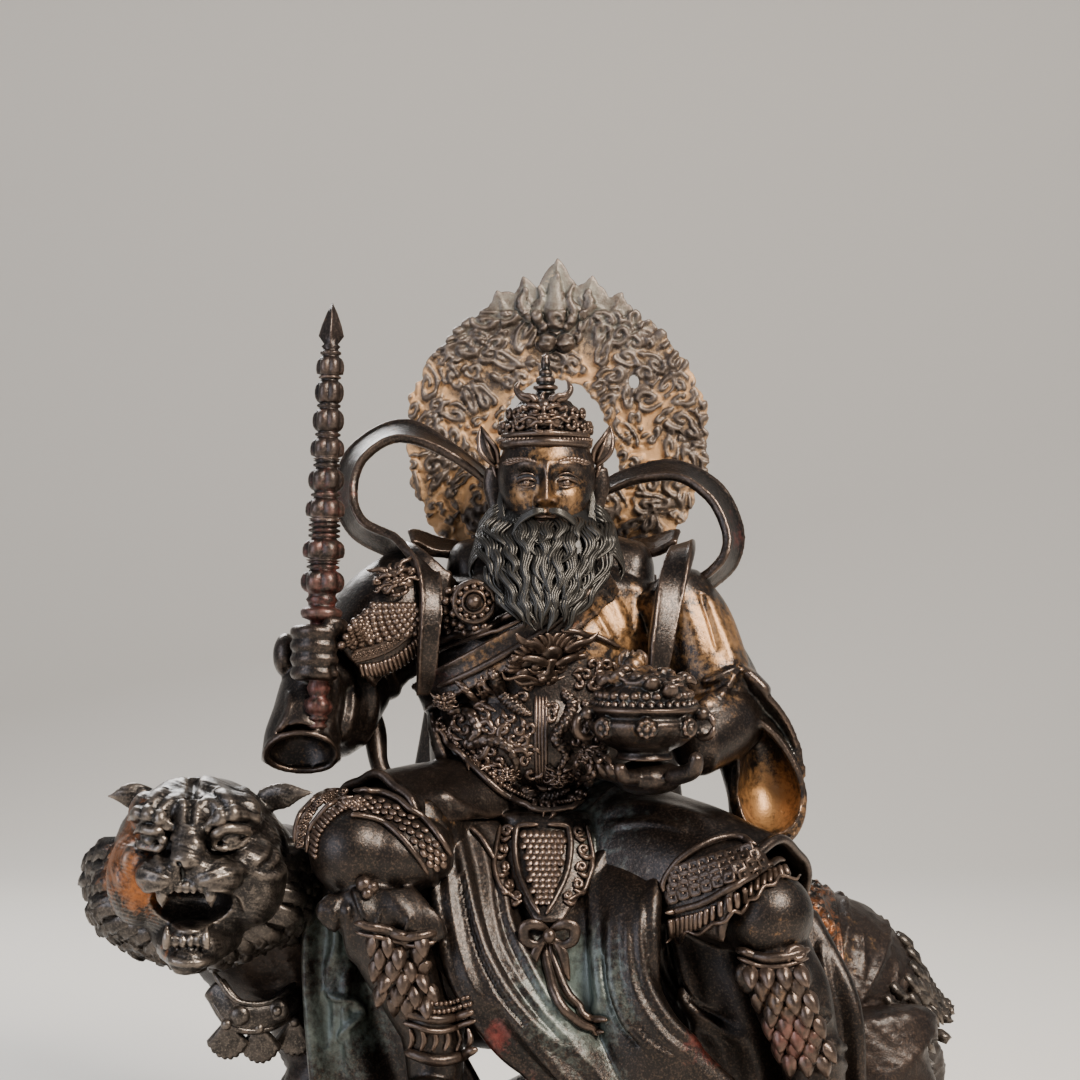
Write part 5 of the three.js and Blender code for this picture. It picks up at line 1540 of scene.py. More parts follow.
def beast(mane=15, horns=True):
    """A horned beast's mask, one unit from its middle to its cheek: x across, y up and z out."""
    made = [
        ball((0, 0.1, 0.05), (0.72, 0.62, 0.3), 30, 20), ball((0, 0.42, 0.22), (0.3, 0.3, 0.22), 20, 14),
        ball((0, -0.14, 0.4), (0.3, 0.2, 0.3), 22, 16),
        limb([(0, 0.4, 0.42), (0, 0.1, 0.5), (0, -0.08, 0.62)], (0.14, 0.1, 0.16), (0.1, 0.1, 0.1), 14, 14),
    ]
    for s in (-1, 1):
        made += [
            ball((0.15 * s, -0.18, 0.62), (0.12, 0.1, 0.12), 14, 10),
            ball((0.5 * s, -0.2, 0.24), (0.28, 0.26, 0.24), 20, 14),
            ball((0.34 * s, 0.14, 0.4), (0.15, 0.13, 0.14), 18, 12),
            ball((0.34 * s, 0.14, 0.5), (0.06, 0.06, 0.07), 10, 8),
            strand(
                [(0.1 * s, 0.2, 0.5), (0.34 * s, 0.36, 0.5), (0.62 * s, 0.4, 0.36), (0.82 * s, 0.28, 0.2)],
                (0.08, 0.13, 0.11, 0.04), 10, 22
            ),
            strand(
                [(0.14 * s, 0.02, 0.5), (0.34 * s, -0.03, 0.46), (0.56 * s, 0.06, 0.36)], (0.04, 0.06, 0.03), 8,
                16
            ),
            strand(
                [
                    (0.02 * s, -0.36, 0.56), (0.28 * s, -0.32, 0.52), (0.52 * s, -0.44, 0.36),
                    (0.74 * s, -0.36, 0.2)
                ],
                (0.09, 0.1, 0.1, 0.05), 10, 24
            ),
            strand(
                [(0.3 * s, -0.38, 0.46), (0.32 * s, -0.54, 0.48), (0.27 * s, -0.7, 0.42)], (0.07, 0.06, 0.01),
                8, 14
            ),
            strand(
                [(0.0, -0.74, 0.34), (0.24 * s, -0.7, 0.32), (0.48 * s, -0.56, 0.22)], (0.09, 0.1, 0.05), 10, 16
            ),
            strand(
                [
                    (0.24 * s, -0.24, 0.6), (0.66 * s, -0.12, 0.5), (1.0 * s, -0.28, 0.34),
                    (1.16 * s, -0.1, 0.24)
                ],
                (0.05, 0.06, 0.05, 0.02), 8, 26
            ),
            strand(
                [(0.66 * s, 0.24, 0.2), (0.92 * s, 0.34, 0.26), (0.98 * s, 0.16, 0.22)], (0.1, 0.12, 0.05), 10,
                18
            ),
        ]
        if horns:
            made.append(strand([(0.3 * s, 0.56, 0.3), (0.56 * s, 0.82, 0.36), (0.9 * s, 0.9, 0.28),
                                (1.14 * s, 1.12, 0.12)], (0.13, 0.12, 0.1, 0.03), 12, 28,
                               swell=lambda a, t: 1 + 0.08 * np.cos(60 * t)))
    for i in range(mane):
        turn = np.pi * (-0.12 + 1.24 * (i + 0.5) / mane)
        c, s = np.cos(turn), np.sin(turn)
        hand = 1 if c > 0 else -1
        made.append(strand([(0.66 * c, 0.08 + 0.52 * s, 0.14),
                            (0.86 * c - 0.06 * s * hand, 0.12 + 0.7 * s, 0.16),
                            (1.02 * c, 0.14 + 0.86 * s, 0.1),
                            (0.96 * c + 0.14 * s * hand, 0.14 + 0.93 * s, 0.08)],
                           (0.07, 0.1, 0.07, 0.02), 8, 14))
    return merged(made)


def spiral(centre, size, turn, hand, turns=1.35):
    """Pixels of a scroll that winds in to its middle."""
    s = np.linspace(0, 1, 9)
    a = turn + hand * 2 * np.pi * turns * s
    r = size * (1 - 0.85 * s)
    return np.stack([centre[0] + r * np.cos(a), centre[1] + r * np.sin(a)], -1)


def dragon_skin(angle, t):
    """Rings of scales round a dragon's body, and a row of fins along its back."""
    row = np.floor(22 * t)
    return 0.92 + 0.26 * np.abs(np.sin(22 * np.pi * t)) ** 0.6 * np.abs(
        np.cos(2.5 * angle + row * np.pi / 2)
    ) ** 0.6


front = depth_of(np.vstack([coat_points, robe_points]))
mask_points, mask_faces = beast(21)
relief = [
    *bow_forms(), studded(
        front, [(543, 664)], (mask_points * (1.08, 0.94, 0.6), mask_faces), 9.2, 0.3, (0, 0, 1)
    ),
    studded(front, [(396, 585)], beast(11), 4.9, 0.5, (-0.3, 0, 1))
]
for offset, thick in ((-5, 0.5), (-1.6, 0.42), (1.6, 0.42), (5, 0.5)):
    relief.append(cord(
        front, [(541 + offset, 696), (541 + offset, 724), (541 + offset, 752), (541 + offset * 0.8, 784)],
        (thick, thick, thick), 0.15, 10
    ))
DRAGONS = [
    [(491, 668), (497, 684), (507, 700), (520, 710), (532, 716)],
    [
        (447, 712), (462, 708), (474, 718), (478, 732), (470, 744), (484, 741), (500, 742), (512, 752),
        (516, 768),
        (504, 778)
    ],
    [(452, 676), (468, 692), (482, 704), (496, 712)],
    [(562, 690), (572, 704), (566, 722), (556, 738), (566, 754), (558, 772)],
    [(582, 700), (590, 716), (584, 736), (590, 752)],
    [(520, 790), (535, 797), (552, 796), (570, 788)],
]
for run, thick in zip(DRAGONS, (1.5, 1.35, 0.8, 1.4, 1.1, 1.5)):
    relief.append(cord(front, run, (thick * 0.8, thick, thick, thick * 0.4), thick * 0.3, 20, 7, dragon_skin))
DRAGON_HEADS = [((506, 776), 3.0), ((446, 700), 2.7), ((558, 776), 3.0), ((588, 758), 2.6)]
for place, size in DRAGON_HEADS:
    relief.append(studded(front, [place], beast(7, True), size, 0.5, (0, 0, 1)))
LIMBS = [
    [(478, 726), (488, 722), (494, 730)], [(474, 708), (484, 700), (480, 692)],
    [(500, 744), (500, 730), (508, 724)],
    [(510, 752), (524, 750), (528, 758)],
    [(490, 744), (484, 756), (474, 760)], [(566, 722), (578, 726), (578, 736)],
    [(500, 690), (488, 688), (482, 680)],
    [(566, 754), (578, 760), (576, 770)],
]
for run in LIMBS:
    relief.append(cord(front, run, (0.8, 0.9, 0.55), 0.35, 10, 3))
    x, y = run[-1]
    for k in range(4):
        turn = 1.57 * k + x
        relief.append(cord(
            front,
            [
                (x, y), (x + 2.6 * np.cos(turn), y + 2.6 * np.sin(turn)),
                (x + 4.6 * np.cos(turn + 0.4), y + 4.6 * np.sin(turn + 0.4))
            ],
            (0.35, 0.32, 0.08), 0.35, 7, 4
        ))
BELLY = [
    (452, 672), (496, 690), (514, 697), (556, 697), (576, 684), (592, 664), (598, 652), (614, 664), (608, 740),
    (600, 775), (586, 800), (566, 806), (542, 808), (520, 802), (498, 790), (474, 768), (452, 746), (436, 726),
    (440, 700)
]
seed = np.random.default_rng(5)
spacing = 12.5
lattice = np.array(
    [(430 + spacing * (i + 0.5 * (j % 2)), 664 + 0.87 * spacing * j) for i in range(17) for j in range(15)]
) + seed.uniform(-2.0, 2.0, (255, 2))
bodies = np.concatenate([curve(run, np.linspace(0, 1, 40)) for run in (*DRAGONS, [(541, 690), (541, 786)])])
apart = np.sqrt(((lattice[:, None] - bodies[None]) ** 2).sum(-1)).min(1)
for centre in lattice[within(BELLY, lattice) & (apart > 9.0)]:
    size, hand, turn = seed.uniform(4.8, 6.4), seed.choice((-1, 1)), seed.uniform(0, 6.28)
    relief.append(cord(front, spiral(centre, size, turn, hand, 0.85), (0.5, 0.72, 0.66), 0.3, 8, 2.6))
    away = [
        centre + (size + far) * np.array(
            (np.cos(turn - 0.35 * far * hand / 3), np.sin(turn - 0.35 * far * hand / 3))
        )
        for far in (-1.0, 3.4, 7.6)
    ]
    relief.append(cord(front, away, (0.6, 0.66, 0.12), 0.3, 8, 2.6))
HEM = [(438, 730), (452, 748), (474, 770), (498, 792), (520, 804), (542, 811), (566, 809), (584, 802)]
relief.append(cord(front, HEM, (0.7, 0.8, 0.7), 0.6, 12, 2))
relief.append(row_of(front, np.asarray(HEM) + (3, -7), 46, BEAD, 0.62, 0.3))

# The chest: a studded medallion, a field of beads, a second strap under the beard and the neckline's cord.
MEDALLION = np.array((474.0, 602.0))
turns = np.linspace(0, 2 * np.pi, 25)
for far, thick in ((18.5, 0.75), (10.5, 0.4)):
    ring = MEDALLION + far * np.stack([np.cos(turns), np.sin(turns)], -1)
    relief.append(cord(front, ring, (thick, thick, thick), 0.5, 10, 3))
relief.append(studded(front, [tuple(MEDALLION)], BEAD, 1.9, 0.9))
rim_beads = [tuple(MEDALLION + 14.3 * np.array((np.cos(a), np.sin(a)))) for a in turns[:-1:2]]
relief.append(studded(front, rim_beads, BEAD, 0.72, 0.6))
CHEST_STUDS = [
    (449, 592), (457, 590), (447, 601), (446, 610), (448, 619), (454, 613), (447, 627), (455, 622), (462, 625),
    (450, 633), (458, 631), (466, 632), (454, 600), (475, 628), (484, 626),
]
UPPER_STRAP = [(434, 646), (452, 638), (478, 630), (500, 622), (520, 613)]
UPPER_STRAP_CORD = [(434, 655), (456, 646), (482, 637), (504, 629), (524, 619)]
NECKLINE = [(560, 630), (583, 633), (604, 640), (620, 648)]
LAPEL_EDGE = [(438, 687), (464, 676), (492, 662), (522, 645), (551, 626), (576, 605), (592, 588)]
relief.append(studded(front, CHEST_STUDS, BEAD, 1.0, 0.3))
relief.append(cord(front, UPPER_STRAP, (0.9, 1.0, 0.9), 0.7, 12))
relief.append(cord(front, UPPER_STRAP_CORD, (0.5, 0.5, 0.5), 0.5, 8))
relief.append(cord(front, NECKLINE, (0.7, 0.8, 0.5), 0.5, 10))
relief.append(cord(front, LAPEL_EDGE, (0.8, 1.0, 0.8), 0.3, 12))

# The rod arm: round studs on the shoulder guard, a border of square plaques between two cords, and pleats.
SHOULDER_INNER = [(372, 603), (416, 604), (420, 634), (345, 650)]
SHOULDER_OUTER = [(352, 622), (378, 604), (372, 640), (340, 648)]
SHOULDER_BORDER = [(352, 657), (372, 652), (392, 643), (410, 629), (423, 614)]
SHOULDER_PLEATS = [(358, 664), (376, 662), (394, 655), (412, 641), (424, 628)]
SHOULDER_HEM = [(362, 677), (380, 676), (398, 669), (416, 655), (427, 642)]
relief.append(studded(front, quad(SHOULDER_INNER, 8, 7), BEAD, 1.1, 0.2))
relief.append(studded(front, quad(SHOULDER_OUTER, 5, 6), BEAD, 1.0, 0.2))
for offset in (-5, 5):
    relief.append(cord(front, np.asarray(SHOULDER_BORDER) + (0, offset), (0.5, 0.5, 0.5), 0.4, 8))
relief.append(row_of(front, SHOULDER_BORDER, 13, square_stud(), 1.9, 0.3))
relief += fringe(front, SHOULDER_PLEATS, SHOULDER_HEM, 18, 0.55, 0.25)

# The guards over the thighs: small scales and a row of plaques at the left, plain square plaques at the right
# over a pleated fringe with a zigzag hem.
OUTER = [(352, 797), (370, 797), (392, 804), (416, 820), (436, 842), (448, 862)]
INNER = [(352, 812), (362, 812), (384, 818), (404, 834), (420, 854), (430, 870)]
rises = np.linspace(0, 1, 17)
for k, (outer, inner) in enumerate(zip(curve(OUTER, rises), curve(INNER, rises))):
    places = [outer * (1 - w) + inner * w for w in ((0.12, 0.5, 0.88) if k % 2 else (0.3, 0.7))]
    relief.append(studded(front, places, fish_scale(), 1.55, 0.3, (0.6, 0, -1)))
relief.append(cord(front, np.asarray(OUTER) + (2, -5), (0.7, 0.8, 0.7), 0.5, 10))
relief.append(cord(front, np.asarray(INNER) + (-2, 5), (0.6, 0.7, 0.6), 0.45, 10))
ROPE = [(300, 848), (303, 825), (315, 808), (330, 797), (347, 793)]
relief.append(row_of(front, ROPE, 13, square_stud(), 2.3, 0.35))
for offset in ((-6, -4), (7, 5)):
    relief.append(cord(front, np.asarray(ROPE) + offset, (0.55, 0.65, 0.55), 0.4, 10))
relief += fringe(front, np.asarray(ROPE) + (10, 6), np.asarray(ROPE) + (17, 13), 17, 0.6, 0.25)
PLAQUES = [(674, 870), (750, 847), (774, 867), (667, 904)]
relief.append(studded(front, quad(PLAQUES, 9, 4, 0), square_stud(False), 3.0, 0.45, (0.35, 0, -1)))
BORDER = [(665, 914), (685, 909), (705, 903), (735, 886), (764, 866), (784, 860)]
PLEATS_HEM = [(668, 938), (686, 934), (706, 926), (738, 908), (766, 886), (792, 876)]
relief.append(cord(front, BORDER, (0.8, 0.9, 0.8), 0.5, 10))
relief += fringe(front, np.asarray(BORDER) + (2, 6), PLEATS_HEM, 21, 0.72, 0.3)
ZIGZAG = [
    (665, 944), (672, 936), (680, 941), (688, 931), (700, 934), (713, 925), (724, 922), (732, 912), (740, 912),
    (749, 901), (757, 899), (764, 888), (774, 886), (780, 877), (792, 880), (800, 876)
]
relief.append(cord(front, ZIGZAG, (0.45, 0.5, 0.45), 0.5, 8, 2.5))
UPPER_BORDER = [(662, 893), (668, 876), (684, 858), (713, 842), (738, 838), (756, 846)]
relief.append(cord(front, UPPER_BORDER, (0.8, 0.9, 0.8), 0.5, 10))

# The apron: a panel of fish scales in a corded frame, with scrolled leaves down both its sides.
APRON_MIDDLE = 543
APRON_TOP = 835
APRON_SCROLLS = ((35, 832, 6), (40, 850, 5.4), (38, 868, 5.4), (34, 885, 5), (24, 896, 4))
for j in range(13):
    y = APRON_TOP + 5.6 * j
    half = 22.5 - 0.012 * (y - APRON_TOP) ** 1.65
    count = max(2, int(half / 3.1))
    xs = APRON_MIDDLE + 0.5 + (np.arange(count) - (count - 1) / 2 + (0.25 if j % 2 else -0.25)) * 6.1
    relief.append(studded(front, [(x, y) for x in xs], fish_scale(), 1.75, 0.3))
for s in (-1, 1):
    inner_frame = [(4, 826), (22, 827), (26, 834), (27, 853), (23, 876), (13, 899), (3, 916)]
    outer_frame = [(43, 826), (48, 850), (49, 870), (40, 890), (24, 902)]
    inner_frame = [(APRON_MIDDLE + s * x, y) for x, y in inner_frame]
    outer_frame = [(APRON_MIDDLE + s * x, y) for x, y in outer_frame]
    relief.append(cord(front, inner_frame, (0.65, 0.75, 0.65), 0.7, 10, 2))
    relief.append(cord(front, outer_frame, (0.5, 0.6, 0.5), 0.4, 8, 2))
    for k, (x, y, size) in enumerate(APRON_SCROLLS):
        scroll = spiral((APRON_MIDDLE + s * x, y), size, 1.2 * k, s)
        sprig = [(APRON_MIDDLE + s * (x + out), y + down) for out, down in ((-4, 5), (4, 9), (9, 4))]
        relief.append(cord(front, scroll, (0.45, 0.62, 0.55), 0.4, 8, 3))
        relief.append(cord(front, sprig, (0.3, 0.7, 0.15), 0.3, 8, 3))
APRON_CORNER = [(470, 828), (480, 838), (490, 854), (494, 862)]
relief.append(cord(front, APRON_CORNER, (0.6, 0.7, 0.4), 0.4, 8))

# The bow's two long ends run down the cloth side by side and turn along the hem.
BOW_ENDS = [
    [(543, 932), (543, 950), (547, 975), (554, 998), (566, 1015), (584, 1028), (606, 1032)],
    [(549, 932), (551, 950), (556, 972), (563, 991), (574, 1005), (590, 1016), (610, 1020)],
]
for end in BOW_ENDS:
    relief.append(cord(front, end, (0.9, 1.15, 0.85), 0.8, 14, 2.4))

# The greaves: rows of leaves down the shins, rolled garters, a banded cuff on the left one, a scroll on the
# right one, and a small knot beside the left knee.
def leaf():
    """A pointed leaf one unit long with a raised midrib and a lifted tip: y runs down it, z out."""
    def place(angle, t):
        y = np.interp(t, (0, 1), (-0.1, 1.0))
        wide = 0.34 * np.sin(np.pi * np.clip(t, 0, 1) ** 0.75) ** 0.8
        rib = 0.1 * np.maximum(0, np.sin(angle)) ** 5
        return xyz(
            wide * np.cos(angle), y,
            0.12 * np.sin(np.pi * t) * np.sin(angle) + rib * np.sin(np.pi * t) + 0.16 * t**2
        )

    return molded(16, 16, place)


for j in range(6):
    for i in range(4 - j % 2):
        x, y = 372 + 16 * (i + 0.5 * (j % 2)) + 2.5 * j, 936 + 12.5 * j
        relief.append(studded(front, [(x, y)], leaf(), 5.0, 0.5, (0.12 * (i - 1.5), 0, -1)))
for j in range(8):
    for i in range(4 - j % 2):
        x, y = 750 + 16 * (i + 0.5 * (j % 2)) + 4.5 * j, 968 + 12.5 * j
        relief.append(studded(front, [(x, y)], leaf(), 5.2, 0.5, (0.12 * (i - 1.5) + 0.2, 0, -1)))
GARTERS = [[(356, 922), (384, 930), (412, 936), (436, 934)], [(738, 950), (760, 958), (786, 957), (808, 950)]]
for garter in GARTERS:
    relief.append(cord(front, garter, (0.9, 1.2, 0.9), 0.6, 12, 2))
    relief.append(cord(front, np.asarray(garter) + (0, 9), (0.5, 0.6, 0.5), 0.4, 8, 2))
CUFF_CORDS = [
    ([(404, 1012), (438, 1021), (474, 1012)], 0.9), ([(404, 1022), (438, 1031), (476, 1021)], 0.6),
    ([(406, 1052), (440, 1061), (478, 1050)], 1.1),
]
for cuff, thick in CUFF_CORDS:
    relief.append(cord(front, cuff, (thick, thick * 1.2, thick), 0.5, 12, 2))
CUFF_BEADS = [
    ([(404, 1004), (438, 1012), (472, 1004)], 15, 0.7), ([(406, 997), (438, 1005), (470, 997)], 14, 0.6)
]
for beads, number, size in CUFF_BEADS:
    relief.append(row_of(front, beads, number, BEAD, size, 0.3))
for i in range(6):
    x = 410 + 11.5 * i
    relief.append(cord(front, [(x, 1028), (x + 3, 1040), (x - 1, 1052)], (0.4, 0.7, 0.4), 0.3, 8, 2.4))
relief.append(cord(front, spiral((796, 956), 10, 2.4, 1, 1.2), (1.0, 0.9, 0.7), 0.7, 10, 2.4))
KNOT = [(364, 886), (372, 889), (367, 895)]
relief.append(studded(front, KNOT, BEAD, (2.0, 1.6, 1.4), 0.6))
piece("god_relief", merged(relief), 140000, dark_brass, "god",
      {"gilt": lambda p: blobs(
          p, [((-15, -17, 155), 8, 0.3), ((-40, -4, 146), 12, 0.25), ((52, -46, 71), 5, 0.6)]
       ),
       "green": lambda p: blobs(p, [((2, -36, 95), 12, 0.35), ((0, -22, 125), 20, 0.1)]),
       "red": lambda p: blobs(p, [((54, -44, 62), 9, 0.75)])})


# The god's face: calm and broad, with lowered lids and long ears, chased smooth after casting and gilded where
# the skin is bare. The brows are of combed hair.
HEAD = (1.5, -4.0, 184.5)


def on_face(x, y, z):
    """A point given from the middle of the head's width, its sides mirrored by the sign of x."""
    return (HEAD[0] + x, y, z)


def hill(value, middle, width):
    """exp(-((value - middle) / width)²)"""
    return np.exp(-(((value - middle) / width) ** 2))


def face_relief(x, z):
    """How far the face stands out at x to either side and at height z: the sum of soft hills and hollows."""
    a = np.abs(x)
    nose = np.interp(z, (177.6, 178.3, 179.3, 181, 184, 187.2, 189), (0, 0.45, 1, 0.84, 0.52, 0.26, 0))
    lid = hill(a, 4.5, 2.1) * hill(z, 183.25 - 0.05 * (a - 4.5) ** 2, 1.25)
    return (
        0.75 * hill(a, 5.0, 3.6) * hill(z, 187.3 - 0.05 * (a - 5) ** 2, 1.3)
        - 1.5 * hill(a, 4.5, 3.0) * hill(z, 183.4, 2.3)
        + 1.55 * lid
        + 3.7 * nose * hill(x, 0, 1.15 + 0.25 * hill(z, 179.2, 1.2))
        + 1.5 * hill(a, 1.95, 0.85) * hill(z, 178.9, 0.95)
        - 0.35 * hill(a, 3.1, 0.5) * hill(z, 178.6, 1.3)
        + 0.9 * hill(a, 6.3, 2.9) * hill(z, 180.2, 2.7)
        + 0.9 * hill(x, 0, 4.4) * hill(z, 175.3, 2.3)
        - 0.3 * hill(x, 0, 0.5) * hill(z, 177, 0.8)
        + 0.75 * hill(a, 1.1, 1.9) * hill(z, 175.35 - 0.1 * a, 0.5)
        - 0.85 * hill(x, 0, 3.1) * hill(z, 174.65 + 0.035 * a * a, 0.24)
        + 0.9 * hill(x, 0, 2.1) * hill(z, 173.9, 0.55)
        - 0.45 * hill(x, 0, 2.6) * hill(z, 172.8, 0.5)
        + 1.1 * hill(x, 0, 3.0) * hill(z, 170.6, 1.5)
    )


def face_form():
    """The head from crown to chin: an oval section whose half width and depths follow the height."""
    high = (165.6, 167, 169.5, 172, 175, 178, 181, 184, 188, 192, 195.6, 198)
    wide = (0, 4.2, 7.0, 8.6, 9.9, 10.7, 11.2, 11.4, 11.2, 9.8, 6.4, 0)
    ahead = (0, 4.4, 8.6, 10.6, 11.5, 11.9, 12.1, 12.2, 12.3, 10.8, 7.0, 0)

    def place(angle, t):
        z = 165.6 + 32.4 * (0.75 * t + 0.25 * (1 - np.cos(np.pi * t)) / 2)
        turn = angle - 0.55 * np.sin(angle)
        x = np.interp(z, high, wide) * np.sin(turn)
        depth = np.interp(z, high, ahead)
        fore = -depth * np.sign(np.cos(turn)) * np.abs(np.cos(turn)) ** 0.86
        front_share = np.clip(np.cos(turn), 0, 1) ** 0.5
        return xyz(HEAD[0] + x, HEAD[1] + fore - front_share * face_relief(x, z), z)

    return molded(190, 210, place)


def face_details():
    """Ears with long lobes, lids, combed brows and the neck."""
    made = [strand([(2, 3, 160), (1.5, 0, 172), (1.5, -1, 180)], (9.6, 8.8, 8.6), 40, 30, DEEP)]
    for s in (-1, 1):
        upper = [
            on_face(1.9 * s, -15.05, 183.0), on_face(3.2 * s, -16.0, 183.9), on_face(4.8 * s, -15.9, 184.1),
            on_face(6.4 * s, -14.6, 183.5), on_face(7.4 * s, -13.4, 182.9)
        ]
        lower = [
            on_face(2.0 * s, -15.05, 182.9), on_face(3.4 * s, -15.75, 182.25), on_face(4.9 * s, -15.5, 182.1),
            on_face(6.4 * s, -14.4, 182.4), on_face(7.3 * s, -13.4, 182.8)
        ]
        fold = [
            on_face(1.9 * s, -14.9, 184.0), on_face(3.4 * s, -15.6, 185.1), on_face(5.2 * s, -15.2, 185.3),
            on_face(7.2 * s, -13.6, 184.4)
        ]
        made += [
            strand(upper, (0.14, 0.32, 0.36, 0.32, 0.14), 10, 30),
            strand(lower, (0.1, 0.22, 0.24, 0.22, 0.1), 8, 30),
            strand(fold, (0.08, 0.2, 0.22, 0.08), 8, 30)
        ]
        for i in range(9):
            t = i / 8
            root = on_face((1.3 + 6.4 * t) * s, -15.9 + 2.5 * t**2, 187.0 + 1.4 * np.sin(2.4 * t))
            tip = on_face(
                (3.3 + 6.9 * t) * s, -15.4 + 3.4 * t**2, 187.9 + 1.1 * np.sin(2.4 * t + 0.3) - 0.5 * t
            )
            made.append(
                strand([root, between(root, tip, 0.5) + (0, -0.25, 0.15), tip], (0.34, 0.5, 0.12), 8, 12)
            )
            made.append(strand(
                [
                    np.add(root, (0, 0.2, -0.5)), between(root, tip, 0.5) + (0, -0.05, -0.4),
                    np.add(tip, (0, 0.1, -0.3))
                ],
                (0.3, 0.42, 0.1), 8, 12
            ))
        made += [
            limb(
                [
                    on_face(11.3 * s, -2.4, 187), on_face(12.1 * s, -2.6, 183), on_face(11.6 * s, -3, 177.4),
                    on_face(10.9 * s, -4, 172.8)
                ],
                (1.5, 1.4, 1.2, 1.1), (2.9, 2.7, 1.9, 1.5), 24, 34, up=(1, 0, 0)
            ),
            strand(
                [
                    on_face(11.7 * s, -4.9, 184.6), on_face(12.6 * s, -3.6, 187.6),
                    on_face(12.9 * s, -0.6, 187.2),
                    on_face(12.9 * s, -0.2, 183), on_face(12.3 * s, -2.0, 177.6)
                ],
                (0.4, 0.6, 0.6, 0.55, 0.35), 10, 34
            ),
            strand(
                [
                    on_face(12.7 * s, -3.6, 185.4), on_face(12.9 * s, -2.0, 184.6),
                    on_face(12.9 * s, -2.4, 181.6),
                    on_face(12.5 * s, -3.8, 180.4)
                ],
                (0.35, 0.45, 0.45, 0.3), 10, 24
            ),
            ball(on_face(4.55 * s, -15.55, 183.1), (0.8, 0.35, 0.8), 14, 10),
        ]
    return made


def skin_gilding(points):
    """Thin gilding all over the face, fuller on the nose, the cheeks and the brow."""
    spots = [
        ((1.5, -18, 180), 5, 0.35), ((-5, -15, 180), 4, 0.35), ((8, -15, 180), 4, 0.35),
        ((1.5, -15, 189), 5, 0.3),
    ]
    return 0.14 + blobs(points, spots)


piece("god_face", merged([face_form(), *face_details()]), 70000, dark_brass, "god",
      {"gilt": skin_gilding})


# The god's crown: a banded cap with a horned beast's mask, cloud scrolls round it, ear leaves and a knobbed
# finial.
def crown_cap():
    """The cap and its finial, turned: rings of (height, radius) over the brow, ribbed by waves on the cap."""
    x, y, z = HEAD[0] - 0.2, HEAD[1], 191.0
    outline = [(0, 12.2), (0.7, 12.8), (2.2, 12.8), (2.8, 12.3), (3.3, 11.4), (5.2, 11.0), (7, 10.3),
               (9.2, 8.6),
               (11.2, 6.4),
               (12.3, 4.4), (13.2, 2.4), (13.8, 2.1), (14.3, 2.9), (14.9, 2.9), (15.4, 2.0), (16.0, 2.3),
               (16.8, 2.2),
               (17.3, 1.5), (17.9, 1.6), (18.5, 1.5), (19.0, 1.0),
               (19.8, 1.1), (20.6, 1.1), (21.4, 0.9), (22.0, 0.9)]
    high, wide = np.array(outline).T
    share = np.linspace(0.04, 0.97, len(high))

    def lathe(angle, t):
        run = np.interp(t, share, high)
        ring = np.interp(t, [0, *share, 1], [0, *wide, 0]) * np.interp(run, (0, 12, 14), (0.85, 0.92, 1))
        on_cap = (run > 3.6) & (run < 11.6)
        ridge = 1 + 0.03 * np.cos(30 * angle + 5 * np.sin(run * 1.7)) * on_cap + 0.02 * np.sin(run * 4) * on_cap
        return xyz(
            x + ring * ridge * np.cos(angle), y + ring * ridge * np.sin(angle),
            z + run + np.where(t > 0.97, (t - 0.97) * 18, 0)
        )

    return molded(120, 220, lathe)


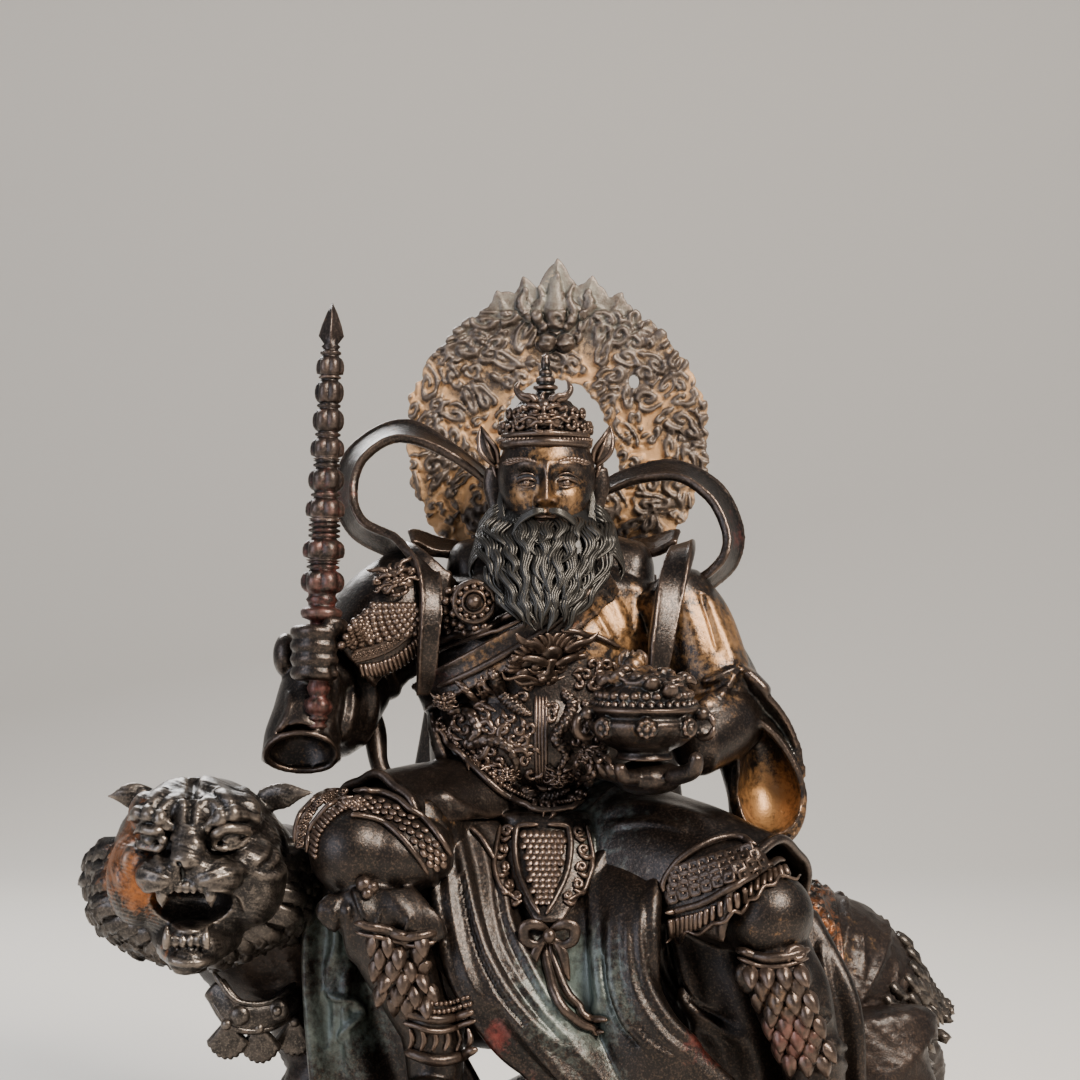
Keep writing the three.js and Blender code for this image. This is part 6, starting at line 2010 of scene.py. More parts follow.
def crown_trims():
    """What stands on the cap: two cords with beads between, the beast's mask with its horns, ear leaves and
    nine scrolls at each side."""
    x = HEAD[0] - 0.2
    made = []
    for z, wide in ((192.2, 0.9), (194.2, 0.55)):
        made.append(strand(
            [
                (x - 10.4, -6.2, z), (x - 7.6, -11.6, z + 0.1), (x, -14.9, z + 0.4), (x + 7.6, -11.6, z + 0.1),
                (x + 10.4, -6.2, z)
            ],
            (wide, wide * 1.2, wide * 1.35, wide * 1.2, wide), 14, 80
        ))
    turns = np.linspace(-1.25, 1.25, 27)
    band_beads = xyz(x + 11.1 * np.sin(turns), HEAD[1] - 11.1 * np.cos(turns), np.full(27, 193.2))
    outs = xyz(np.sin(turns), -np.cos(turns), 0 * turns)
    made.append(set_on(BEAD, band_beads, np.broadcast_to((0.0, 0, 1), band_beads.shape), outs, 0.55))
    made.append(
        set_on(
            beast(9), np.array([(0.8, -12.8, 198.4)]), np.array([(0.0, 0.16, 1)]), np.array([(0, -1.0, 0.16)]),
            5.4
        )
    )
    for s in (-1, 1):
        made += [
            strand(
                [
                    (0.8 + 2.4 * s, -13.0, 202.0), (0.8 + 4.8 * s, -12.6, 203.0), (0.8 + 6.2 * s, -11.6, 204.8),
                    (0.8 + 5.4 * s, -11.2, 207)
                ],
                (1.1, 1.05, 0.8, 0.2), 14, 28
            ),
            limb(
                [
                    (x + 11.6 * s, -3.6, 187.6), (x + 13.4 * s, -4.6, 190.6), (x + 14.6 * s, -4, 194.0),
                    (x + 15.0 * s, -3, 196.6)
                ],
                (0.9, 2.1, 1.6, 0.3), (0.7, 0.8, 0.7, 0.3), 24, 40
            ),
            strand(
                [
                    (x + 10.9 * s, -5.0, 187.4), (x + 11.4 * s, -5.9, 191.0), (x + 13.6 * s, -5.4, 194.2),
                    (x + 15.1 * s, -3.8, 196.8)
                ],
                (0.5, 0.6, 0.55, 0.2), 10, 36
            ),
            strand(
                [
                    (x + 11.6 * s, -4.4, 186.9), (x + 15.0 * s, -5.0, 190.2), (x + 15.6 * s, -4.2, 193.6),
                    (x + 15.1 * s, -3.6, 196.8)
                ],
                (0.5, 0.6, 0.55, 0.2), 10, 36
            ),
            strand(
                [(x + 12.0 * s, -5.0, 188.4), (x + 13.3 * s, -5.6, 191.6), (x + 14.4 * s, -4.6, 194.4)],
                (0.3, 0.5, 0.2), 8, 24
            ),
        ]
        for k, (angle, height, size) in enumerate((
            (0.62, 196.6, 1.9), (0.9, 195.6, 1.8), (1.2, 196.2, 1.7), (0.75, 199.2, 1.6), (1.1, 199.0, 1.5),
            (1.55, 195.8, 1.7), (1.9, 196.2, 1.7), (2.3, 195.8, 1.7), (2.7, 196.2, 1.7)
        )):
            ring = np.interp(height, (195, 198, 200.5), (9.9, 9.2, 8.0)) + 0.3
            centre = np.array((x + s * ring * np.sin(angle), HEAD[1] - ring * np.cos(angle), height))
            side = np.array((np.cos(angle) * s, np.sin(angle), 0))
            out = np.array((s * np.sin(angle), -np.cos(angle), 0.2))
            q = np.linspace(0, 1, 8)
            a, r = 1.3 * k + 8.0 * q, size * (1 - 0.8 * q)
            aside, above, lift = (r * np.cos(a))[:, None], (r * np.sin(a))[:, None], (0.3 + 0.5 * q)[:, None]
            path = centre + side * aside + np.array((0, 0, 1.0)) * above + out * lift
            made.append(strand(path, (0.35, 0.62, 0.6, 0.5), 9, 34))
    return made


piece("god_crown", merged([crown_cap(), *crown_trims()]), 55000, dark_brass, "god",
      {"gilt": lambda p: blobs(p, [((1, -15, 199), 8, 0.25)])})


# The god's beard: long wavy strands in tufts that lie in rows over the chest, with a moustache and sideburns,
# chased after casting and painted a cold grey-green.
def beard_place(a, z, lift):
    """A point of the beard: `a` across its half width, which swells and then narrows to a point downwards."""
    wide = np.interp(
        z, (149, 150.6, 156, 162, 167, 170.5, 174, 178, 184),
        (3.6, 6.6, 11.6, 14.2, 15.8, 16.6, 14.8, 12.0, 11.4)
    )
    front = np.interp(z, (149, 156, 162, 170, 173, 178, 184), (-22.6, -22.6, -21.6, -18.8, -16.6, -13.2, -11))
    back = 1 - np.sqrt(np.maximum(0, 1 - (0.97 * a) ** 2))
    turn = np.arcsin(np.clip(0.97 * a, -1, 1))
    x = HEAD[0] + a * wide + lift * np.sin(turn)
    return xyz(x, front + 11 * back - lift * np.cos(turn), z)


def hair(run, radius, sides=6, steps=22):
    """One strand through points (a, z, lift) of the beard, thickest at its middle and drawn to a point."""
    a, z, lift = np.asarray(run, float).T
    flat = curve(xyz(a, z, lift), np.linspace(0, 1, 11))
    return strand(
        beard_place(flat[:, 0], flat[:, 1], flat[:, 2]), (radius * 0.7, radius, radius * 0.85, radius * 0.15),
        sides,
        steps, DEEP
    )


def tuft(seed, a, top, length, spread, number, lift, radius):
    """Strands that part at the top, wind in an S and meet at one hooked, lifted tip."""
    made = []
    lean = 0.2 * a + seed.uniform(-0.07, 0.07)
    phase, hook = seed.uniform(0, 6.28), seed.choice((-1.0, 1.0)) * seed.uniform(0.04, 0.09)
    for k in np.linspace(-1, 1, number):
        run = []
        for t in np.linspace(0, 1, 9):
            meet = (1 - t) ** 0.75
            across = a + spread * k * meet - lean * t + 0.04 * np.sin(
                2 * np.pi * 1.15 * t + phase
            ) + hook * t**4
            run.append((
                across, top + (1 - k * k) * 0.5 - length * t * (1 - 0.1 * k * k),
                lift + 0.9 - 0.8 * k * k + 1.0 * np.sin(np.pi * t) + 1.0 * t**3
            ))
        made.append(hair(run, radius * seed.uniform(0.8, 1.2)))
    return made


def beard_forms():
    """The beard's ground, its tufts in six rows, the locks that flare at both sides, the moustache, the
    sideburns and the hair under the lip."""
    def ground(u, v, w):
        a, z = 1.72 * u - 0.86, 181 - 29 * v
        return beard_place(np.clip(a, -1, 1), z, 0.1 - (0.5 - w) * 5)

    made = [plate(50, 60, ground)]
    seed = np.random.default_rng(12)
    rows = (
        (174.6, 6.5, 9, 0.96, 0.0), (172.5, 8.5, 11, 0.97, 0.2), (168.5, 9.5, 11, 0.95, 0.55),
        (164.5, 9.5, 11, 0.92, 0.85), (160.5, 9.2, 9, 0.86, 1.1), (157, 8.0, 6, 0.7, 1.25)
    )
    for top, length, number, reach, lift in rows:
        for i in range(number):
            a = reach * (2 * (i + 0.5) / number - 1) + seed.uniform(-0.04, 0.04)
            made += tuft(
                seed, a, top + seed.uniform(-1.2, 1.2) - 1.0 * a * a, length * seed.uniform(0.8, 1.2),
                0.95 * reach / number, 5, lift + seed.uniform(-0.15, 0.25), 0.42
            )
    for s in (-1, 1):
        for i in range(7):
            z = 176.5 - 1.5 * i
            curl = [on_face((10.6 + 0.1 * i) * s, -8.4 - 0.5 * i, z + 2.2),
                    on_face((12.6 + 0.45 * i) * s, -8.6 - 0.5 * i, z + 0.8),
                    on_face((14.6 + 0.45 * i) * s, -7.4 - 0.5 * i, z - 1.6),
                    on_face((15.6 + 0.35 * i) * s, -7.0 - 0.5 * i, z - 3.4),
                    on_face((15.2 + 0.3 * i) * s, -8.0 - 0.5 * i, z - 5.4)]
            for k in range(3):
                made.append(
                    strand(
                        [np.add(p, (0, -0.7 * k, -0.8 * k)) for p in curl], (0.3, 0.5, 0.5, 0.4, 0.08), 6, 24,
                        DEEP
                    )
                )
        for i in range(4):
            lip = [on_face(0.5 * s, -17.6 - 0.1 * i, 177.1 - 0.2 * i),
                   on_face(2.8 * s, -17.6 - 0.12 * i, 176.9 - 0.3 * i),
                   on_face((5.2 + 0.2 * i) * s, -16.6 - 0.1 * i, 175.6 - 0.5 * i),
                   on_face((7.0 + 0.3 * i) * s, -16.2, 173.2 - 0.7 * i),
                   on_face((7.6 + 0.5 * i) * s, -17.2, 170.2 - 0.8 * i)]
            made.append(strand(lip, (0.25, 0.48, 0.5, 0.42, 0.08), 7, 30, DEEP))
        for i in range(8):
            side = [
                on_face((10.5 - 0.12 * i) * s, -7.4 - 0.6 * i, 182.5 - 0.9 * i),
                on_face((11.1 - 0.1 * i) * s, -8.4 - 0.6 * i, 178.8 - 0.9 * i),
                on_face((11.6 + 0.1 * i) * s, -9.2 - 0.7 * i, 174.8 - 0.8 * i)
            ]
            made.append(strand(side, (0.2, 0.42, 0.12), 6, 20, DEEP))
        for i in range(4):
            chin = [
                on_face((0.4 + 0.75 * i) * s, -17.0 + 0.1 * i, 172.7 - 0.1 * i),
                on_face((0.9 + 1.0 * i) * s, -18.4, 171 - 0.2 * i), on_face((0.5 + 1.2 * i) * s, -19.6, 168.4)
            ]
            made.append(strand(chin, (0.3, 0.5, 0.1), 7, 20, DEEP))
    return made


# Brass under cold grey-green paint. The strands' backs are paler: partly paint worn off them, partly a painted
# highlight along each strand.
painted_brass = patina(
    "cold_painted_brass", ("#0e0d0c", "#1a1816"), "#45423d", "#6a5a3a", "#262724", "#5a1c12", (0.28, 0.55)
)
piece("god_beard", merged(beard_forms()), 90000, painted_brass, "god",
      {"green": lambda p: np.full(len(p), 0.1)})


# The scarf and the cloak: a broad scarf with thick rolled edges that floats in a loop over each shoulder, cast
# with the figure; a cloak behind that widens downwards, and the socket that takes the mandorla's stem.
LOOP_LEFT = [(-8, 4, 181), (-21, 5, 191), (-33, 6, 196), (-43, 4, 190.5), (-45.8, 2, 181), (-42.5, -2, 173),
             (-34, -5, 168.5), (-27, -10, 164.5), (-25, -15.5, 156), (-25.5, -16.5, 146), (-26.5, -13, 134)]
LOOP_LEFT_WIDE = [(0.2, 1, 0.4), (-0.3, 0.9, 0.5), (0, 0.9, 0.5), (-0.4, 0.9, 0.3), (-0.5, 0.9, 0),
                  (-0.4, 0.9, -0.3),
                  (-0.3, 0.8, -0.5), (0.5, 0.8, 0), (1, 0.4, 0), (1, 0.3, 0), (1, 0.3, 0)]
LOOP_RIGHT = [
    (10, 6, 179), (20, 6, 184.5), (32, 5, 186.5), (41, 3, 181.5), (45.3, 1, 173), (44.6, -1, 166),
    (40, -2, 161),
    (34, 1, 158)
]
LOOP_RIGHT_WIDE = [
    (0, 0.6, 0.9), (0, 0.8, 0.7), (0.1, 0.9, 0.5), (0.4, 0.9, 0.3), (0.5, 0.9, 0), (0.4, 0.9, -0.2),
    (0.3, 0.8, -0.4),
    (0.2, 0.8, -0.4)
]


def scarf_forms():
    """Both loops with the ends that hang from them, the cloak, the collar, the socket and the tie round it."""
    made = [
        band(LOOP_LEFT, (5, 8, 9.5, 9.5, 9.5, 9, 8, 7, 5.5, 5, 4.5), LOOP_LEFT_WIDE, 1.5, 260, 34, 1.3, 0.25),
        band(LOOP_RIGHT, (3, 5, 8, 9.5, 9.5, 9, 7, 5), LOOP_RIGHT_WIDE, 1.5, 200, 34, 1.3, 0.25),
        band(
            [(34, 2, 169), (32.5, -6, 166), (30, -12.4, 158), (28, -16.4, 148), (26.8, -17.6, 139)],
            (6, 7, 6.8, 6.2, 5), [(1, 0.1, 0.4), (1, -0.2, 0.3), (1, 0.3, 0.2), (1, 0.4, 0.1), (1, 0.4, 0.1)],
            2.2,
            90, 26, 0.9
        ),
        limb(
            [(-22, -4, 106), (-28, -6, 110.5), (-34, -5, 112), (-37.5, -3, 117), (-39, 1, 125), (-41, 3, 132)],
            (3, 3.2, 2.6, 2.2, 2.8, 2.4), (3.4, 2.2, 2.2, 2.4, 3, 2.6), 32, 80, 0.1
        ),
        drape(
            [(-24, 12, 162), (-28, 19, 130), (-34, 23, 98)], [(28, 12, 162), (32, 19, 130), (36, 23, 98)], 5,
            -1.4, 7,
            0, 0, 160, 80
        ),
        ball((1.95, 19, 149), (8.6, 8.6, 8.1), 44, 30),
    ]
    for s in (-1, 1):
        made.append(band([(1 + 7 * s, 9, 169), (1 + 17 * s, 11, 167.5), (1 + 26 * s, 10, 168.5),
                          (1 + 32 * s, 6, 171)], (8, 9, 9, 5),
                         [(0, 1, 0.1), (0, 1, 0.2), (0, 1, 0.4), (0, 1, 0.6)], 1.8, 80, 26, 1.0))
        for i in range(6):
            made.append(strand(
                [
                    (1.95 + 7.4 * s * np.cos(0.3 * i), 20 + 2.4 * np.sin(i), 149 - 6 + 2.4 * i),
                    (1.95 + 3 * s, 27, 144 + 2.2 * i), (1.95, 27.4, 143 + 2.6 * i)
                ],
                (0.7, 0.9, 0.5), 10, 20
            ))
    return made


def back_folds():
    """Long soft folds down the cloak behind, ridges and hollows by turns."""
    made = []
    for i in range(9):
        x = -22 + 5.6 * i
        path = [(x * 0.8 + 1, 15.5, 158), (x, 22.5, 130), (x * 1.2, 27.2, 100)]
        made.append((path, 2.0, 1.1 if i % 2 else -0.9))
    return made


scarf_points, scarf_faces = fused(scarf_forms(), 0.35, 2)
scarf_points, _ = raised(scarf_points, scarf_faces, back_folds())
piece("god_scarf", (scarf_points, scarf_faces), 50000, dark_brass, "god",
      {
          "gilt": lambda p: blobs(p, [((-33, 5, 195), 10, 0.2)]),
          "red": lambda p: blobs(
              p, [((-45, 2, 181), 9, 0.5), ((45, 1, 172), 9, 0.45), ((30, -12, 160), 9, 0.2)]
          )
      }, 0.8)


# The mandorla: a plate of clouds with a crown of flames, cast, sawn through round the head and drilled once at
# the right, fire-gilt on its ground and brown-grey on its relief. Its stem stands in the socket on the cloak.
HALO = np.array([4.2, 24.0, 194.4])
HALO_RADIUS = 35.6
HALO_THICK = 3.6
HALO_HOLE = (-2.2, 0.0)
HOLE_EDGE = [(0, 15.2), (20, 14.6), (45, 14.9), (60, 15.2), (90, 14.6), (120, 13.4), (142, 12.6), (160, 11.4),
             (180, 10.9), (200, 12.0), (226, 14.1),
             (270, 15), (300, 15.6), (320, 17.4), (335, 18.8), (348, 17.0), (360, 15.2)]
FLAMES = [
    (62, 1), (66, 4), (70, 1.5), (78, 5.4), (82.5, 2), (90, 9), (97.5, 2), (102, 5.4), (106, 1.5), (112, 4),
    (116, 1)
]


def halo_edge(angle):
    """The plate's outline, from its middle: the disc, the flame crown's points and a rim of small flames."""
    degrees = np.degrees(angle) % 360
    crown = np.interp(degrees, *np.transpose(FLAMES))
    waves = np.abs(np.sin(np.radians(degrees - 122) * 21.43 / 2)) ** 0.7
    scallop = 0.2 + 1.6 * waves * (0.8 + 0.2 * np.sin(7.3 * angle))
    lobes = 0.9 * np.abs(np.sin(31 * angle + np.sin(5 * angle))) ** 0.6
    return HALO_RADIUS + np.where((degrees > 62) & (degrees < 116), crown, scallop) + lobes - 0.6


def halo_plate():
    """A ring between the hole and the outline, closed round both edges; w goes round its section."""
    angle = np.linspace(0, 2 * np.pi, 1080, endpoint=False)
    x, z = halo_edge(angle) * np.cos(angle), halo_edge(angle) * np.sin(angle)
    ring = np.interp(np.degrees(angle), *np.transpose(HOLE_EDGE))
    ring = ring + 0.5 * np.abs(np.sin(7.5 * angle + 0.6)) ** 0.7
    hx, hz = HALO_HOLE[0] + ring * np.cos(angle), HALO_HOLE[1] + ring * np.sin(angle)
    steps = 40
    share = np.concatenate([np.linspace(0, 1, steps), np.ones(5), np.linspace(1, 0, steps), np.zeros(5)])
    side = np.concatenate(
        [np.full(steps, -1.0), np.linspace(-0.6, 0.6, 5), np.full(steps, 1.0), np.linspace(0.6, -0.6, 5)]
    )
    dish = 0.9 * np.sin(np.pi * np.clip(share, 0, 1))
    rows = xyz(HALO[0] + hx[None] + (x - hx)[None] * share[:, None],
               HALO[1] + side[:, None] * (HALO_THICK / 2 - 0.5) + (dish * side)[:, None] * 0.3 + 0 * x[None],
               HALO[2] + hz[None] + (z - hz)[None] * share[:, None])
    n, m = rows.shape[:2]
    ids = np.arange(n * m).reshape(n, m)
    a, b, c, d = ids, np.roll(ids, -1, 0), np.roll(np.roll(ids, -1, 0), -1, 1), np.roll(ids, -1, 1)
    faces = np.concatenate([np.stack([a, b, c], -1).reshape(-1, 3), np.stack([a, c, d], -1).reshape(-1, 3)])
    return outward(rows.reshape(-1, 3), faces)


def halo_clouds(points, facing):
    """Packed cloud scrolls on both faces. The face is bent by slow waves first; each cloud is an oval with its
    own lie, a ridge winds round it with phase hand · angle + 2π r / 2.3, and it ends at its own wavy radius, so
    that the ground shows between."""
    seed = np.random.default_rng(31)
    grid = np.array([(i + 0.5 * (j % 2), j * 0.87) for i in range(-8, 9) for j in range(-8, 9)]) * 5.7
    grid = grid[(np.hypot(*grid.T) > 11) & (np.hypot(*grid.T) < 38)]
    middles = grid + seed.uniform(-1.6, 1.6, grid.shape)
    sizes = seed.uniform(2.2, 4.3, len(grid))
    hands = seed.choice((-1.0, 1.0), len(grid))
    starts = seed.uniform(0, 6.28, len(grid))
    lies = seed.uniform(0, np.pi, len(grid))
    longer = seed.uniform(1.0, 1.7, len(grid))
    flat = points[:, [0, 2]] - HALO[[0, 2]]
    x, z = flat.T
    flat = flat + 0.9 * np.stack(
        [np.sin(z / 2.6 + 1.3 * np.sin(x / 4.1)), np.sin(x / 2.9 + 1.1 * np.sin(z / 3.7))], -1
    )
    gap = (flat[:, None] - middles[None]).astype(np.float32)
    c, s = np.cos(lies), np.sin(lies)
    gap = np.stack(
        [(gap[..., 0] * c + gap[..., 1] * s) / longer, (gap[..., 1] * c - gap[..., 0] * s) * np.sqrt(longer)],
        -1
    )
    far = np.sqrt((gap**2).sum(-1))
    own = np.argmin(far / sizes, axis=1)
    rows = np.arange(len(points))
    r, turn = far[rows, own], np.arctan2(gap[rows, own, 1], gap[rows, own, 0])
    wobble = 1 + 0.22 * np.sin(3 * turn + starts[own]) + 0.14 * np.sin(5 * turn - starts[own])
    inside = np.clip((sizes[own] * wobble - r) / 0.6, 0, 1)
    ridge = 0.5 + 0.5 * np.cos(hands[own] * turn + 2 * np.pi * r / 2.3 + starts[own])
    high = inside * inside * (3 - 2 * inside) * (0.35 + 1.0 * ridge**0.8)
    return high * np.clip(np.abs(facing[:, 1]) * 1.6 - 0.5, 0, 1)


def halo_ribbons():
    """Wavy ribbons that run from cloud to cloud."""
    lines = []
    seed = np.random.default_rng(8)
    for i in range(84):
        turn, far = 2.4 * i, 15.5 + 19 * np.sqrt(((i * 0.618) % 1))
        lean = seed.uniform(-0.6, 0.6) + np.pi / 2
        t = np.linspace(-1, 1, 9)
        way, wave = turn + lean, 1.3 * np.sin(4.2 * t)
        x = HALO_HOLE[0] * (36 - far) / 20 + far * np.cos(turn) + 5.2 * t * np.cos(way) + wave * np.cos(way + 1.57)
        z = HALO_HOLE[1] * (36 - far) / 20 + far * np.sin(turn) + 5.2 * t * np.sin(way) + wave * np.sin(way + 1.57)
        for side in (-1, 1):
            lines.append((xyz(HALO[0] + x, HALO[1] + side * HALO_THICK / 2 + 0 * t, HALO[2] + z), 0.8, 0.65))
    return lines


def flame_lines():
    """Three chased lines up each tall flame of the outline, on both faces, that meet at its point."""
    lines = []
    for degrees, high in FLAMES:
        if high < 3:
            continue
        turn = np.radians(degrees)
        out, side = np.array([np.cos(turn), np.sin(turn)]), np.array([-np.sin(turn), np.cos(turn)])
        base = HALO_RADIUS - 3.5
        for shift, bend in ((-1.4, 1), (0, 0), (1.4, -1)):
            t = np.linspace(0, 1, 8)
            reach = base + (high + 2.6) * t
            across = shift * (1 - t) + 0.35 * bend * np.sin(np.pi * t)
            flat = out[None] * reach[:, None] + side[None] * across[:, None]
            for face_side in (-1, 1):
                lines.append((
                    xyz(
                        HALO[0] + flat[:, 0], HALO[1] + face_side * HALO_THICK / 2 + 0 * t, HALO[2] + flat[:, 1]
                    ),
                    0.6, 0.9
                ))
    return lines


def halo_forms():
    """The plate, its stem, and on its top two pearls, a flame between them and two more at each side."""
    stem = plate(
        20, 40, lambda u, v, w: xyz(HALO[0] - 8 + 11.5 * u, HALO[1] + w * HALO_THICK, HALO[2] - 45 + 16 * v)
    )
    made = [halo_plate(), stem]
    for s in (-1, 1):
        made.append(ball((4.0 + 2.25 * s, 22.0, 218.1), (2.2, 2.3, 2.2), 32, 22))
    made.append(limb(
        [(3.9, 22.4, 221.2), (3.7, 21.7, 226), (3.7, 22.2, 231.4), (3.7, 23, 236.4)], (2.0, 2.6, 1.7, 0.4),
        (1.0, 1.3, 1.0, 0.4), 28, 40
    ))
    for s in (-1, 1):
        made.append(strand(
            [
                (3.8 + 2.5 * s, 22.4, 221), (3.8 + 4.6 * s, 22, 225), (3.8 + 3.2 * s, 22, 229),
                (3.8 + 4.4 * s, 22.4, 232.4)
            ],
            (0.9, 1.2, 0.9, 0.3), 14, 30
        ))
        made.append(strand(
            [(3.8 + 6 * s, 22.4, 224), (3.8 + 8.6 * s, 22, 227.6), (3.8 + 7.4 * s, 22.2, 231.2)],
            (0.9, 1.1, 0.3), 14,
            30
        ))
    return made


halo_points, halo_faces = fused(halo_forms(), 0.3, 1)
drill = limb([HALO + (18.6, -4, 14.4), HALO + (18.9, 4, 14.2)], (1.3, 1.3), (1.8, 1.8), 20, 12, 0.05, FLAT)
halo_points, halo_faces = cut_out((halo_points, halo_faces), drill)
halo_facing = normals_of(halo_points, halo_faces)
low_part = np.clip((halo_points[:, 2] - 160) / 4, 0, 1) * (halo_points[:, 2] < 226)
halo_rise = halo_clouds(halo_points, halo_facing) * low_part
halo_points, _ = raised(halo_points, halo_faces, halo_ribbons() + flame_lines())
halo_points = eased(halo_points + halo_facing * halo_rise[:, None], halo_faces, 1)


def halo_ground(points):
    """Gilding on the ground between the clouds: full where a point is no further out than the plate's face,
    times 0.4 + 0.9 of a patch made by the product of two slow waves, and less towards the top."""
    x, y, z = points.T
    ground = np.clip(0.75 - 0.55 * (np.abs(y - HALO[1]) - HALO_THICK / 2 + 0.2), 0.1, 0.75)
    patch = 0.5 + 0.5 * np.sin(x / 5.3 + 1.7 * np.sin(z / 6.1)) * np.sin(z / 4.7 + 1.3)
    return ground * (0.4 + 0.9 * patch) * np.clip((232 - z) / 26, 0.2, 1)


gilt_brass = patina(
    "fire_gilt_brass", ("#443931", "#63574e"), "#8a7d73", "#cda67a", "#78766b", "#5a1c12", (0.42, 0.72)
)
piece("mandorla_clouds", (halo_points, halo_faces), 105000, gilt_brass, "mandorla",
      {"gilt": halo_ground, "green": lambda p: np.clip((p[:, 2] - 205) / 60, 0, 0.6)})


# The rod: a ringed hard whip, cast round its stem: lobed beads with stacked rings between them, a guard over
# the fist, a faceted spike at its tip and a knobbed foot. Brass under rubbed dark red lacquer.
WHIP_FOOT = np.array([-50.5, -22.0, 127.0])
WHIP_TIP = np.array([-47.5, -16.0, 224.5])
WHIP_WAY = unit(WHIP_TIP - WHIP_FOOT)
WHIP_SIDE = unit(np.cross(WHIP_WAY, DEEP))
WHIP_FRONT = np.cross(WHIP_SIDE, WHIP_WAY)


def whip_form():
    """Rings (height, radius, lobes) up the rod; the section is r (1 - lobes / 2 + lobes |cos 3 angle|), and a
    square with blunt corners on the spike."""
    rings = [(127.0, 0, 0), (127.2, 1.5, 0), (127.8, 2.3, 0), (128.5, 1.5, 0), (129.1, 1.9, 0), (129.6, 2.5, 0),
             (130.2, 1.9, 0), (131.0, 2.9, 0.08),
             (132.3, 3.3, 0.1), (133.6, 2.9, 0.08), (134.4, 1.9, 0), (135.0, 2.2, 0), (136.4, 2.6, 0.1),
             (137.8, 2.2, 0), (138.4, 2.4, 0), (139.6, 2.5, 0),
             (150.8, 2.5, 0), (151.6, 2.6, 0), (152.2, 4.3, 0), (153.0, 4.7, 0.02), (153.8, 4.7, 0.02),
             (154.5, 4.1, 0), (154.9, 3.0, 0), (155.6, 3.1, 0), (156.4, 3.6, 0.04),
             (157.0, 3.2, 0), (157.5, 3.1, 0)]
    beads = [
        (160.4, 4.43), (167.5, 4.27), (176.8, 3.98), (183.6, 3.65), (190.6, 3.45), (197.2, 3.2), (203.7, 2.95),
        (209.3, 2.84)
    ]
    for i, (z, r) in enumerate(beads):
        rings += [
            (z - 2.5, 0.74 * r, 0), (z - 2.1, 0.88 * r, 0.1), (z - 1.4, 0.98 * r, 0.18),
            (z - 0.5, 1.02 * r, 0.22),
            (z + 0.5, 1.02 * r, 0.22), (z + 1.4, 0.98 * r, 0.18), (z + 2.1, 0.88 * r, 0.1),
            (z + 2.5, 0.74 * r, 0)
        ]
        top = beads[i + 1][0] - 2.1 if i < 7 else 213.2
        for ring_z in np.arange(z + 2.9, top - 0.6, 1.2):
            rings += [
                (ring_z, 0.66 * r, 0), (ring_z + 0.3, 0.82 * r, 0.08), (ring_z + 0.75, 0.82 * r, 0.08),
                (ring_z + 1.05, 0.66 * r, 0)
            ]
    rings += [
        (213.6, 1.7, 0), (214.2, 2.2, 0), (214.8, 1.6, 0), (216.6, 2.4, 0.0), (219.0, 1.9, 0.0),
        (222.0, 1.0, 0.0),
        (224.4, 0, 0)
    ]
    rings = sorted(rings)
    high, wide, lobes = np.array(rings).T
    t = np.linspace(0, 1, len(rings))

    def place(angle, at):
        i = np.clip(np.round(at * (len(rings) - 1)).astype(int), 0, len(rings) - 1)
        spike = high[i] > 215
        ring = wide[i] * (1 - 0.5 * lobes[i] + lobes[i] * np.abs(np.cos(3 * angle)))
        ring = ring * np.where(spike, 0.86 / np.maximum(np.cos((angle % (np.pi / 2)) - np.pi / 4), 0.7), 1)
        up = (high[i] - 127.0) / WHIP_WAY[2]
        aside, ahead = (ring * np.cos(angle))[..., None], (ring * np.sin(angle))[..., None]
        return WHIP_FOOT + WHIP_WAY * up[..., None] + WHIP_SIDE * aside + WHIP_FRONT * ahead

    angle = 2 * np.pi * np.arange(64) / 64
    at = t[1:-1]
    body = place(*np.broadcast_arrays(angle[None], at[:, None]))
    return closed(body, place(np.zeros(1), np.zeros(1))[0], place(np.zeros(1), np.ones(1))[0])


lacquered_brass = patina(
    "red_lacquered_brass", ("#1a1310", "#312620"), "#75645a", "#a37c4c", "#58635a", "#5a261e", (0.26, 0.58)
)
piece("whip_rod", whip_form(), 20000, lacquered_brass, "whip",
      {
          "red": lambda p: np.clip(0.55 - (p[:, 2] - 150) * 0.005, 0.15, 0.55),
          "gilt": lambda p: np.full(len(p), 0.1)
      })


# The treasure bowl: a footed bowl cast with its heap of ingots, coins and pearls; rosettes and scroll handles
# stand on its belly. It stands on the palm.
BOWL = np.array([23.0, -36.0, 121.5])


def bowl_vessel():
    """The bowl with its foot and rolled lip, turned: rings of (height, radius)."""
    outline = [(0, 6.2), (0.4, 6.4), (1.0, 6.0), (1.8, 5.7), (2.4, 6.6), (3.2, 8.6), (4.4, 10.2), (6.0, 11.7),
               (7.6, 12.5), (8.6, 12.4), (9.3, 11.7),
               (9.9, 11.5), (10.5, 12.2), (11.2, 12.9), (11.8, 12.8), (12.2, 12.0), (12.0, 11.0), (11.4, 9.8)]
    high, wide = np.array(outline).T
    share = np.linspace(0.05, 0.9, len(high))

    def lathe(angle, t):
        ring = np.interp(t, [0, *share, 1], [0, *wide, 0])
        rise = np.interp(t, [0, *share, 1], [0, *high, 11.4])
        return BOWL + xyz(ring * np.cos(angle), ring * np.sin(angle), rise)

    return molded(96, 130, lathe)


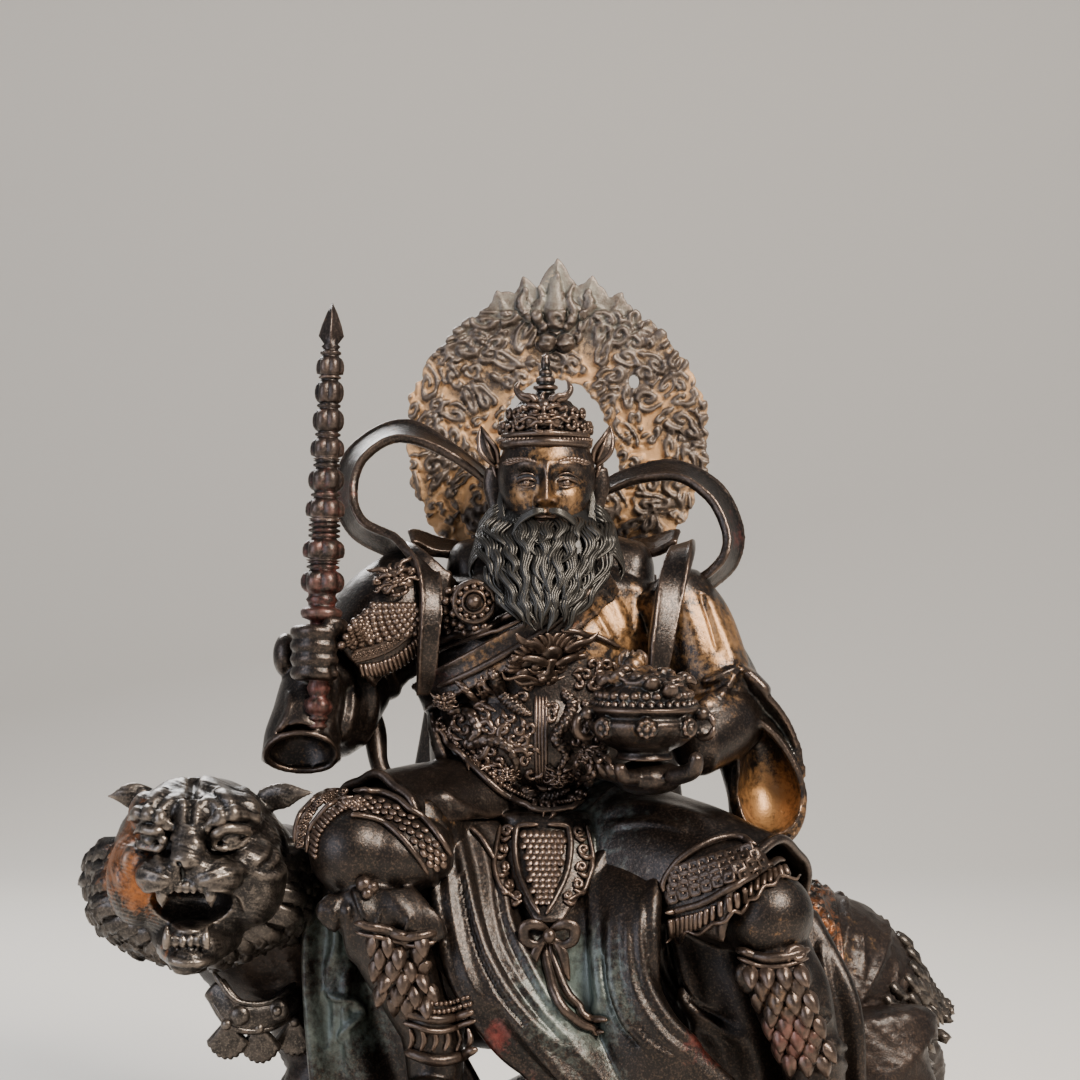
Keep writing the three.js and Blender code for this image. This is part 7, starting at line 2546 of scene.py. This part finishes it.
def coin(x, y, z, tilt):
    """A coin with a raised rim, tilted about x, at a place from the bowl's middle."""
    def place(angle, t):
        ring = np.interp(t, [0, 0.12, 0.2, 0.5, 0.8, 0.88, 1], [0, 1.4, 2.1, 2.3, 2.1, 1.4, 0])
        rise = np.interp(t, [0, 0.12, 0.2, 0.8, 0.88, 1], [0.2, 0.2, 0.45, -0.45, -0.2, -0.2])
        px, py = ring * np.cos(angle), ring * np.sin(angle)
        return BOWL + xyz(
            x + px, y + py * np.cos(tilt) - rise * np.sin(tilt),
            z + 0.8 + py * np.sin(tilt) + rise * np.cos(tilt)
        )

    return molded(28, 24, place)


def bowl_heap():
    """Boat ingots, coins, pearls and a flaming pearl in the middle."""
    made = [ball(BOWL + (0, 0, 13), (10.6, 10.6, 7.0), 48, 32)]
    seed = np.random.default_rng(9)
    for ring, rise, count, size in ((11.2, 12.6, 34, 0.85), (10.2, 14.4, 26, 1.1), (8.2, 17.4, 20, 1.2)):
        for k in range(count):
            a = 2 * np.pi * (k + 0.5 * (ring < 11)) / count
            made.append(
                ball(BOWL + (ring * np.cos(a), ring * np.sin(a), rise), (size, size, size * 0.9), 14, 10)
            )
    for i in range(30):
        turn, far = seed.uniform(0, 6.28), 10.2 * np.sqrt(seed.uniform(0, 1))
        x, y = far * np.cos(turn), far * np.sin(turn)
        z = 12.6 + 6.6 * np.sqrt(max(0, 1 - (far / 11.4) ** 2))
        kind = i % 4
        a = seed.uniform(0, 6.28)
        if kind == 0:
            way = np.array([np.cos(a), np.sin(a), 0]) * 3.0
            centre = BOWL + (x, y, z)
            made.append(limb(
                [
                    centre - way + (0, 0, 1.5), centre - way * 0.5 + (0, 0, -0.1),
                    centre + way * 0.5 + (0, 0, -0.1),
                    centre + way + (0, 0, 1.5)
                ],
                (1.4, 1.9, 1.9, 1.4), (0.7, 1.3, 1.3, 0.7), 20, 24, up=FLAT
            ))
            made.append(ball(centre + (0, 0, 1.0), (1.5, 1.3, 1.2), 18, 12))
        elif kind == 1:
            made.append(ball(BOWL + (x, y, z + 0.6), (1.5, 1.5, 1.5), 18, 12))
        elif kind == 2:
            made.append(coin(x, y, z, seed.uniform(-0.7, 0.7)))
        else:
            made.append(strand(
                [BOWL + (x - 2, y, z), BOWL + (x, y - 1, z + 1.6), BOWL + (x + 2, y, z + 0.6)], (1.0, 1.2, 0.6),
                14,
                20
            ))
    made.append(ball(BOWL + (-2.5, 0, 20.4), (2.7, 2.6, 2.7), 32, 22))
    for i in range(5):
        a = -0.6 + 0.3 * i
        made.append(strand(
            [
                BOWL + (-2.5 + 2.6 * np.sin(2.4 * a), -0.6, 20.6),
                BOWL + (-2.5 + 2.8 * np.sin(2 * a), -0.4, 22.6),
                BOWL + (-2.5 + 1.6 * np.sin(a * 2.2), 0, 24.4)
            ],
            (0.7, 0.8, 0.25), 10, 16
        ))
    return made


def bowl_trims():
    """Three rosettes of eight pearls on the belly, and a ring handle at each side under a knob."""
    made = []
    for i in range(3):
        turn = 0.8 * (i - 1)
        out, side = np.array([np.sin(turn), -np.cos(turn), 0]), np.array([np.cos(turn), np.sin(turn), 0])
        centre = BOWL + (12.3 * np.sin(turn), -12.3 * np.cos(turn), 7.6)
        made.append(ball(centre, (2.5, 1.1, 2.5), 28, 18))
        for a in 2 * np.pi * np.arange(8) / 8:
            pearl = centre + out * 0.9 + side * 1.6 * np.cos(a) + (0, 0, 1.6 * np.sin(a))
            made.append(ball(pearl, (0.62, 0.62, 0.62), 10, 8))
        made.append(ball(centre + out * 1.2, (0.8, 0.8, 0.8), 12, 8))
    for s in (-1, 1):
        ring = []
        for a in np.linspace(0, 2 * np.pi, 13):
            across, down = s * 13.1 + 2.6 * np.cos(0.7) * np.cos(a), -3.5 - s * 2.6 * np.sin(0.7) * np.cos(a)
            ring.append(BOWL + (across, down, 7.66 + 2.6 * np.sin(a)))
        made.append(strand(ring, (0.85, 0.9, 0.95, 0.9, 0.85), 14, 60, (0, 1, 0)))
        made.append(ball(BOWL + (s * 12.6, -4.2, 10.4), (1.7, 1.8, 1.6), 20, 14))
    return made


bowl_form = fused([bowl_vessel(), *bowl_heap(), *bowl_trims()], 0.25, 1)
piece("bowl_and_treasure", bowl_form, 46000, dark_brass, "treasure_bowl",
      {"gilt": lambda p: blobs(p, [(BOWL + (0, 0, 18), 10, 0.45), (BOWL + (0, -12, 7), 6, 0.25)])})


bpy.context.view_layer.update()
